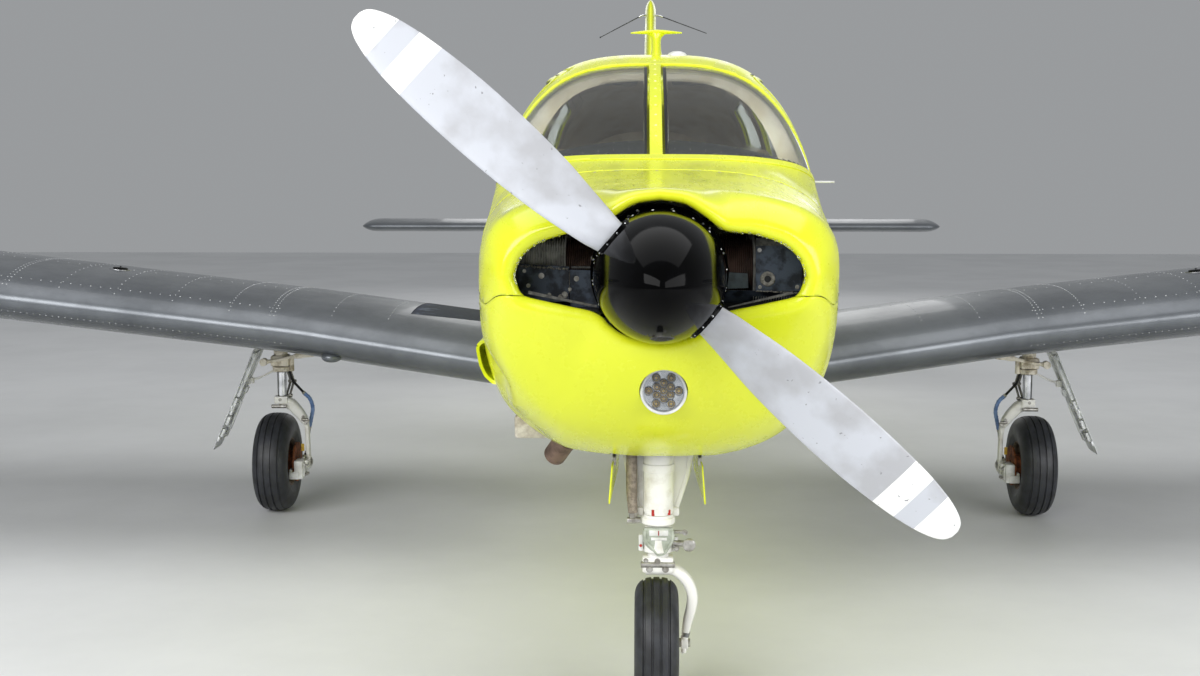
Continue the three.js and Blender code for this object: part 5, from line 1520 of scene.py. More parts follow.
def bolt(place, along, radius=5, height=4):
    # a hexagon head on a washer
    head = rod(place, place + Vector(along).normalized() * height / 1000, radius, 6, bevel=0.6)
    washer = rod(place, place + Vector(along).normalized() * 0.0012, radius * 1.35, 18)
    return joined([head, washer])


def mirrorOf(bm):
    other = bm.copy()
    bmesh.ops.scale(other, vec=(-1, 1, 1), verts=other.verts)
    bmesh.ops.recalc_face_normals(other, faces=other.faces)
    return other


def putPair(name, bm, finish, body="airframe", replaces=(), sharp=38):
    # the left side's piece and its mirror image; a body or node name may hold %s for the side
    other = mirrorOf(bm)
    return [putPiece("%s_%s" % (side, name), part, finish, body.replace("%s", side),
                     [node.replace("%s", side) for node in replaces], sharp)
            for side, part in (("left", bm), ("right", other))]


tyres = {
    "main": {"centre": (1600, wing["axle"], 209), "radius": 209, "width": 146, "rim": 92,
             "grooves": (-42, -14, 14, 42)},
    "nose": {"centre": (0, 560, 180), "radius": 180, "width": 122, "rim": 72,
             "grooves": (-34.5, -11.5, 11.5, 34.5)},
}


def tyreProfile(s):
    half, middle = s["width"] / 2, (s["radius"] + s["rim"]) / 2
    crown = [half * t for t in (0.05, 0.15, 0.25, 0.35, 0.45, 0.56, 0.66, 0.75, 0.83, 0.89,
                                0.935, 0.965, 0.985, 0.996)]
    across = {0.0} | set(crown) | {-x for x in crown}
    for groove in s["grooves"]:
        across = {x for x in across if abs(x - groove) > 4.6}
        across |= {groove - 4.2, groove - 3.4, groove - 2.6, groove, groove + 2.6, groove + 3.4, groove + 4.2}
    profile = []
    for x in sorted(across):
        r = middle + (s["radius"] - middle) * (1 - abs(x / half) ** 2.8) ** (1 / 2.2)
        near = min(abs(x - groove) for groove in s["grooves"])
        r -= 4.6 if near < 3 else 0.7 if near < 3.9 else 0
        profile.append((r, x))
    wall = []
    for k in range(1, 13):
        t = k / 12
        ridge = 1.2 if k in (4, 9) else 0
        wall.append((middle - (middle - s["rim"] - 0.3) * t, half * (1 - 0.26 * t * t) + ridge))
    first = [(r, -x) for r, x in reversed(wall)] + [(middle, -half)]
    return first + profile + [(middle, half)] + wall


def wheelSolid(s, hub):
    # the wheel's two halves as one turned piece: rim flanges, dished web and hub
    k, r = s["width"] / 158, s["rim"]
    outer = [(0, 63 * k), (16 * k, 63 * k), (23 * k, 61 * k), (26 * k, 57 * k), (27 * k, 50 * k),
             (33 * k, 49 * k), (35 * k, 30 * k),
             (42 * k, 25 * k), (r - 26, 23 * k), (r - 13, 29 * k), (r - 7, 45 * k), (r - 5, 54 * k), (r, 59.5 * k),
             (r + 7, 65.5 * k), (r + 10, 65.5 * k), (r + 11.5, 63.5 * k), (r + 11, 61 * k),
             (r + 4, 57 * k), (r - 0.5, 52 * k)]
    inner = [(radius, -x) for radius, x in reversed(outer)]
    inner[-8:] = [(hub, -25 * k), (hub, -60 * k), (0, -60 * k)]
    return spun(outer + inner, at(*s["centre"]), (1, 0, 0), 56)


def makeWheels():
    for name, s in tyres.items():
        outline = tyreProfile(s)
        start = at(*s["centre"])
        tyre = spun(outline + [outline[0]], start, (1, 0, 0), 96)
        hub = 47 if name == "main" else 28
        wheel = wheelSolid(s, hub)
        k = s["width"] / 158
        nuts = []
        for i in range(8):
            a = 2 * pi * (i + 0.5) / 8
            radius = s["rim"] * 0.62
            offset = Vector((0, cos(a), sin(a))) * radius / 1000
            for way in (-1, 1):
                if name == "main" and way < 0:
                    continue
                nuts.append(bolt(start + offset + Vector((way * 24 * k / 1000, 0, 0)), (way, 0, 0), 5, 7))
        valve = rod(start + Vector((0.030 * k, 0, (s["rim"] - 16) / 1000)),
                    start + Vector((0.052 * k, 0, (s["rim"] - 20) / 1000)), 3.5, 10, 2.6)
        if name == "main":
            disc = [(30, -79.6), (84, -79.6), (84, -86.4), (30, -86.4), (30, -79.6)]
            vents = spun(disc, start, (1, 0, 0), 64)
            hat = spun([(48, -38), (48, -82), (24, -86), (20, -86), (20, -38), (48, -38)], start, (1, 0, 0), 40)
            discNuts = [bolt(start + Vector((-0.0864, 0.038 * cos(a), 0.038 * sin(a))), (-1, 0, 0), 5, 1.1)
                        for a in (2 * pi * i / 6 for i in range(6))]
            putPair("brake_disc", joined([vents, hat] + discNuts), "rust", "%s_wheel",
                    ["%s_main_rim"])
            putPair("main_wheel", wheel, "wheelIron", "%s_wheel", sharp=30)
            putPair("main_wheel_nuts", joined(nuts + [valve]), "steel", "%s_wheel", sharp=30)
            putPair("main_tyre_cover", tyre, "rubber", "%s_wheel", ["%s_main_tyre"], sharp=30)
        else:
            putPiece("nose_wheel_hub", wheel, "dirtyWhite", "nose_wheel", ["nose_rim"], sharp=30)
            putPiece("nose_wheel_nuts", joined(nuts + [valve]), "steel", "nose_wheel", sharp=30)
            putPiece("nose_tyre_cover", tyre, "rubber", "nose_wheel", ["nose_tyre"], sharp=30)


mainGear = {"x": 1577, "station": wing["axle"], "wellTop": wellShape["top"], "strut": 19.5}


def makeMainLegs():
    s = mainGear
    x, station, top = s["x"], s["station"], s["wellTop"]
    cream = []
    # housing with its flange, trunnion and its bearing blocks
    housing = [(0, 0), (27, 0), (29, 4), (29, 60), (33, 66), (33, 110), (28, 122), (28, top - 675), (0, top - 675)]
    cream.append(spun(housing, at(x, station, 668), (0, 0, 1), 28))
    cream.append(block((x - 38, x + 38), (station - 34, station + 30), (622, 668), 7))
    cream.append(spun([(0, 0), (36, 0), (38, 2), (38, 17), (36, 19), (0, 19)],
                      at(x - 2, station, 600), (0, 0, 1), 32))
    cream.append(rod(at(x, station - 56, top - 5), at(x, station + 56, top - 5), 22, 24, bevel=3))
    cream.append(block((x - 22, x + 22), (station - 22, station + 22), (top - 10, top + 24), 3))
    # side brace: boss, bent link, knee and bearing
    cream.append(rod(at(1640, station - 58, 643), at(1640, station - 26, 643), 16, 28, bevel=2))
    link = [(1640, 643), (1600, 647), (1560, 655), (1519, 665), (1495, 670), (1462, 672), (1425, 679), (1398, 712),
            (1388, 770), (1387, top - 6)]
    cream.append(forging(link, [22, 13, 14, 15, 24, 18, 20, 18, 18, 22], [20, 16, 16, 18, 22, 18, 18, 18, 18, 22],
                         station - 40))
    cream.append(block((x - 212, x - 168), (station - 58, station + 20), (top - 26, top + 24), 3))
    cream.append(rod(at(1529, station - 8, 600), at(1529, station - 8, 662), 10, 20, bevel=2))
    cream.append(block((1519, 1560), (station - 18, station + 2), (652, 664), 2))
    putPair("leg_housing", joined(cream), "gearCream", replaces=["%s_main_leg"])
    strut = spun([(0, -8), (s["strut"], -8), (s["strut"], 104), (0, 104)], at(x - 2, station, 500), (0, 0, 1), 36)
    putPair("leg_strut", strut, "chrome")
    wiper = [(s["strut"] + out, up) for out, up in ((0.3, 0), (3, 0), (3, 3), (0.3, 3), (0.3, 0))]
    putPair("leg_wiper", spun(wiper, at(x - 2, station, 596), (0, 0, 1), 32), "blackRubber")
    # torque links behind the strut
    links = []
    knee = at(x - 34, station + 58, 548)
    for a, b in ((at(x - 28, station + 18, 604), knee), (knee, at(x - 24, station + 18, 492))):
        for way in (-1, 1):
            shift = Vector((way * 0.007, 0, 0))
            links.append(rod(a + shift, b + shift, 5.5, 12, 4.5, 1))
        links.append(rod(a - Vector((0.016, 0, 0)), a + Vector((0.016, 0, 0)), 7, 16, bevel=1))
    links.append(rod(at(x - 52, station + 58, 548), at(x - 16, station + 58, 548), 6, 16, bevel=1))
    links.append(rod(at(x - 42, station + 18, 492), at(x - 8, station + 18, 492), 7, 16, bevel=1))
    putPair("torque_links", joined(links), "steel")


# Main forks: one forged arm from the strut's clamp to the axle, with the brake's caliper
def makeMainForks():
    x, station, axle = mainGear["x"], mainGear["station"], tyres["main"]["centre"][2]
    fork = [forging([(x + 4, 471), (1545, 462), (1512, 431), (1486, 396), (1472, 362), (1469, 300), (1469, 216)],
                    [46, 48, 45, 36, 21, 18.5, 20], [54, 52, 46, 40, 32, 30, 34], station, power=3.4),
            spun([(0, 0), (26, 0), (28, 3), (28, 33), (0, 33)], at(x - 2, station, 461), (0, 0, 1), 28),
            block((x - 30, x + 26), (station - 31, station - 6), (462, 494), 3),
            rod(at(1457, station, axle), at(1487, station, axle), 27, 32, bevel=2),
            block((1459, 1478), (station - 60, station - 6), (192, 224), 5)]
    putPair("fork_arm", joined(fork), "gearWhite", replaces=["%s_main_fork"])
    # pin, axle, bolts and the tag's clip
    metal = [rod(at(1549, station - 36, 453), at(1613, station - 36, 453), 8, 20, bevel=1.5),
             bolt(at(x + 1, station - 31, 480), (0, -1, 0), 5, 4),
             rod(at(1480, station, axle), at(1600, station, axle), 15, 24),
             bolt(at(1457, station, axle), (-1, 0, 0), 14, 6),
             rod(at(1461, station - 24, 395), at(1490, station - 24, 395), 6, 14, bevel=1),
             rod(at(1466, station - 28, 388), at(1466, station - 14, 388), 9, 16, bevel=1)]
    for dy, dz in ((-50, 0), (-76, 0), (-50, -40), (-76, -40)):
        metal.append(bolt(at(1468, station + dy, axle + dz), (-1, 0, 0), 6, 12))
    for dy, dz, r in ((-20, 0, 7), (-24, 14, 5), (-22, -15, 5)):
        metal.append(bolt(at(1478 + dz / 3, station + dy, 392 + dz), (0, -1, 0), r, 6))
    putPair("fork_hardware", joined(metal), "steel", sharp=30)
    caliper = [block((1474, 1512), (station - 94, station - 28), (150, 228), 5),
               block((1521.5, 1533), (station - 92, station - 52), (150, 192), 4),
               block((1490, 1533), (station - 99, station - 86), (150, 182), 4),
               block((1468, 1480), (station - 84, station - 40), (160, 218), 3),
               block((1460, 1480), (station - 40, station - 4), (176, 206), 4)]
    putPair("brake_caliper", joined(caliper), "whitePaint")
    putPair("fork_tag", block((1481, 1494), (station - 22, station - 19), (258, 290), 1),
            "amber")


hose = {"black": [(1543.7, 2950, 660), (1541, 2956, 600), (1534, 2976, 556), (1517, 3000, 525), (1492, 3010, 494)],
        "blue": [(1492, 3010, 494), (1470, 3014, 470), (1459, 3016, 430), (1466, 3016, 388), (1474, 3015, 350)],
        "lower": [(1474, 3015, 350), (1478, 3008, 300), (1478, 2975, 258), (1480, 2910, 236)]}


def makeBrakeHoses():
    black = joined([tube([at(*p) for p in hose["black"]], 5.5, 12), tube([at(*p) for p in hose["lower"]], 5, 12)])
    putPair("hose_rubber", black, "blackRubber", replaces=["%s_brake_hose"])
    points = [at(*p) for p in hose["blue"]]
    sleeve = tube(points, 8, 14)
    ribs = []
    line = curvePoints(points, 5)
    for i in range(1, len(line) - 1, 2):
        along = (line[i + 1] - line[i - 1]).normalized()
        ribs.append(rod(line[i] - along * 0.0018, line[i] + along * 0.0018, 9.4, 14, bevel=0.8))
    putPair("hose_sleeve", joined([sleeve] + ribs), "blueHose")
    fittings = []
    upper, middle, lower = hose["black"], hose["blue"], hose["lower"]
    for place, to in ((upper[0], upper[1]), (middle[0], middle[1]), (middle[-1], lower[1]), (lower[-1], lower[-2])):
        along = (at(*to) - at(*place)).normalized()
        fittings.append(rod(at(*place) - along * 0.009, at(*place) + along * 0.009, 8, 6, bevel=1))
        fittings.append(rod(at(*place) - along * 0.013, at(*place) + along * 0.013, 6, 14, bevel=1))
    putPair("hose_fittings", joined(fittings), "steel", sharp=30)


# Main doors: a thin sheet that hangs beside the wheel, with pressed stiffeners on its inner face
mainDoor = {"top": (1669, 702), "foot": (1860, 265), "front": 2855, "rear": 3065}


def makeMainDoors():
    s = mainDoor
    a, b = Vector(s["top"]), Vector(s["foot"])
    down = (b - a).normalized()
    inward = Vector((down.y, -down.x))
    length = (b - a).length
    turn = Matrix(((down.x, 0, inward.x, a.x / 1000), (0, 1, 0, -middleStation / 1000),
                   (down.y, 0, inward.y, a.y / 1000), (0, 0, 0, 1)))

    def onDoor(bm):
        bmesh.ops.transform(bm, matrix=turn, verts=bm.verts)
        bmesh.ops.recalc_face_normals(bm, faces=bm.faces)
        return bm

    def local(ds, stations, ms, bevel=1.0):
        low, high = zip(ds, stations, ms)
        return box([v / 1000 for v in low], [v / 1000 for v in high], bevel)

    outline = roundedOutline([(0, s["front"] + 6), (length, s["front"] + 30), (length, s["rear"] - 40),
                              (0, s["rear"])], 22, 0, 5)
    rows = []
    for m, shrink in ((-3.4, 1.2), (-2.2, 0), (-1.2, 0), (0, 1.0)):
        middle, size = (length / 2, (s["front"] + s["rear"]) / 2), 1 - shrink / 110
        rows.append([Vector((*[(v - c) * size + c for v, c in zip(p, middle)], m)) / 1000 for p in outline])
    sheet = onDoor(loft(rows))
    putPair("door_sheet", sheet, "doorAlloy", replaces=["%s_main_door"], sharp=30)
    parts = [local((14, length * 0.46), (s["front"] + 30, s["front"] + 62), (-0.5, 15), 2.5),
             local((length * 0.475, length * 0.64), (s["front"] + 30, s["front"] + 62), (-0.5, 13), 2.5),
             local((length * 0.66, length * 0.74), (s["front"] + 32, s["front"] + 60), (-0.5, 15), 3),
             local((length * 0.78, length * 0.86), (s["front"] + 34, s["front"] + 58), (-0.5, 14), 4),
             local((14, length * 0.9), (s["rear"] - 70, s["rear"] - 44), (-0.5, 11), 2.5),
             local((length * 0.5, length * 0.78), (s["front"] + 70, s["front"] + 84), (20, 27), 1.5),
             local((length * 0.36, length * 0.42), (s["front"] + 66, s["front"] + 92), (10, 30), 3),
             local((length * 0.5, length * 0.52), (s["front"] + 74, s["front"] + 80), (-0.5, 22), 1),
             local((length * 0.75, length * 0.77), (s["front"] + 74, s["front"] + 80), (-0.5, 22), 1)]
    for t in (0.04, 0.3, 0.55, 0.86):
        parts.append(local((length * t, length * t + 20), (s["front"] + 22, s["rear"] - 36), (-0.5, 7), 2))
    putPair("door_stiffeners", onDoor(joined(parts)), "doorAlloy", sharp=30)
    rivets = []
    for t in range(24):
        d = 12 + t * (length - 24) / 23
        for station in (s["front"] + 26, s["rear"] - 38):
            place = Vector((a.x + down.x * d, 0, a.y + down.y * d)) / 1000 + Vector((0,
                    (station - middleStation) / 1000, 0))
            out = Vector((-inward.x, 0, -inward.y))
            rivets.append((place + out * 0.0034, out))
    putPair("door_rivets", domes(rivets, 2.4, 0.9, 6), "doorAlloy")
    # the rod that draws the door up with the leg
    link = [tube([at(1604, 2946, 604), at(1630, 2944, 590), at(1662, 2944, 574), at(1702, 2944, 560)],
                 [4.2, 4, 4, 5], 10, 6),
            block((1692, 1714), (2934, 2956), (546, 572), 3), block((1596, 1612), (2936, 2956), (594, 612), 2)]
    putPair("door_rod", joined(link), "gearWhite")


noseGear = {"station": tyres["nose"]["centre"][1], "collar": 519}


def makeNoseLeg():
    s = noseGear
    station, collar = s["station"], s["collar"]
    centre = lambda z: at(4, station, z)
    cylinder = spun([(0, 0), (38, 0), (39, 2), (39, 5), (41, 9), (41, 60), (41.4, 60.6), (41.4, 64),
                     (41, 64.6), (41, 118), (43.5, 120),
                     (43.5, 140), (41, 142), (41, 260), (0, 260)], centre(546), (0, 0, 1), 48)
    ring = spun([(0, 0), (44, 0), (46, 2), (46, 14), (44, 17), (40, 18.5), (40, 25.5), (0, 25.5)],
                centre(collar + 0.5), (0, 0, 1), 48)
    braces = []
    for way in (-1, 1):
        braces.append(forging([(way * 48 + 2, 546), (way * 66 + 2, 600), (way * 80 + 3, 650), (way * 90 + 3, 712)],
                              [14, 14, 15, 18], [18, 20, 20, 22], station + 26))
        web = [(way * 38, 706), (way * 88 + 3, 706), (way * 50 + 3, 556), (way * 42 + 3, 546), (way * 38, 546)]
        braces.append(loft([[at(x, station + depth, z) for x, z in web] for depth in (20, 28)]))
        braces.append(rod(at(way * 88, station + 68, 740), at(way * 100, 1044, 800), 14, 16))
        braces.append(block((way * 100 - 24, way * 100 + 24), (1036, 1049), (772, 828), 3))
        braces.append(block((way * 90 - 14, way * 90 + 16), (station + 16, station + 84), (704, 752), 5))
        braces.append(block((min(way * 36, way * 62), max(way * 36, way * 62)),
                            (station + 8, station + 36), (536, 560), 5))
    braces.append(rod(at(-95, station + 70, 745), at(95, station + 70, 745), 13, 20))
    braces.append(block((-30, 30), (station, station + 72), (730, 765), 4))
    putPiece("nose_leg_housing", joined([cylinder, ring] + braces), "gearWhite",
             replaces=["nose_leg"], sharp=30)
    marks = []
    for x, low, high in ((-11, 547, 564), (33, 548, 562)):
        depth = (41.3 ** 2 - (x - 4) ** 2) ** 0.5
        marks.append(block((x - 4, x + 4), (station - depth - 0.9, station - depth + 5), (low, high), 0.6))
    putPiece("nose_leg_marks", joined(marks), "redMark")
    # woven sleeve and its fitting beside the cylinder
    sleeve = tube([at(-70, station + 4, 716), at(-70, station + 2, 660), at(-69, station, 600),
                   at(-66, station - 2, 548)], [15, 15.5, 15, 13], 20, 8)
    putPiece("nose_sleeve", sleeve, "sleeve")
    fitting = [rod(at(-66, station - 2, 548), at(-65, station - 2, 534), 12, 6, bevel=1),
               forging([(-82, 527), (-66, 527), (-44, 528)], [15, 17, 14], [22, 24, 20], station - 2)]
    putPiece("nose_sleeve_fitting", joined(fitting), "steel", sharp=30)


# What turns with the nose wheel: V-shaped link, knuckle, arm and axle
def makeNoseFork():
    station, axle = noseGear["station"], tyres["nose"]["centre"][2]
    centre = lambda z: at(4, station, z)
    shield = forging([(5, 513), (5, 496), (5, 478), (7, 462), (9, 448), (11, 436)], [78, 86, 85, 62, 38, 20],
                     [18, 20, 20, 19, 17, 14], station - 32, 4, 7)
    ribs = [forging([(-33, 508), (-30, 478), (0, 442)], [9, 9, 8], [24, 26, 20], station - 33),
            forging([(43, 508), (41, 478), (22, 442)], [9, 9, 8], [24, 26, 20], station - 33)]
    putPiece("nose_torque_link", joined([shield] + ribs), "greenAlloy", "steered_fork")
    panels = [block((-21, 31), (station - 44.5, station - 41), (493, 508), 1),
              block((-16, 27), (station - 44.5, station - 41), (480, 488), 1)]
    putPiece("nose_link_panels", joined(panels), "whitePaint", "steered_fork")
    putPiece("nose_link_mark", block((3, 6), (station - 45.2, station - 44), (494, 507), 0.3), "redMark",
             "steered_fork")
    stem = [spun([(0, 0), (29, 0), (29, 116), (0, 116)], centre(402), (0, 0, 1), 36),
            spun([(0, 0), (41, 0), (43, 2), (43, 40), (41, 42), (0, 42)], centre(442), (0, 0, 1), 40),
            spun([(0, 0), (34, 0), (36, 2), (36, 24), (33, 26), (0, 26)], centre(486), (0, 0, 1), 40),
            block((-40, 46), (station - 30, station + 24), (384, 428), 6)]
    arm = forging([(-30, 388), (14, 389), (44, 389), (70, 373), (90, 346), (99, 314), (96, 280), (87, 245),
                   (81, 210), (77, 178), (76, 154)],
                  [26, 27, 30, 31, 31, 30, 29, 26, 21, 16, 14],
                  [44, 46, 46, 44, 42, 40, 38, 36, 34, 34, 30], station, power=3.2)
    foot = [rod(at(68, station, axle), at(87, station, axle), 20, 24, bevel=2)]
    putPiece("nose_fork_arm", joined(stem + [arm] + foot), "gearWhite", "steered_fork", ["nose_fork"])
    metal = [rod(at(94, station, axle), at(-58, station, axle), 12, 24, bevel=1),
             bolt(at(86, station, axle), (1, 0, 0), 13, 5), bolt(at(-54, station, axle), (-1, 0, 0), 13, 5),
             rod(at(-44, station - 26, 408), at(50, station - 26, 408), 9, 20, bevel=1.5),
             bolt(at(-20, station - 30, 396), (0, -1, 0), 7, 6), bolt(at(24, station - 30, 396), (0, -1, 0), 7, 6),
             bolt(at(2, station - 30, 418), (0, -1, 0), 6, 6), bolt(at(-30, station - 30, 420), (0, -1, 0), 5, 5),
             spun([(0, 0), (15, 0), (18, 3), (18, 10), (11, 12), (10, 34), (0, 34)],
                  at(88, station - 42, 466), (0, 1, 0), 28),
             rod(at(44, station - 24, 470), at(84, station - 26, 466), 9, 16),
             bolt(at(54, station - 30, 455), (0, -1, 0), 6, 6), bolt(at(76, station - 30, 500), (0, -1, 0), 6, 6),
             rod(at(40, station - 24, 500), at(80, station - 24, 500), 5, 12, bevel=1)]
    putPiece("nose_fork_hardware", joined(metal), "steel", "steered_fork", sharp=30)
    bands = [forging([(82.5, 212), (81.6, 206), (80.5, 200)], [22.5, 21.6, 20.6],
                     [36.5, 36, 35.5], station, power=3.2)]
    putPiece("nose_fork_band", joined(bands), "alloy", "steered_fork")
    plates = [block((-50, -38), (station - 28, station - 10), (446, 492), 3),
              block((46, 58), (station - 28, station - 10), (446, 486), 3)]
    putPiece("nose_fork_plates", joined(plates), "whitePaint", "steered_fork")
    putPiece("nose_fork_dot", rod(at(-44, station - 27, 462), at(-44, station - 29.4, 462), 4, 14), "redMark",
             "steered_fork")


# Nose doors: thin pressed sheets a little bent by use, hung from the well's edges
def makeNoseDoors():
    for side, way in (("left", 1), ("right", -1)):
        outline = roundedOutline([(500, 581), (930, 600), (930, 688), (500, 690)], 16, 0, 6)
        rows = []
        for offset, shrink in ((-2.2, 1.5), (-1.4, 0), (1.4, 0), (2.2, 1.5)):
            row = []
            for station, z in outline:
                k = 1 - shrink / 200
                station, z = 715 + (station - 715) * k, 635 + (z - 635) * k
                dent = 3 * sin((station - 500) / 70) * smooth((650 - z) / 60)
                bend = 7 * smooth((690 - z) / 110) - 15 * (station - 500) / 430 + dent
                row.append(at(way * (123 + bend + offset), station, z))
            rows.append(row)
        bm = loft(rows)
        putPiece(side + "_nose_door_sheet", bm, "yellow", replaces=[side + "_nose_door"])
        bits = []
        for station, x in ((590, 118), (860, 109)):
            bits.append(block((way * x - 5, way * x + 5), (station - 22, station + 22), (678, 702), 2))
            bits.append(rod(at(way * x, station - 24, 696), at(way * x, station + 24, 696), 5, 14, bevel=1))
        putPiece(side + "_nose_door_hinges", joined(bits), "steel")


# cream enamel stained by grease, wheels brown with brake dust, and pressed alloy sheet made almost white, a painted
# highlight over the metal's own grey
finishes["gearCream"] = makePatchy("cream_gear_enamel", "#efe7d6", "#a89c83", 45, 5, 0.42, (0.36, 0.52), 0.12)
finishes["wheelIron"] = makePatchy("stained_wheel", "#7d6c5b", "#4f382a", 40, 4, 0.6,
                                   (0.42, 0.58), 0.25, Metallic=0.3)
finishes["doorAlloy"] = makePatchy("pressed_alloy_painted_highlight", "#f2f4f5", "#cfd1d2", 80, 4, 0.36,
                                   (0.35, 0.55), 0.08, Metallic=0.25)
makeWheels()
makeMainLegs()
makeMainForks()
makeBrakeHoses()
makeMainDoors()
makeNoseLeg()
makeNoseFork()
makeNoseDoors()
print("landing gear made")


# Engine bay seen through the inlets: finned cylinders, oily baffle plates, the black nose ring and the exhaust

engine = {"height": propeller["z"], "cylinders": [(1, 330), (1, 590), (-1, 365), (-1, 625)],
          "barrel": (160, 236), "head": (236, 396)}


def oblongAbout(x, y, halfWidth, halfHeight, radius, steps):
    corners = [(x - halfWidth, y - halfHeight), (x + halfWidth, y - halfHeight),
               (x + halfWidth, y + halfHeight), (x - halfWidth, y + halfHeight)]
    return roundedOutline(corners, radius, 0, steps)


def makeCylinders():
    s = engine
    barrels, heads, covers, steel = [], [], [], []
    for way, station in s["cylinders"]:
        start, along = at(0, station, s["height"]), (way, 0, 0)
        low, high = s["barrel"]
        profile = [(0, low - 40), (80, low - 40), (80, low - 28), (62, low - 26)]
        fin = low - 8
        while fin < high:
            profile += [(62, fin), (75, fin + 0.5), (75, fin + 1.9), (62, fin + 2.4)]
            fin += 5.2
        profile += [(62, high + 2), (0, high + 2)]
        barrels.append(spun(profile, start, along, 44))
        low, high = s["head"]
        outline = oblongAbout(station, s["height"], 84, 86, 34, 3)
        core = [(mixed(station, a, 0.86), mixed(s["height"], b, 0.86)) for a, b in outline]
        rows = []
        x = low
        while x < high - 22:
            for ring, reach in ((core, 0), (outline, 0.6), (outline, 2.2), (core, 2.8)):
                rows.append([at(way * (x + reach), a, b) for a, b in ring])
            x += 6.4
        rows.append([at(way * (high - 20), a, b) for a, b in core])
        heads.append(loft(rows))
        cover = oblongAbout(station, s["height"], 62, 44, 24, 4)
        covers.append(loft([[at(way * (high - 22 + reach), mixed(station, a, t), mixed(s["height"], b, t))
                             for a, b in cover] for reach, t in ((0, 1), (20, 1), (26, 0.94), (29, 0.8))]))
        # spark plugs with their leads, pushrod tubes and the intake pipe below
        for z in (s["height"] - 96, s["height"] + 96):
            up = 1 if z > s["height"] else -1
            steel.append(rod(at(way * 318, station, z - up * 26),
                             at(way * 318, station, z + up * 6), 9, 6, bevel=1))
        for shift in (-24, 24):
            steel.append(rod(at(way * 150, station + shift, 1152), at(way * 300, station + shift, 1158), 9, 12))
        steel.append(tube([at(way * 330, station + 40, 1160), at(way * 300, station + 40, 1095),
                           at(way * 200, station + 20, 1040), at(way * 80, station, 1020)], 21, 16, 6))
    putPiece("cylinder_barrels", joined(barrels), "castIron", replaces=["engine"], sharp=30)
    putPiece("cylinder_heads", joined(heads), "headAlloy", sharp=30)
    putPiece("rocker_covers", joined(covers), "headAlloy", sharp=40)
    putPiece("engine_pipes", joined(steel), "steel", sharp=35)


def makeIgnitionLeads():
    leads = []
    for way, station in engine["cylinders"]:
        leads.append(tube([at(way * 318, station, 1342), at(way * 300, station + 30, 1362),
                           at(way * 180, station + 70, 1352), at(way * 60, 900, 1330)], 5, 10, 6))
        leads.append(tube([at(way * 318, station, 1138), at(way * 290, station + 30, 1112),
                           at(way * 160, station + 70, 1100), at(way * 60, 900, 1120)], 5, 10, 6))
    putPiece("ignition_leads", joined(leads), "blackRubber")


def makeCrankcase():
    case = roundedOutline([(-148, 1132), (148, 1132), (148, 1322), (-148, 1322)], 42, 0, 5)
    rows = []
    for station, t in ((168, 0.5), (176, 0.72), (226, 0.8), (262, 1), (985, 1), (1000, 0.94)):
        rows.append([at(x * t, station, mixed(1235, z, t)) for x, z in case])
    pan = ((-120, 1140), (120, 1140), (110, 950), (86, 936), (-86, 936), (-110, 950))
    sump = [[at(x * t, station, z) for x, z in pan] for station, t in ((250, 0.9), (262, 1), (860, 1), (872, 0.9))]
    rear = block((-110, 110), (1000, 1046), (1030, 1290), 8)
    putPiece("crankcase", joined([loft(rows), loft(sump), rear]), "engineBlack", sharp=35)


def makeNoseRing():
    # the black pressed ring behind the spinner, with its screws, and the black bowl behind it
    centre = at(0, 0, propeller["z"])
    pressed = [(150, 152), (168, 150), (169.5, 152), (169.5, 160), (160, 162), (160, 205), (158, 205), (150, 160),
               (150, 152)]
    putPiece("nose_ring", spun(pressed, centre, (0, 1, 0), 96), "spinner", sharp=40)
    heads = [(at(x, 151.4, z), (0, -1, 0))
             for x, z in ((-54, 1394), (31, 1398), (106, 1362), (-76, 1380), (-162, 1274),
                          (-128, 1167), (156, 1290),
             (163, 1205), (154, 1182), (122, 1351), (-34, 1085), (-110, 1358), (-163, 1222),
             (60, 1092), (110, 1122))]
    putPiece("nose_ring_screws", domes(heads, 4.6, 3.2, 12), "chrome")


def plate(outline, station, thick, lean=0.0):
    # a sheet across the aircraft: outline of (x, z), leaning back by this much per mm of height
    bm = loft([[at(x, station + depth + (z - 1200) * lean, z) for x, z in outline] for depth in (0, thick)])
    bmesh.ops.bevel(bm, geom=bm.edges[:], offset=0.48 / 1000, affect="EDGES", segments=1, profile=0.5, material=-1)
    return bm


def sealant(places, radius, rough=0.6):
    # a ragged bead of sealing compound: small lumps of uneven size
    bm = bmesh.new()
    for a, b in zip(places, places[1:]):
        count = max(int((Vector(b) - Vector(a)).length / (radius * 1.1)), 1)
        for k in range(count):
            p = Vector(a).lerp(Vector(b), (k + seed.random()) / count)
            r = radius * (1 - rough * seed.random()) / 1000
            p += Vector((0, 0, (seed.random() - 0.5) * radius * 0.8))
            bmesh.ops.create_icosphere(bm, subdivisions=1, radius=r, matrix=Matrix.Translation(at(*p)))
    return bm


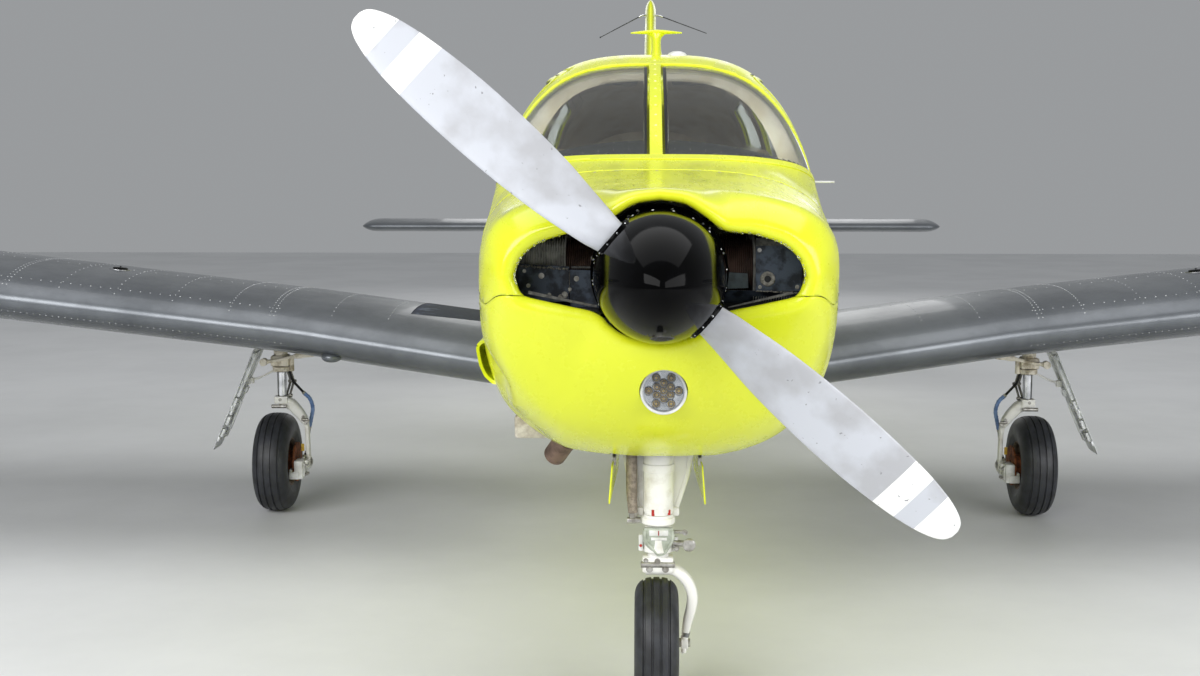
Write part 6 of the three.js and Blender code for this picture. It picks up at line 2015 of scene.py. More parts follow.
def makeBaffles():
    port = [plate([(241, 1190), (356, 1190), (356, 1316), (330, 1318), (241, 1302)], 234, 3)]
    port.append(plate([(150, 1150), (356, 1163), (356, 1188), (150, 1192)], 226, 3, -0.9))
    star = [plate([(-356, 1158), (-227, 1158), (-227, 1248), (-356, 1254)], 269, 3),
            plate([(-225, 1140), (-150, 1140), (-150, 1238), (-225, 1240)], 267, 3),
            plate([(-356, 1150), (-150, 1138), (-150, 1160), (-356, 1170)], 262, 3, -0.9)]
    putPiece("left_baffle_plates", joined(port), "baffle", replaces=["left_baffle"])
    putPiece("right_baffle_plates", joined(star), "baffle", replaces=["right_baffle"])
    strips = [plate([(241, 1303), (330, 1303), (348, 1308), (330, 1322), (241, 1322)], 231, 3),
              plate([(-330, 1191), (-322, 1190), (-154, 1157), (-152, 1163), (-200, 1172), (-320, 1198)], 138, 3),
              plate([(322, 1190), (330, 1192), (320, 1197), (168, 1160), (168, 1156)][::-1], 138, 3),
              plate([(-221, 1243), (-166, 1243), (-166, 1249), (-221, 1249)], 264, 3)]
    putPiece("baffle_strips", joined(strips), "baffleGrey")


# Floor of each inlet, from the lip back to the plates
def makeInletFloors():
    floors = []
    for way, station, rear in ((1, 226, 1166), (-1, 262, 1150)):
        rows = []
        for k in range(9):
            t = k / 8
            x = mixed(150, 345, t)
            front = mixed(1148, 1180, t)
            back = mixed(rear - 6, rear + 2, t)
            rows.append([at(way * x, y, z)
                         for y, z in ((150, front), (station, back), (station, back - 3), (150, front - 3))])
        floors.append(loft(rows))
    putPiece("inlet_floors", joined(floors), "engineBlack")


# Sealing compound, grommet, bolts and pad on the plates
def makeBaffleFittings():
    ragged = joined([sealant([(-352, 267, 1250), (-300, 267, 1246), (-228, 267, 1240)], 4.2),
                     sealant([(243, 231, 1190), (300, 231, 1188), (352, 231, 1186)], 2.6),
                     sealant([(-226, 266, 1238), (-226, 266, 1180)], 1.4, 0.8)])
    putPiece("baffle_sealant", ragged, "sealantGrey")
    grommet = spun([(8, 4), (8, -1), (11, -3), (17, -3), (19, -1), (19, 4)], at(271, 234, 1220), (0, 1, 0), 32)
    putPiece("baffle_grommet", grommet, "sealantGrey")
    hole = rod(at(271, 232.4, 1220), at(271, 234.4, 1220), 8.5, 24)
    putPiece("baffle_plug", hole, "blackRubber")
    bolts = [bolt(at(x, station, z), (0, -1, 0), r, 3.5) for x, station, z, r in (
        (-297, 269, 1224, 5.5), (-208, 267, 1217, 5), (-248, 269, 1170, 5),
        (-238, 269, 1176, 6), (-330, 269, 1199, 4),
        (-225, 266, 1190, 3.5), (-277, 269, 1176, 3.5), (250, 234, 1292, 4),
        (345, 234, 1292, 4), (345, 234, 1200, 4), (252, 234, 1200, 3.5), (-340, 269, 1236, 3.5))]
    bolts.append(rod(at(-163, 236, 1270), at(-163, 262, 1270), 9, 6, bevel=1))
    bolts.append(rod(at(-158, 236, 1284), at(-158, 262, 1284), 7, 6, bevel=1))
    putPiece("baffle_bolts", joined(bolts), "steel", sharp=30)
    pad = plate([(170, 1194), (224, 1196), (222, 1233), (176, 1236)], 246, 4)
    putPiece("baffle_pad", pad, "baffleGreen")


def makeBladeCuffs():
    cuffs, screws = [], []
    for turn in (radians(propeller["angle"]), radians(propeller["angle"]) + pi):
        out = Vector((cos(turn), 0, sin(turn)))
        across = Vector((-sin(turn), 0, cos(turn)))
        centre = at(0, 0, propeller["z"])
        cuffs.append(spun([(50.5, 138), (55, 138), (56.5, 141), (56.5, 151), (55, 153), (50.5, 153), (50.5, 138)],
                          centre, out, 56))
        for k in range(10):
            a = 2 * pi * (k + 0.5) / 10
            side = Vector((0, 1, 0)) * cos(a) + across * sin(a)
            screws.append((centre + out * 0.1475 + side * 0.0562, side))
    putPiece("blade_cuffs", joined(cuffs), "spinner", "propeller")
    putPiece("blade_cuff_screws", domes(screws, 2.6, 1.6, 10), "chrome", "propeller")


def makeExhaust():
    route = [(-120, 640, 952), (-120, 650, 890), (-150, 705, 815), (-190, 780, 770),
             (-262, 905, 690), (-304, 982, 626)]
    pipe = tube([at(*p) for p in route], 34, 32, 8, bore=0.93)
    rings = []
    for place, toward, r, half in ((route[3], route[4], 38, 0.011), (route[4], route[5], 36.5, 0.003)):
        along = (at(*toward) - at(*place)).normalized()
        rings.append(rod(at(*place) - along * half, at(*place) + along * half, r, 32, bevel=1))
    muffler = spun([(0, 0), (70, 0), (78, 8), (78, 252), (70, 260), (0, 260)],
                   at(-130, 640, 952), (0.9, 0, 0.1), 32)
    stubs = [rod(at(way * 300, station + 60, 1150), at(way * 150, 640, 960), 22, 18)
             for way, station in engine["cylinders"]]
    putPiece("exhaust_tail_pipe", joined([pipe] + rings), "exhaust",
             replaces=["exhaust_pipe"], sharp=40)
    putPiece("exhaust_muffler", joined([muffler] + stubs), "exhaust", sharp=40)
    # drain box under the floor behind the exhaust
    tray = block((-441, -337), (1170, 1262), (640, 712), 9)
    putPiece("drain_box", tray, "dirtyWhite")


def finishFirewall():
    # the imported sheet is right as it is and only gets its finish
    for holder in bpy.data.objects["firewall"].material_slots:
        holder.material = finishes["greenAlloy"]


# oily black enamel, dull sheet edges, green-grey sheet and the crumbly pale grey of sealing compound
finishes["engineBlack"] = makePatchy("oily_black_enamel", "#141416", "#0a0a0b", 60, 4, 0.5, bump=0.2)
finishes["baffleGrey"] = makePatchy("grey_sheet_edge", "#62615e", "#3f3f3f", 14, 2, 0.6, bump=0.3, Metallic=0.4)
finishes["baffleGreen"] = makePatchy("green_grey_sheet", "#3d4a4e", "#2a3236", 20, 2, 0.5, bump=0.2)
finishes["sealantGrey"] = makePatchy("dry_sealing_compound", "#96938c", "#6a6762", 6, 1.5, 0.7, bump=0.4)
finishFirewall()
makeCylinders()
makeIgnitionLeads()
makeCrankcase()
makeNoseRing()
makeBaffles()
makeInletFloors()
makeBaffleFittings()
makeBladeCuffs()
makeExhaust()
print("engine bay made")


# Cabin interior: padded seats, instrument panel with its dials, glare shield, control wheels and trim

seats = {
    # size across, along and thick; voxel and cap in mm; sewn channels as (axis, place) in the flat shape
    "cushion": {"size": (408, 384, 112), "voxel": 9, "cap": 18,
                "grooves": [(0, -118), (0, 118), (1, -60), (1, 60)]},
    "back": {"size": (408, 598, 90), "voxel": 9, "cap": 16,
             "grooves": [(0, -122), (0, 122), (1, -190), (1, -60), (1, 70), (1, 200)]},
    "benchCushion": {"size": (868, 352, 112), "voxel": 11, "cap": 18,
                     "grooves": [(0, 0), (0, -215), (0, 215), (1, 0)]},
    "benchBack": {"size": (868, 542, 90), "voxel": 11, "cap": 16,
                  "grooves": [(0, 0), (0, -215), (0, 215), (1, -130), (1, 110)]},
}


def startCushion(name):
    # a slightly small box with round edges, its middle crowned, remeshed evenly
    s = seats[name]
    half = [(v - 2 * s["cap"] * 0.8) / 2000 for v in s["size"]]
    bm = box((-half[0], -half[1], 0), (half[0], half[1], half[2] * 2), 30, 4)
    mesh = bpy.data.meshes.new(name + "_start")
    bm.to_mesh(mesh)
    bm.free()
    piece = bpy.data.objects.new(name + "_start", mesh)
    scene.collection.objects.link(piece)
    remesh = piece.modifiers.new("Voxels", "REMESH")
    remesh.mode = "VOXEL"
    remesh.voxel_size = s["voxel"] / 1000
    even = bpy.data.meshes.new_from_object(piece.evaluated_get(bpy.context.evaluated_depsgraph_get()))
    piece.modifiers.clear()
    piece.data = even
    bpy.data.meshes.remove(mesh)
    for v in even.vertices:
        crown = (1 - (v.co.x / half[0]) ** 4) * (1 - (v.co.y / half[1]) ** 4)
        if v.co.z > half[2]:
            v.co.z += 0.008 * max(crown, 0)
    return piece


def swellCushions(pieces):
    # air pressure inside each cover for twenty steps; no point moves further than the cap
    for piece in pieces.values():
        cloth = piece.modifiers.new("Cloth", "CLOTH")
        cloth.settings.use_pressure = True
        cloth.settings.uniform_pressure_force = 4
        cloth.settings.effector_weights.gravity = 0
        cloth.settings.quality = 5
        cloth.point_cache.frame_end = 20
    for step in range(1, 21):
        scene.frame_set(step)
    graph = bpy.context.evaluated_depsgraph_get()
    for name, piece in pieces.items():
        cap = seats[name]["cap"] / 1000
        swollen = [v.co.copy() for v in piece.evaluated_get(graph).data.vertices]
        furthest = 0
        for v, place in zip(piece.data.vertices, swollen):
            move = place - v.co
            furthest = max(furthest, move.length)
            if move.length > cap:
                move = move.normalized() * cap
            v.co += move
        print("cushion", name, "moved up to", round(furthest * 1000, 1), "mm")
    for piece in pieces.values():
        piece.modifiers.clear()
    scene.frame_set(1)


def outlineOf(mesh, level, reach=0.007, count=84):
    # the outermost points of a cushion at one height, all round
    near = [v.co for v in mesh.vertices if abs(v.co.z - level) < reach]
    points = []
    for k in range(count):
        a = 2 * pi * (k + 0.5) / count
        best = None
        for p in near:
            off = abs((atan2(p.y, p.x) - a + pi) % (2 * pi) - pi)
            if off < pi / count * 1.4 and (best is None or hypot(p.x, p.y) > hypot(best.x, best.y)):
                best = p
        if best is not None:
            points.append(Vector((best.x, best.y, level)))
    return points


def placeOf(origin, across, along, up):
    # the flat shape's x, y and z directions and its bottom middle, in the aircraft
    turn = Matrix([list(row) for row in zip(across, along, up)]).to_4x4()
    return Matrix.Translation(origin) @ turn


def finishCushion(name, start, title, place, body, node):
    s = seats[name]
    mesh = start.data.copy()
    mesh.name = title
    for v in mesh.vertices:
        v.co.z = max(v.co.z, 0)
        if v.co.z > s["size"][2] / 2000:
            dip = 0
            for axis, at_ in s["grooves"]:
                dip = max(dip, 0.011 * (1 - smooth(abs(v.co[axis] * 1000 - at_) / 16)))
            v.co.z -= dip
    piping = []
    for level in (0.2, 0.8):
        ring = outlineOf(mesh, level * s["size"][2] / 1000)
        piping.append(tube(ring + [ring[0]], 3.6, 8, 2))
    bm = bmesh.new()
    bm.from_mesh(mesh)
    bpy.data.meshes.remove(mesh)
    bmesh.ops.transform(bm, matrix=place, verts=bm.verts)
    bmesh.ops.recalc_face_normals(bm, faces=bm.faces)
    piece = putPiece(title, bm, "leather", body, [node], sharp=180)
    smoother = piece.modifiers.new("Smoother", "SUBSURF")
    smoother.levels = smoother.render_levels = 1
    cord = joined(piping)
    bmesh.ops.transform(cord, matrix=place, verts=cord.verts)
    putPiece(title + "_piping", cord, "leatherDark", body)


def makeSeats():
    starts = {name: startCushion(name) for name in seats}
    swellCushions(starts)
    x, y, z = Vector((1, 0, 0)), Vector((0, 1, 0)), Vector((0, 0, 1))
    for side, middle in (("left", 280), ("right", -280)):
        node = side + "_seat"
        finishCushion("cushion", starts["cushion"], side + "_seat_cushion",
                      placeOf(at(middle, 2282, 904), x, y, z), node, node)
        lean = Vector((0, 90, 540)).normalized()
        finishCushion("back", starts["back"], side + "_seat_back",
                      placeOf(at(middle, 2641, 1255), -x, lean, -lean.cross(x)), node, node)
    finishCushion("benchCushion", starts["benchCushion"], "bench_cushion", placeOf(at(0, 3144, 884), x, y, z),
                  "airframe", "rear_bench")
    lean = Vector((0, 50, 480)).normalized()
    finishCushion("benchBack", starts["benchBack"], "bench_back",
                  placeOf(at(0, 3464, 1203), -x, lean, -lean.cross(x)), "airframe", "rear_bench")
    for start in starts.values():
        mesh = start.data
        bpy.data.objects.remove(start)
        bpy.data.meshes.remove(mesh)


def makeSeatFrames():
    for side, middle in (("left", 280), ("right", -280)):
        tubes = []
        for way in (-1, 1):
            x = middle + way * 150
            base = ((2150, 738), (2150, 880), (2170, 896), (2500, 896), (2530, 880), (2530, 738))
            tubes.append(tube([at(x, station, z) for station, z in base], 11, 14, 4))
            upright = ((2540, 890), (2586, 960), (2612, 1030), (2684, 1480))
            tubes.append(tube([at(x, station, z) for station, z in upright], 10, 12, 4))
            for station in (2150, 2530):
                tubes.append(block((x - 17, x + 17), (station - 30, station + 30), (731, 747), 3))
        for station, z in ((2160, 800), (2525, 800), (2180, 894), (2500, 894)):
            tubes.append(rod(at(middle - 150, station, z), at(middle + 150, station, z), 9, 14))
        tubes.append(rod(at(middle - 150, 2684, 1480), at(middle + 150, 2684, 1480), 9, 14))
        putPiece(side + "_seat_frame", joined(tubes), "gearWhite", side + "_seat")
        lever = [tube([at(middle, 2110, 870), at(middle, 2088, 862), at(middle, 2084, 845)], 6, 10, 5),
                 rod(at(middle - 40, 2098, 868), at(middle + 40, 2098, 868), 6, 12, bevel=1)]
        putPiece(side + "_seat_lever", joined(lever), "darkPlastic", side + "_seat")
        rails = []
        for way in (-1, 1):
            x = middle + way * 150
            rails.append(block((x - 14, x + 14), (1960, 2760), (725.4, 730.4), 1))
            rails.append(block((x - 5, x + 5), (1960, 2760), (725.4, 730.8), 1))
            for station in range(2000, 2760, 60):
                rails.append(rod(at(x + 10, station, 729), at(x + 10, station, 731.4), 3, 8))
        putPiece(side + "_seat_rails", joined(rails), "alloy")
    putPiece("bench_box", block((-400, 400), (3010, 3400), (726, 878), 8), "carpet")


panel = {"face": 1722, "front": 1700, "low": 1120, "high": 1404,
         "large": [(255, 1374), (165, 1374), (345, 1374), (165, 1304), (345, 1304), (-250, 1360), (-340, 1360)],
         "small": [(150, 1222), (202, 1222), (308, 1222), (360, 1222), (412, 1290), (412, 1350),
                   (-150, 1222), (-200, 1300)]}


def makePanel():
    s = panel
    rows = []
    heights = [mixed(s["low"], s["high"], k / 14) for k in range(15)]
    for station, t in ((s["front"], 0), (s["face"] - 2, 0), (s["face"], 2)):
        right = [at(skinHalfWidth(station, z, 25) - t, station,
                    min(max(z, s["low"] + t), s["high"] - t)) for z in heights]
        left = [at(-skinHalfWidth(station, z, 25) + t, station, min(max(z, s["low"] + t), s["high"] - t))
                for z in reversed(heights)]
        rows.append(right + left)
    face = loft(rows)
    plates = [block((92, 440), (s["face"] - 1, s["face"] + 3), (1190, 1400), 1.5),
              block((-84, 84), (s["face"] - 1, s["face"] + 3), (1160, 1402), 1.5),
              block((-440, -180), (s["face"] - 1, s["face"] + 3), (1300, 1400), 1.5),
              block((-420, -150), (s["face"] - 1, s["face"] + 4), (1140, 1196), 3)]
    putPiece("panel_face", joined([face] + plates), "darkPlastic",
             replaces=["instrument_panel"], sharp=30)


def makeDials():
    s = panel
    bezels, faces, glass, marks, needles = [], [], [], [], []
    for places, r in ((s["large"], 32), (s["small"], 21)):
        for x, z in places:
            centre = at(x, s["face"] + 3, z)
            bezels.append(spun([(r - 3.5, 0), (r - 3.5, 5), (r - 1, 6.5), (r + 1.5, 5), (r + 2, 0)], centre,
                               (0, 1, 0), 40))
            faces.append(rod(centre, centre + Vector((0, 0.0012, 0)), r - 2, 32))
            glass.append(spun([(0, 4.2), (r - 3.6, 4.2), (r - 3.6, 5), (0, 5)], centre, (0, 1, 0), 32))
            for k in range(12):
                a = 2 * pi * k / 12
                out = Vector((cos(a), 0, sin(a)))
                base = centre + Vector((0, 0.0014, 0))
                marks.append(rod(base + out * r * 0.68 / 1000, base + out * r * 0.84 / 1000, 0.7, 4))
            a = seed.uniform(0, 2 * pi)
            out = Vector((cos(a), 0, sin(a)))
            pivot = centre + Vector((0, 0.0022, 0))
            needles.append(rod(pivot - out * r * 0.15 / 1000, pivot + out * r * 0.74 / 1000, 1.1, 6, 0.4))
            needles.append(rod(centre + Vector((0, 0.001, 0)), centre + Vector((0, 0.0036, 0)), 2.6, 12))
    putPiece("dial_bezels", joined(bezels), "spinner")
    putPiece("dial_faces", joined(faces), "dialFace")
    putPiece("dial_marks", joined(marks + needles), "whitePaint")
    putPiece("dial_glasses", joined(glass), "lens")


def makeRadios():
    # radio stack with its knobs, and the row of switches
    s = panel
    radios, knobs, windows = [], [], []
    for k, high in enumerate((1396, 1356, 1316, 1276, 1236, 1196)):
        radios.append(block((-78, 78), (s["face"] + 1, s["face"] + 9), (high - 34, high), 2))
        windows.append(block((-40, 40), (s["face"] + 8, s["face"] + 10), (high - 24, high - 9), 0.8))
        for x in (-62, 62):
            knobs.append(rod(at(x, s["face"] + 8, high - 17), at(x, s["face"] + 24, high - 17), 8, 18, 7, 1.5))
            knobs.append(rod(at(x, s["face"] + 22, high - 17), at(x, s["face"] + 32, high - 17), 5, 16, 4.5, 1))
        for x in (-30, -15, 0, 15, 30):
            knobs.append(block((x - 4, x + 4), (s["face"] + 8, s["face"] + 12), (high - 31, high - 27), 0.8))
    for k in range(9):
        x = 110 + k * 34
        knobs.append(block((x - 8, x + 8), (s["face"] + 2, s["face"] + 10), (1146, 1168), 2))
    putPiece("radio_units", joined(radios), "darkPlastic")
    putPiece("radio_windows", joined(windows), "dialFace")
    putPiece("panel_knobs", joined(knobs), "blackRubber")


def makeLevers():
    s = panel
    quadrant = block((-64, 64), (s["face"] - 4, s["face"] + 44), (1122, 1156), 5)
    putPiece("lever_quadrant", quadrant, "darkPlastic")
    for name, x, finish in (("throttle", -36, "blackRubber"), ("pitch", 0, "blueHose"), ("mixture", 36, "redMark")):
        knob = [(0, -12), (8, -11), (11, -4), (11, 6), (8, 12), (0, 13)]
        lever = [rod(at(x, s["face"] + 24, 1140), at(x, s["face"] + 66, 1206), 3.2, 10),
                 spun(knob, at(x, s["face"] + 70, 1212), (0, 0.5, 0.85), 20)]
        putPiece(name + "_lever", joined(lever), finish)


def makeControlWheels():
    wheels, shafts = [], []
    for way in (-1, 1):
        x = way * 255
        shafts.append(rod(at(x, 1716, 1265), at(x, 1874, 1265), 11, 24))
        shafts.append(spun([(0, 0), (24, 0), (26, 3), (26, 10), (14, 16), (0, 16)],
                           at(x, 1722, 1265), (0, 1, 0), 28))
        for side in (-1, 1):
            grip = ((0, 1880, 1263), (60, 1880, 1262), (104, 1880, 1264), (121, 1880, 1284), (123, 1879, 1318),
                    (121, 1876, 1342))
            wheels.append(tube([at(x + side * out, station, z) for out, station, z in grip],
                               [13, 11, 11, 12, 13.5, 12], 16, 5, 0.9))
        wheels.append(block((x - 40, x + 40), (1866, 1893), (1248, 1288), 8))
    putPiece("control_wheels", joined(wheels), "blackRubber")
    putPiece("control_shafts", joined(shafts), "chrome")


def shieldHeight(x, station, share):
    # an arched hood that stays clear of the windscreen
    z = 1414 + (151 - 85 * (abs(x) / 474) ** 2.2) * share
    z = min(z, sectionAt(station)["top"] - 32)
    while z > 1414 and skinHalfWidth(station, z, 30) < abs(x):
        z -= 9
    return max(z, 1414)


def makeGlareShield():
    rows = []
    for station, low, share in ((1474, 1410, 0.5), (1482, 1406, 0.68), (1500, 1405, 0.8),
                                (1540, 1405, 0.92), (1600, 1405, 1),
                                (1740, 1405, 1), (1770, 1405, 0.98), (1783, 1407, 0.93), (1789, 1410, 0.85)):
        w = skinHalfWidth(station, 1414, 27)
        xs = [mixed(-w, w, k / 28) for k in range(29)]
        rows.append([at(x, station, shieldHeight(x, station, share))
                     for x in xs] + [at(x, station, low) for x in reversed(xs)])
    putPiece("glare_shield", loft(rows), "glareVinyl", sharp=40)
    # pale stitching lines
    lines = []
    for k in range(-9, 10):
        x = k * 50 + 12
        if abs(x) < skinHalfWidth(1500, 1414, 60):
            lines.append(rod(at(x, 1500, shieldHeight(x, 1500, 0.8)),
                             at(x, 1590, shieldHeight(x, 1590, 0.99)), 1.8, 6))
    putPiece("glare_shield_lines", joined(lines), "sealantGrey")


# Headliner edge round the windscreen
def makeTrim():
    outline = cabin["windscreen"]
    above = lambda f: f.calc_center_median().z > 1.45
    hole = [(1180, 1520), (1800, 1400), (2264, 1946), (1180, 1946)]
    bm = bandAlong(1400, 2360, 25, above, roundedOutline(outline, 12, -26), roundedOutline(hole, 12))
    bmesh.ops.delete(bm, geom=[v for v in bm.verts if v.co.z < 1.47], context="VERTS")
    trim = putPiece("windscreen_trim", bm, "headliner")
    addWall(trim, 4)


def makeMoulding():
    # a cream moulding that faces forward, round the top and sides of the windscreen
    rows = []
    for k in range(61):
        angle = mixed(0.30, pi - 0.30, k / 60)
        # the station where the line of the windscreen's edge meets the roof at this angle, by a few steps
        station = 2200
        for _ in range(5):
            station = 1800 + (skinPoint(station, angle).z - 1400) * 0.85
        deep = mixed(66, 40, sin(angle) ** 3)
        rows.append([onSkin(station + ahead, angle, -inset)[0] for ahead, inset in
                     ((-52, 27), (-40, 31), (-8, 32 + deep * 0.5), (20, 30 + deep), (27, 28 + deep),
                      (0, 25 + deep * 0.5), (-32, 25))])
    rows = [row for row in rows if min(p.z for p in row) > 1.45]
    putPiece("windscreen_moulding", loft(rows), "trimCream", sharp=50)


def makeWindowTrim():
    # window surrounds inside the cabin
    s = cabin
    for side, chosen in (("left", onLeft), ("right", onRight)):
        for place, outline, start, end, body in windowsOf(side):
            bm = bandAlong(start, end, 24, chosen, roundedOutline(outline, s["corner"] + 22, -24, 8),
                           roundedOutline(outline, s["corner"] - 6, 3, 8))
            ring = putPiece("%s_%s_window_trim" % (side, place), bm, "leather", body)
            addWall(ring, 3.5)


def makeArmRests():
    wallAhead, wallAft = skinHalfWidth(2300, 1250, 24), skinHalfWidth(3200, 1220, 24)
    rests = [block((-wallAft, -(wallAft - 50)), (2960, 3380), (1200, 1240), 12),
             block((wallAhead - 52, wallAhead), (2080, 2560), (1222, 1262), 12),
             block((wallAft - 50, wallAft), (2960, 3380), (1200, 1240), 12)]
    putPiece("arm_rests", joined(rests), "leather", sharp=50)
    doorRest = block((-wallAhead, -(wallAhead - 50)), (2080, 2520), (1222, 1262), 12)
    putPiece("door_arm_rest", doorRest, "leather", "cabin_door", sharp=50)


def makeSunVisors():
    visors, arms = [], []
    for way in (-1, 1):
        rows = []
        for depth in (0, 3):
            points = roundedOutline([(way * 215 - 150, 0), (way * 215 + 150, 0), (way * 215 + 150, 118),
                                     (way * 215 - 150, 118)], 20, 0, 4)
            rows.append([at(x, 2306 + y * 0.94 + depth * 0.3, 1812 - y * 0.30 + depth) for x, y in points])
        visors.append(loft(rows))
        arms.append(rod(at(way * 60, 2304, 1812), at(way * 370, 2304, 1812), 3.5, 10))
        arms.append(tube([at(way * 70, 2304, 1812), at(way * 52, 2310, 1822), at(way * 44, 2330, 1850)], 3.5, 10,
                         5))
    putPiece("sun_visors", joined(visors), "smokeSheet")
    putPiece("sun_visor_arms", joined(arms), "alloy")


# the seams' darker leather, smooth cream plastic, matt black vinyl and smoked sheet
finishes["leatherDark"] = makePatchy("seat_piping", "#8b7c60", "#6f624a", 60, 3, 0.5, bump=0.2)
finishes["trimCream"] = makePatchy("cream_moulded_trim", "#f3ead6", "#ddd0b4", 120, 2, 0.42, bump=0.1)
finishes["glareVinyl"] = makePatchy("black_glare_vinyl", "#1b1b1c", "#111112", 40, 1.8, 0.7, bump=0.4)
finishes["smokeSheet"] = makeClear("smoked_visor", "#5b625e", 1.49, 0.02)
makeSeats()
makeSeatFrames()
makePanel()
makeDials()
makeRadios()
makeLevers()
makeControlWheels()
makeGlareShield()
makeTrim()
makeMoulding()
makeWindowTrim()
makeArmRests()
makeSunVisors()
print("interior made")


# Rivets, walkway, filler caps, lights, antennas, probes, strips and beads of water

def onWing(x, station, side, way, out=0.0):
    # a place on the wing's skin with its outward direction
    a = wingPoint(x, fractionAt(x, station), side, 0)
    b = wingPoint(x, fractionAt(x, station + 6), side, 0)
    c = wingPoint(x + 6, fractionAt(x + 6, station), side, 0)
    n = (c - a).cross(b - a).normalized() * side
    place = a + n * out
    return at(way * place.x, place.y, place.z), Vector((way * n.x, n.y, n.z))


def makeWingRivets():
    for name, way in (("left", 1), ("right", -1)):
        spots = []
        for side in (1, -1):
            low = 2205 if side > 0 else 2230
            for x in (1430, 1446, 1600, 2442, 2458, 3250, 3266, 4060, 4076):
                station = low
                while station < 3436:
                    if side > 0 or x > 1700:
                        spots.append(onWing(x, station, side, way))
                    station += 27
            for x in (1000, 1215, 1820, 2040, 2250, 2660, 2860, 3060, 3460, 3660, 3860, 4270, 4480):
                station = low + 20
                while station < 3436:
                    if side > 0 or x > 1700:
                        spots.append(onWing(x, station, side, way))
                    station += 46
            for station, step, first in ((2620, 44, 680 if side > 0 else 1720),
                                         (3415, 52, 680 if side > 0 else 700), (2262, 38, 1420)):
                x = first
                while x < 4640:
                    spots.append(onWing(x, station, side, way))
                    x += step
        x = 1400
        while x < 4660:
            spots.append(onWing(x, 2186, -1, way))
            x += 24
        # the heads' pale grey is a painted highlight
        putPiece(name + "_wing_rivets", domes(spots, 3.2, 1.3, 6), "brightHead")


def makeBodyRivets():
    spots = []
    for station in (1064, 4262, 4700, 5140, 5580, 6020, 6420):
        for k in range(96):
            angle = 2 * pi * (k + 0.5) / 96
            if station > 6000 and k % 2:
                continue
            if station == 1064 and sin(angle) < -0.2:
                continue
            spots.append(onSkin(station, angle))
    for angle in (0.12, pi - 0.12, 0.9, pi - 0.9, -0.9, pi + 0.9):
        for station in range(4300, 6500, 40):
            spots.append(onSkin(station, angle))
    putPiece("fuselage_rivets", domes(spots, 2.4, 0.8, 6), "yellow")


def makePostRivets():
    heads = []
    for k in range(11):
        station = 1500 + k * 74
        top = sectionAt(station)["top"]
        slope = (sectionAt(station + 5)["top"] - top) / 5
        heads.append((at(0, station, top + 1.3), Vector((0, -slope, 1)).normalized()))
    # the heads' pale yellow is a painted highlight
    putPiece("post_rivets", domes(heads, 5.2, 2.4, 16), "paleHead")


def makeStripRivets():
    strip = []
    for k in range(42):
        station = 1346 + k * 10
        z = 1523 + (station - 1350) * (-95 / 415) - 12
        x = skinHalfWidth(station, min(z, sectionAt(station)["top"] - 1), -1)
        for way in (-1, 1):
            strip.append((at(way * x, station, z + 1.4), Vector((way * 0.5, -0.3, 0.8)).normalized()))
    putPiece("windscreen_strip_rivets", domes(strip, 2.2, 0.8, 6), "yellow")


def makeWindscreenStrip():
    outline = cabin["windscreen"]
    bm = bandAlong(1290, 1850, -0.4, lambda f: f.calc_center_median().z > 1.39,
                   roundedOutline(outline, 4, -27), roundedOutline(outline, 4, -0.5))
    spare = [v for v in bm.verts if v.co.y * 1000 + middleStation > 1838 or v.co.z > 1.56]
    bmesh.ops.delete(bm, geom=spare, context="VERTS")
    strip = putPiece("windscreen_base_strip", bm, "yellow")
    addWall(strip, 1.6, 1)


def makeTailRivets():
    spots = []
    for way in (-1, 1):
        for x in (160, 420, 680, 940, 1200, 1460, 1700):
            for k in range(15):
                station = 6335 + k * 42
                for side in (1, -1):
                    p = stabPoint(x, station, side)
                    spots.append((at(way * p.x, p.y, p.z), Vector((0, 0.02, side))))
    putPiece("stabilator_rivets", domes(spots, 2.3, 0.8, 6), "silver", "stabilator")
    spots = []
    for z in (1340, 1560, 1780, 2000, 2220):
        station = finRow(z)[0] + 40
        while station < rudderStation(z) - 40:
            for side in (1, -1):
                p = finSkin(z, station, side)
                spots.append((at(p.x, p.y, p.z), Vector((side, 0, 0))))
            station += 36
    putPiece("fin_rivets", domes(spots, 2.3, 0.8, 6), "yellow")


def wingPatch(xs, stations, side, way, out, steps=(12, 24)):
    rows = []
    for i in range(steps[0] + 1):
        x = mixed(xs[0], xs[1], i / steps[0])
        line = [onWing(x, mixed(stations[0], stations[1], k / steps[1]), side, way, out)[0]
                for k in range(steps[1] + 1)]
        base = [onWing(x, mixed(stations[0], stations[1], k / steps[1]), side, way, -1)[0]
                for k in range(steps[1], -1, -1)]
        rows.append(line + base)
    return loft(rows)


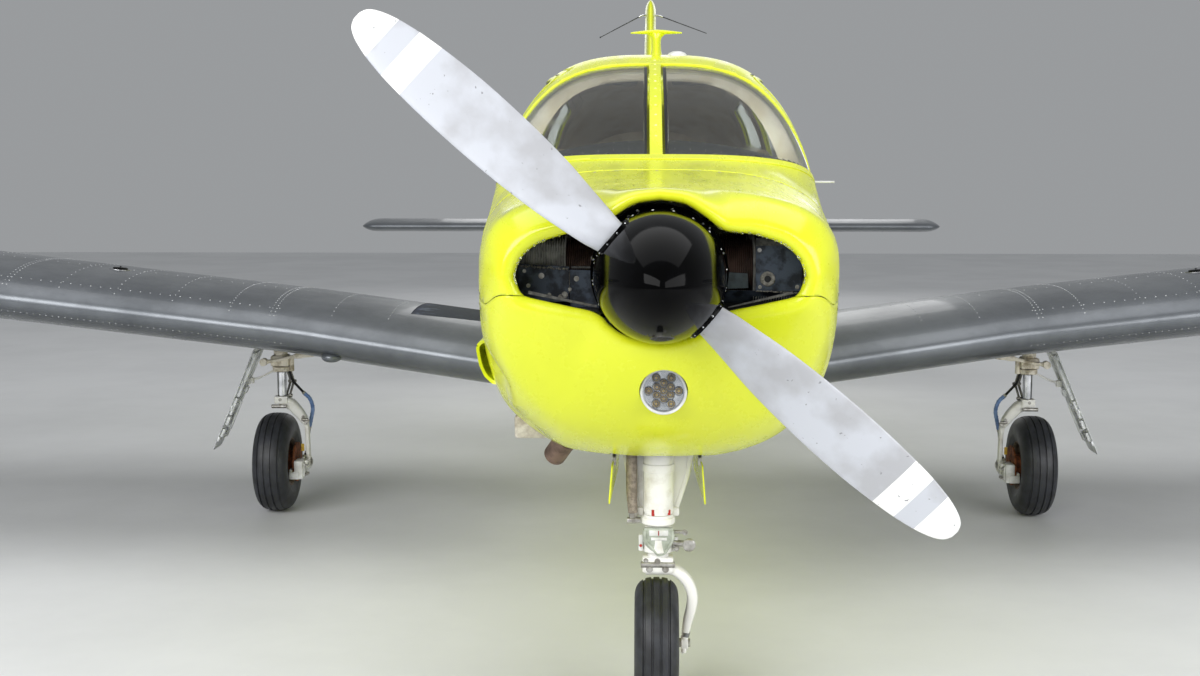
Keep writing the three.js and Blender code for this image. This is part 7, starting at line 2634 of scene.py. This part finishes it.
def makeWingFittings():
    putPiece("walkway", wingPatch((600, 930), (2330, 3440), 1, -1, 0.9), "walkway", sharp=30)
    caps, rings, plates, ties = [], [], [], []
    for way in (-1, 1):
        place, n = onWing(2137, 2600, 1, way)
        caps.append(spun([(0, 9), (24, 8.4), (29, 6), (30, -2)], place, n, 36))
        caps.append(spun([(0, 9), (5, 12), (5, 13), (0, 13.5)], place, n, 16))
        rings.append(spun([(31, -1), (31, 2.2), (42, 1.6), (43, -1)], place, n, 40))
        place, n = onWing(3080, 2640, -1, way)
        ties.append(spun([(0, 0), (12, 0), (12, 3), (0, 3)], place, n, 20))
        hoop = [place + n * 0.003 + Vector((0, cos(a), 0)) * 0.013 + n * (0.016 + 0.013 * sin(a))
                for a in (2 * pi * k / 12 for k in range(13))]
        ties.append(tube(hoop, 2.6, 8, 2))
        for x, station, rx, ry in ((1800, 2900, 70, 105), (2700, 2900, 55, 80), (3500, 2900, 55, 80)):
            rows = []
            for out, t in ((-1, 1), (1.0, 1), (1.2, 0.97)):
                rows.append([onWing(x + rx * t * cos(a), station + ry * t * sin(a), -1, way, out)[0]
                             for a in (2 * pi * k / 32 for k in range(32))])
            plates.append(loft(rows))
    putPiece("fuel_caps", joined(caps), "spinner", sharp=30)
    putPiece("fuel_cap_rings", joined(rings), "alloy")
    putPiece("tie_down_rings", joined(ties), "steel")
    putPiece("wing_hatches", joined(plates), "silver", sharp=30)


def makeWingBlister():
    # a blister ahead of the starboard root
    place = onWing(1212, 2206, -1, -1)[0]
    blister = bmesh.new()
    bmesh.ops.create_uvsphere(blister, u_segments=28, v_segments=18, radius=1,
                              matrix=Matrix.Translation(place) @ Matrix.Diagonal((0.04, 0.052, 0.022, 1)))
    putPiece("wing_blister", blister, "silver", sharp=60)


def makeTipLights():
    # red to port and green to starboard
    for side, way, finish in (("left", 1, "redLens"), ("right", -1, "greenLens")):
        place = onWing(4850, 2420, 1, way)[0]
        glass = bmesh.new()
        bmesh.ops.create_uvsphere(glass, u_segments=24, v_segments=14, radius=1,
                                  matrix=Matrix.Translation(place + Vector((way * 0.012, 0,
                                          -0.022))) @ Matrix.Diagonal((0.03, 0.06, 0.022, 1)))
        putPiece(side + "_tip_light", glass, finish, sharp=60)
        root = onWing(4838, 2420, 1, way)[0]
        base = bmesh.new()
        bmesh.ops.create_uvsphere(base, u_segments=24, v_segments=14, radius=1,
                                  matrix=Matrix.Translation(root + Vector((0, 0.004,
                                          -0.024))) @ Matrix.Diagonal((0.028, 0.074, 0.026, 1)))
        putPiece(side + "_tip_light_base", base, "silver", sharp=60)


def makePitot():
    # pitot mast under the port wing
    place = onWing(3380, 2560, -1, 1)[0]
    mast = loft([[place + Vector((0.006 * t * sin(a), 0.034 * t * cos(a) + lean, -drop))
                  for a in (2 * pi * k / 20 for k in range(20))]
                 for t, lean, drop in ((1.1, 0, -0.004), (1, -0.004, 0.04),
                                       (0.95, -0.012, 0.1), (0.6, -0.014, 0.112))])
    head = rod(place + Vector((0, -0.075, -0.098)), place + Vector((0, 0.02, -0.098)), 7, 18, 8, 1.5)
    putPiece("pitot_mast", joined([mast, head]), "whitePaint")


def makeAntennas():
    # blade and cross bar on the roof
    rows = []
    for z, a, b, half in ((1890, 2545, 2655, 30), (1897, 2552, 2648, 24.5), (1906, 2558, 2643, 20.5),
                          (1922, 2565, 2638, 18), (1945, 2572, 2634, 17),
                          (1960, 2576, 2631, 17.6), (1970, 2579, 2630, 21), (1978, 2580, 2630, 28),
                          (1984, 2581, 2630, 38), (1989, 2582, 2630, 52)):
        rows.append([at(8 + sin(t) * half * (1 - 0.3 * cos(t)), mixed(a, b, 0.5 - 0.5 * cos(t)), z)
                     for t in (2 * pi * k / 32 for k in range(32))])
    putPiece("roof_blade", loft(rows), "yellow", replaces=["roof_antenna"])
    rows = []
    for k in range(25):
        u = k / 12 - 1
        high, deep = mixed(10, 2.6, abs(u) ** 1.3), mixed(25, 13, abs(u) ** 2)
        middle = mixed(1990.5, 1987, abs(u) ** 1.5)
        rows.append([at(8 + 100 * u, 2605 + deep * cos(t), middle + high * sin(t))
                     for t in (2 * pi * i / 24 for i in range(24))])
    putPiece("roof_bar", loft(rows), "yellow", sharp=60)
    dome = spun([(0, 18), (16, 16.5), (30, 11), (38, 3), (40, -6)],
                at(86, 2440, sectionAt(2440)["top"] - 3), (0, 0, 1), 36)
    putPiece("roof_dome", dome, "whitePaint")


# Whisker aerials on the fin, with their bent roots
def makeWhiskers():
    whiskers = [rod(at(-70, 6604, 2362), at(-321, 6640, 2235), 3.6, 10, 2.6, 0.5),
                rod(at(76, 6604, 2360), at(358, 6640, 2259), 3.6, 10, 2.6, 0.5),
                rod(at(-324, 6640, 2234), at(-316, 6640, 2237), 5, 10, 5, 1)]
    putPiece("fin_whiskers", joined(whiskers), "darkRod")
    roots = [tube([at(-14, 6600, 2371), at(-44, 6600, 2372), at(-60, 6602, 2368), at(-72, 6604, 2361)], 6, 14, 5),
             tube([at(14, 6600, 2369), at(46, 6600, 2369), at(62, 6602, 2366), at(78, 6604, 2359)], 6, 14, 5),
             rod(at(-12, 6596, 2338), at(-48, 6600, 2371), 4, 12)]
    putPiece("whisker_roots", joined(roots), "chrome")


# Air temperature probe, tail light and drain pipes
def makeProbe():
    probe = [rod(at(skinHalfWidth(1800, 1426, 3), 1800, 1426), at(617, 1800, 1426), 3.6, 16, 3.6, 0.8),
             spun([(0, 0), (11, 0), (11, 4), (7, 6), (0, 6)],
                  at(skinHalfWidth(1800, 1426, 1), 1800, 1426), (1, 0, 0.2), 24)]
    putPiece("air_probe", joined(probe), "whitePaint")
    end = at(0, 6760, 1076)
    tail = spun([(0, -4), (15, -4), (16, 2), (13, 12), (7, 18), (0, 20)], end, (0, 1, 0), 28)
    putPiece("tail_light", tail, "lens")
    ring = spun([(15, -6), (20, -6), (20, 1), (17, 3), (15, 1), (15, -6)], end, (0, 1, 0), 28)
    putPiece("tail_light_ring", ring, "chrome")
    vents = []
    for way in (-1, 1):
        vents.append(tube([at(way * 180, 1500, 640), at(way * 182, 1510, 600), at(way * 182, 1530, 578)], 6, 12, 5,
                          bore=0.7))
    putPiece("drain_pipes", joined(vents), "alloy")


def makeCowlFittings():
    # quarter-turn fasteners along the shells' joint and round the rear edge
    spots = []
    for way in (-1, 1):
        for k in range(7):
            station = 330 + k * 108
            for z in (1155 - 18, 1155 + 18):
                x = skinHalfWidth(station, z)
                spots.append((at(way * (x - 0.6), station, z), Vector((way, 0, 0))))
    for k in range(30):
        angle = 2 * pi * (k + 0.5) / 30
        if sin(angle) > -0.75:
            spots.append(onSkin(1034, angle, -0.6))
    putPiece("cowl_fasteners", domes(spots, 6.2, 1.8, 18), "steel", sharp=30)


def makeWaterBeads():
    # rain on the mouth's lip
    beads = bmesh.new()
    points = curvePoints([Vector(p) for p in cowl["mouth"][:12]], 14)
    for p in points:
        for way in (-1, 1):
            if seed.random() < 0.5 and p.y > 1215:
                r = seed.uniform(1.4, 3.0) / 1000
                shift = seed.uniform(0, 3)
                bmesh.ops.create_icosphere(beads, subdivisions=2, radius=r,
                                           matrix=Matrix.Translation(at(way * p.x, 104 + seed.uniform(-4, 10),
                                                   p.y + shift)) @ Matrix.Diagonal((1, 1, 1.3, 1)))
    putPiece("water_beads", beads, "lens", sharp=60)


def makeRootScrews():
    # the fairing screws at the wing roots
    spots = []
    for way in (-1, 1):
        for k in range(26):
            station = 2010 + k * 52
            z = wingPoint(640, fractionAt(640, min(max(station, 2010), 3400)), 1).z + 22
            x = skinHalfWidth(station, z)
            spots.append((at(way * x, station, z), Vector((way, 0, 0.1))))
    putPiece("root_screws", domes(spots, 2.6, 0.9, 8), "yellow")


# dark plated rods, and rivet heads in pale grey on the wings and pale yellow on the post: painted highlights,
# standing for the light that their domes catch
finishes["darkRod"] = makePatchy("dark_plated_rod", "#55565a", "#3a3b3e", 30, 3, 0.35, bump=0.05, Metallic=0.7)
finishes["brightHead"] = makePatchy("rivet_head_painted_highlight", "#d9dbdd", "#a3a5a8", 40, 3, 0.18,
                                    bump=0.03, Metallic=0.6)
finishes["paleHead"] = makePatchy("post_rivet_painted_highlight", "#f4f6b0", "#e6e98a", 30, 3, 0.2, bump=0.02)
makeWingRivets()
makeBodyRivets()
makePostRivets()
makeStripRivets()
makeWindscreenStrip()
makeTailRivets()
makeWingFittings()
makeWingBlister()
makeTipLights()
makePitot()
makeAntennas()
makeWhiskers()
makeProbe()
makeCowlFittings()
makeWaterBeads()
makeRootScrews()
print("details made")
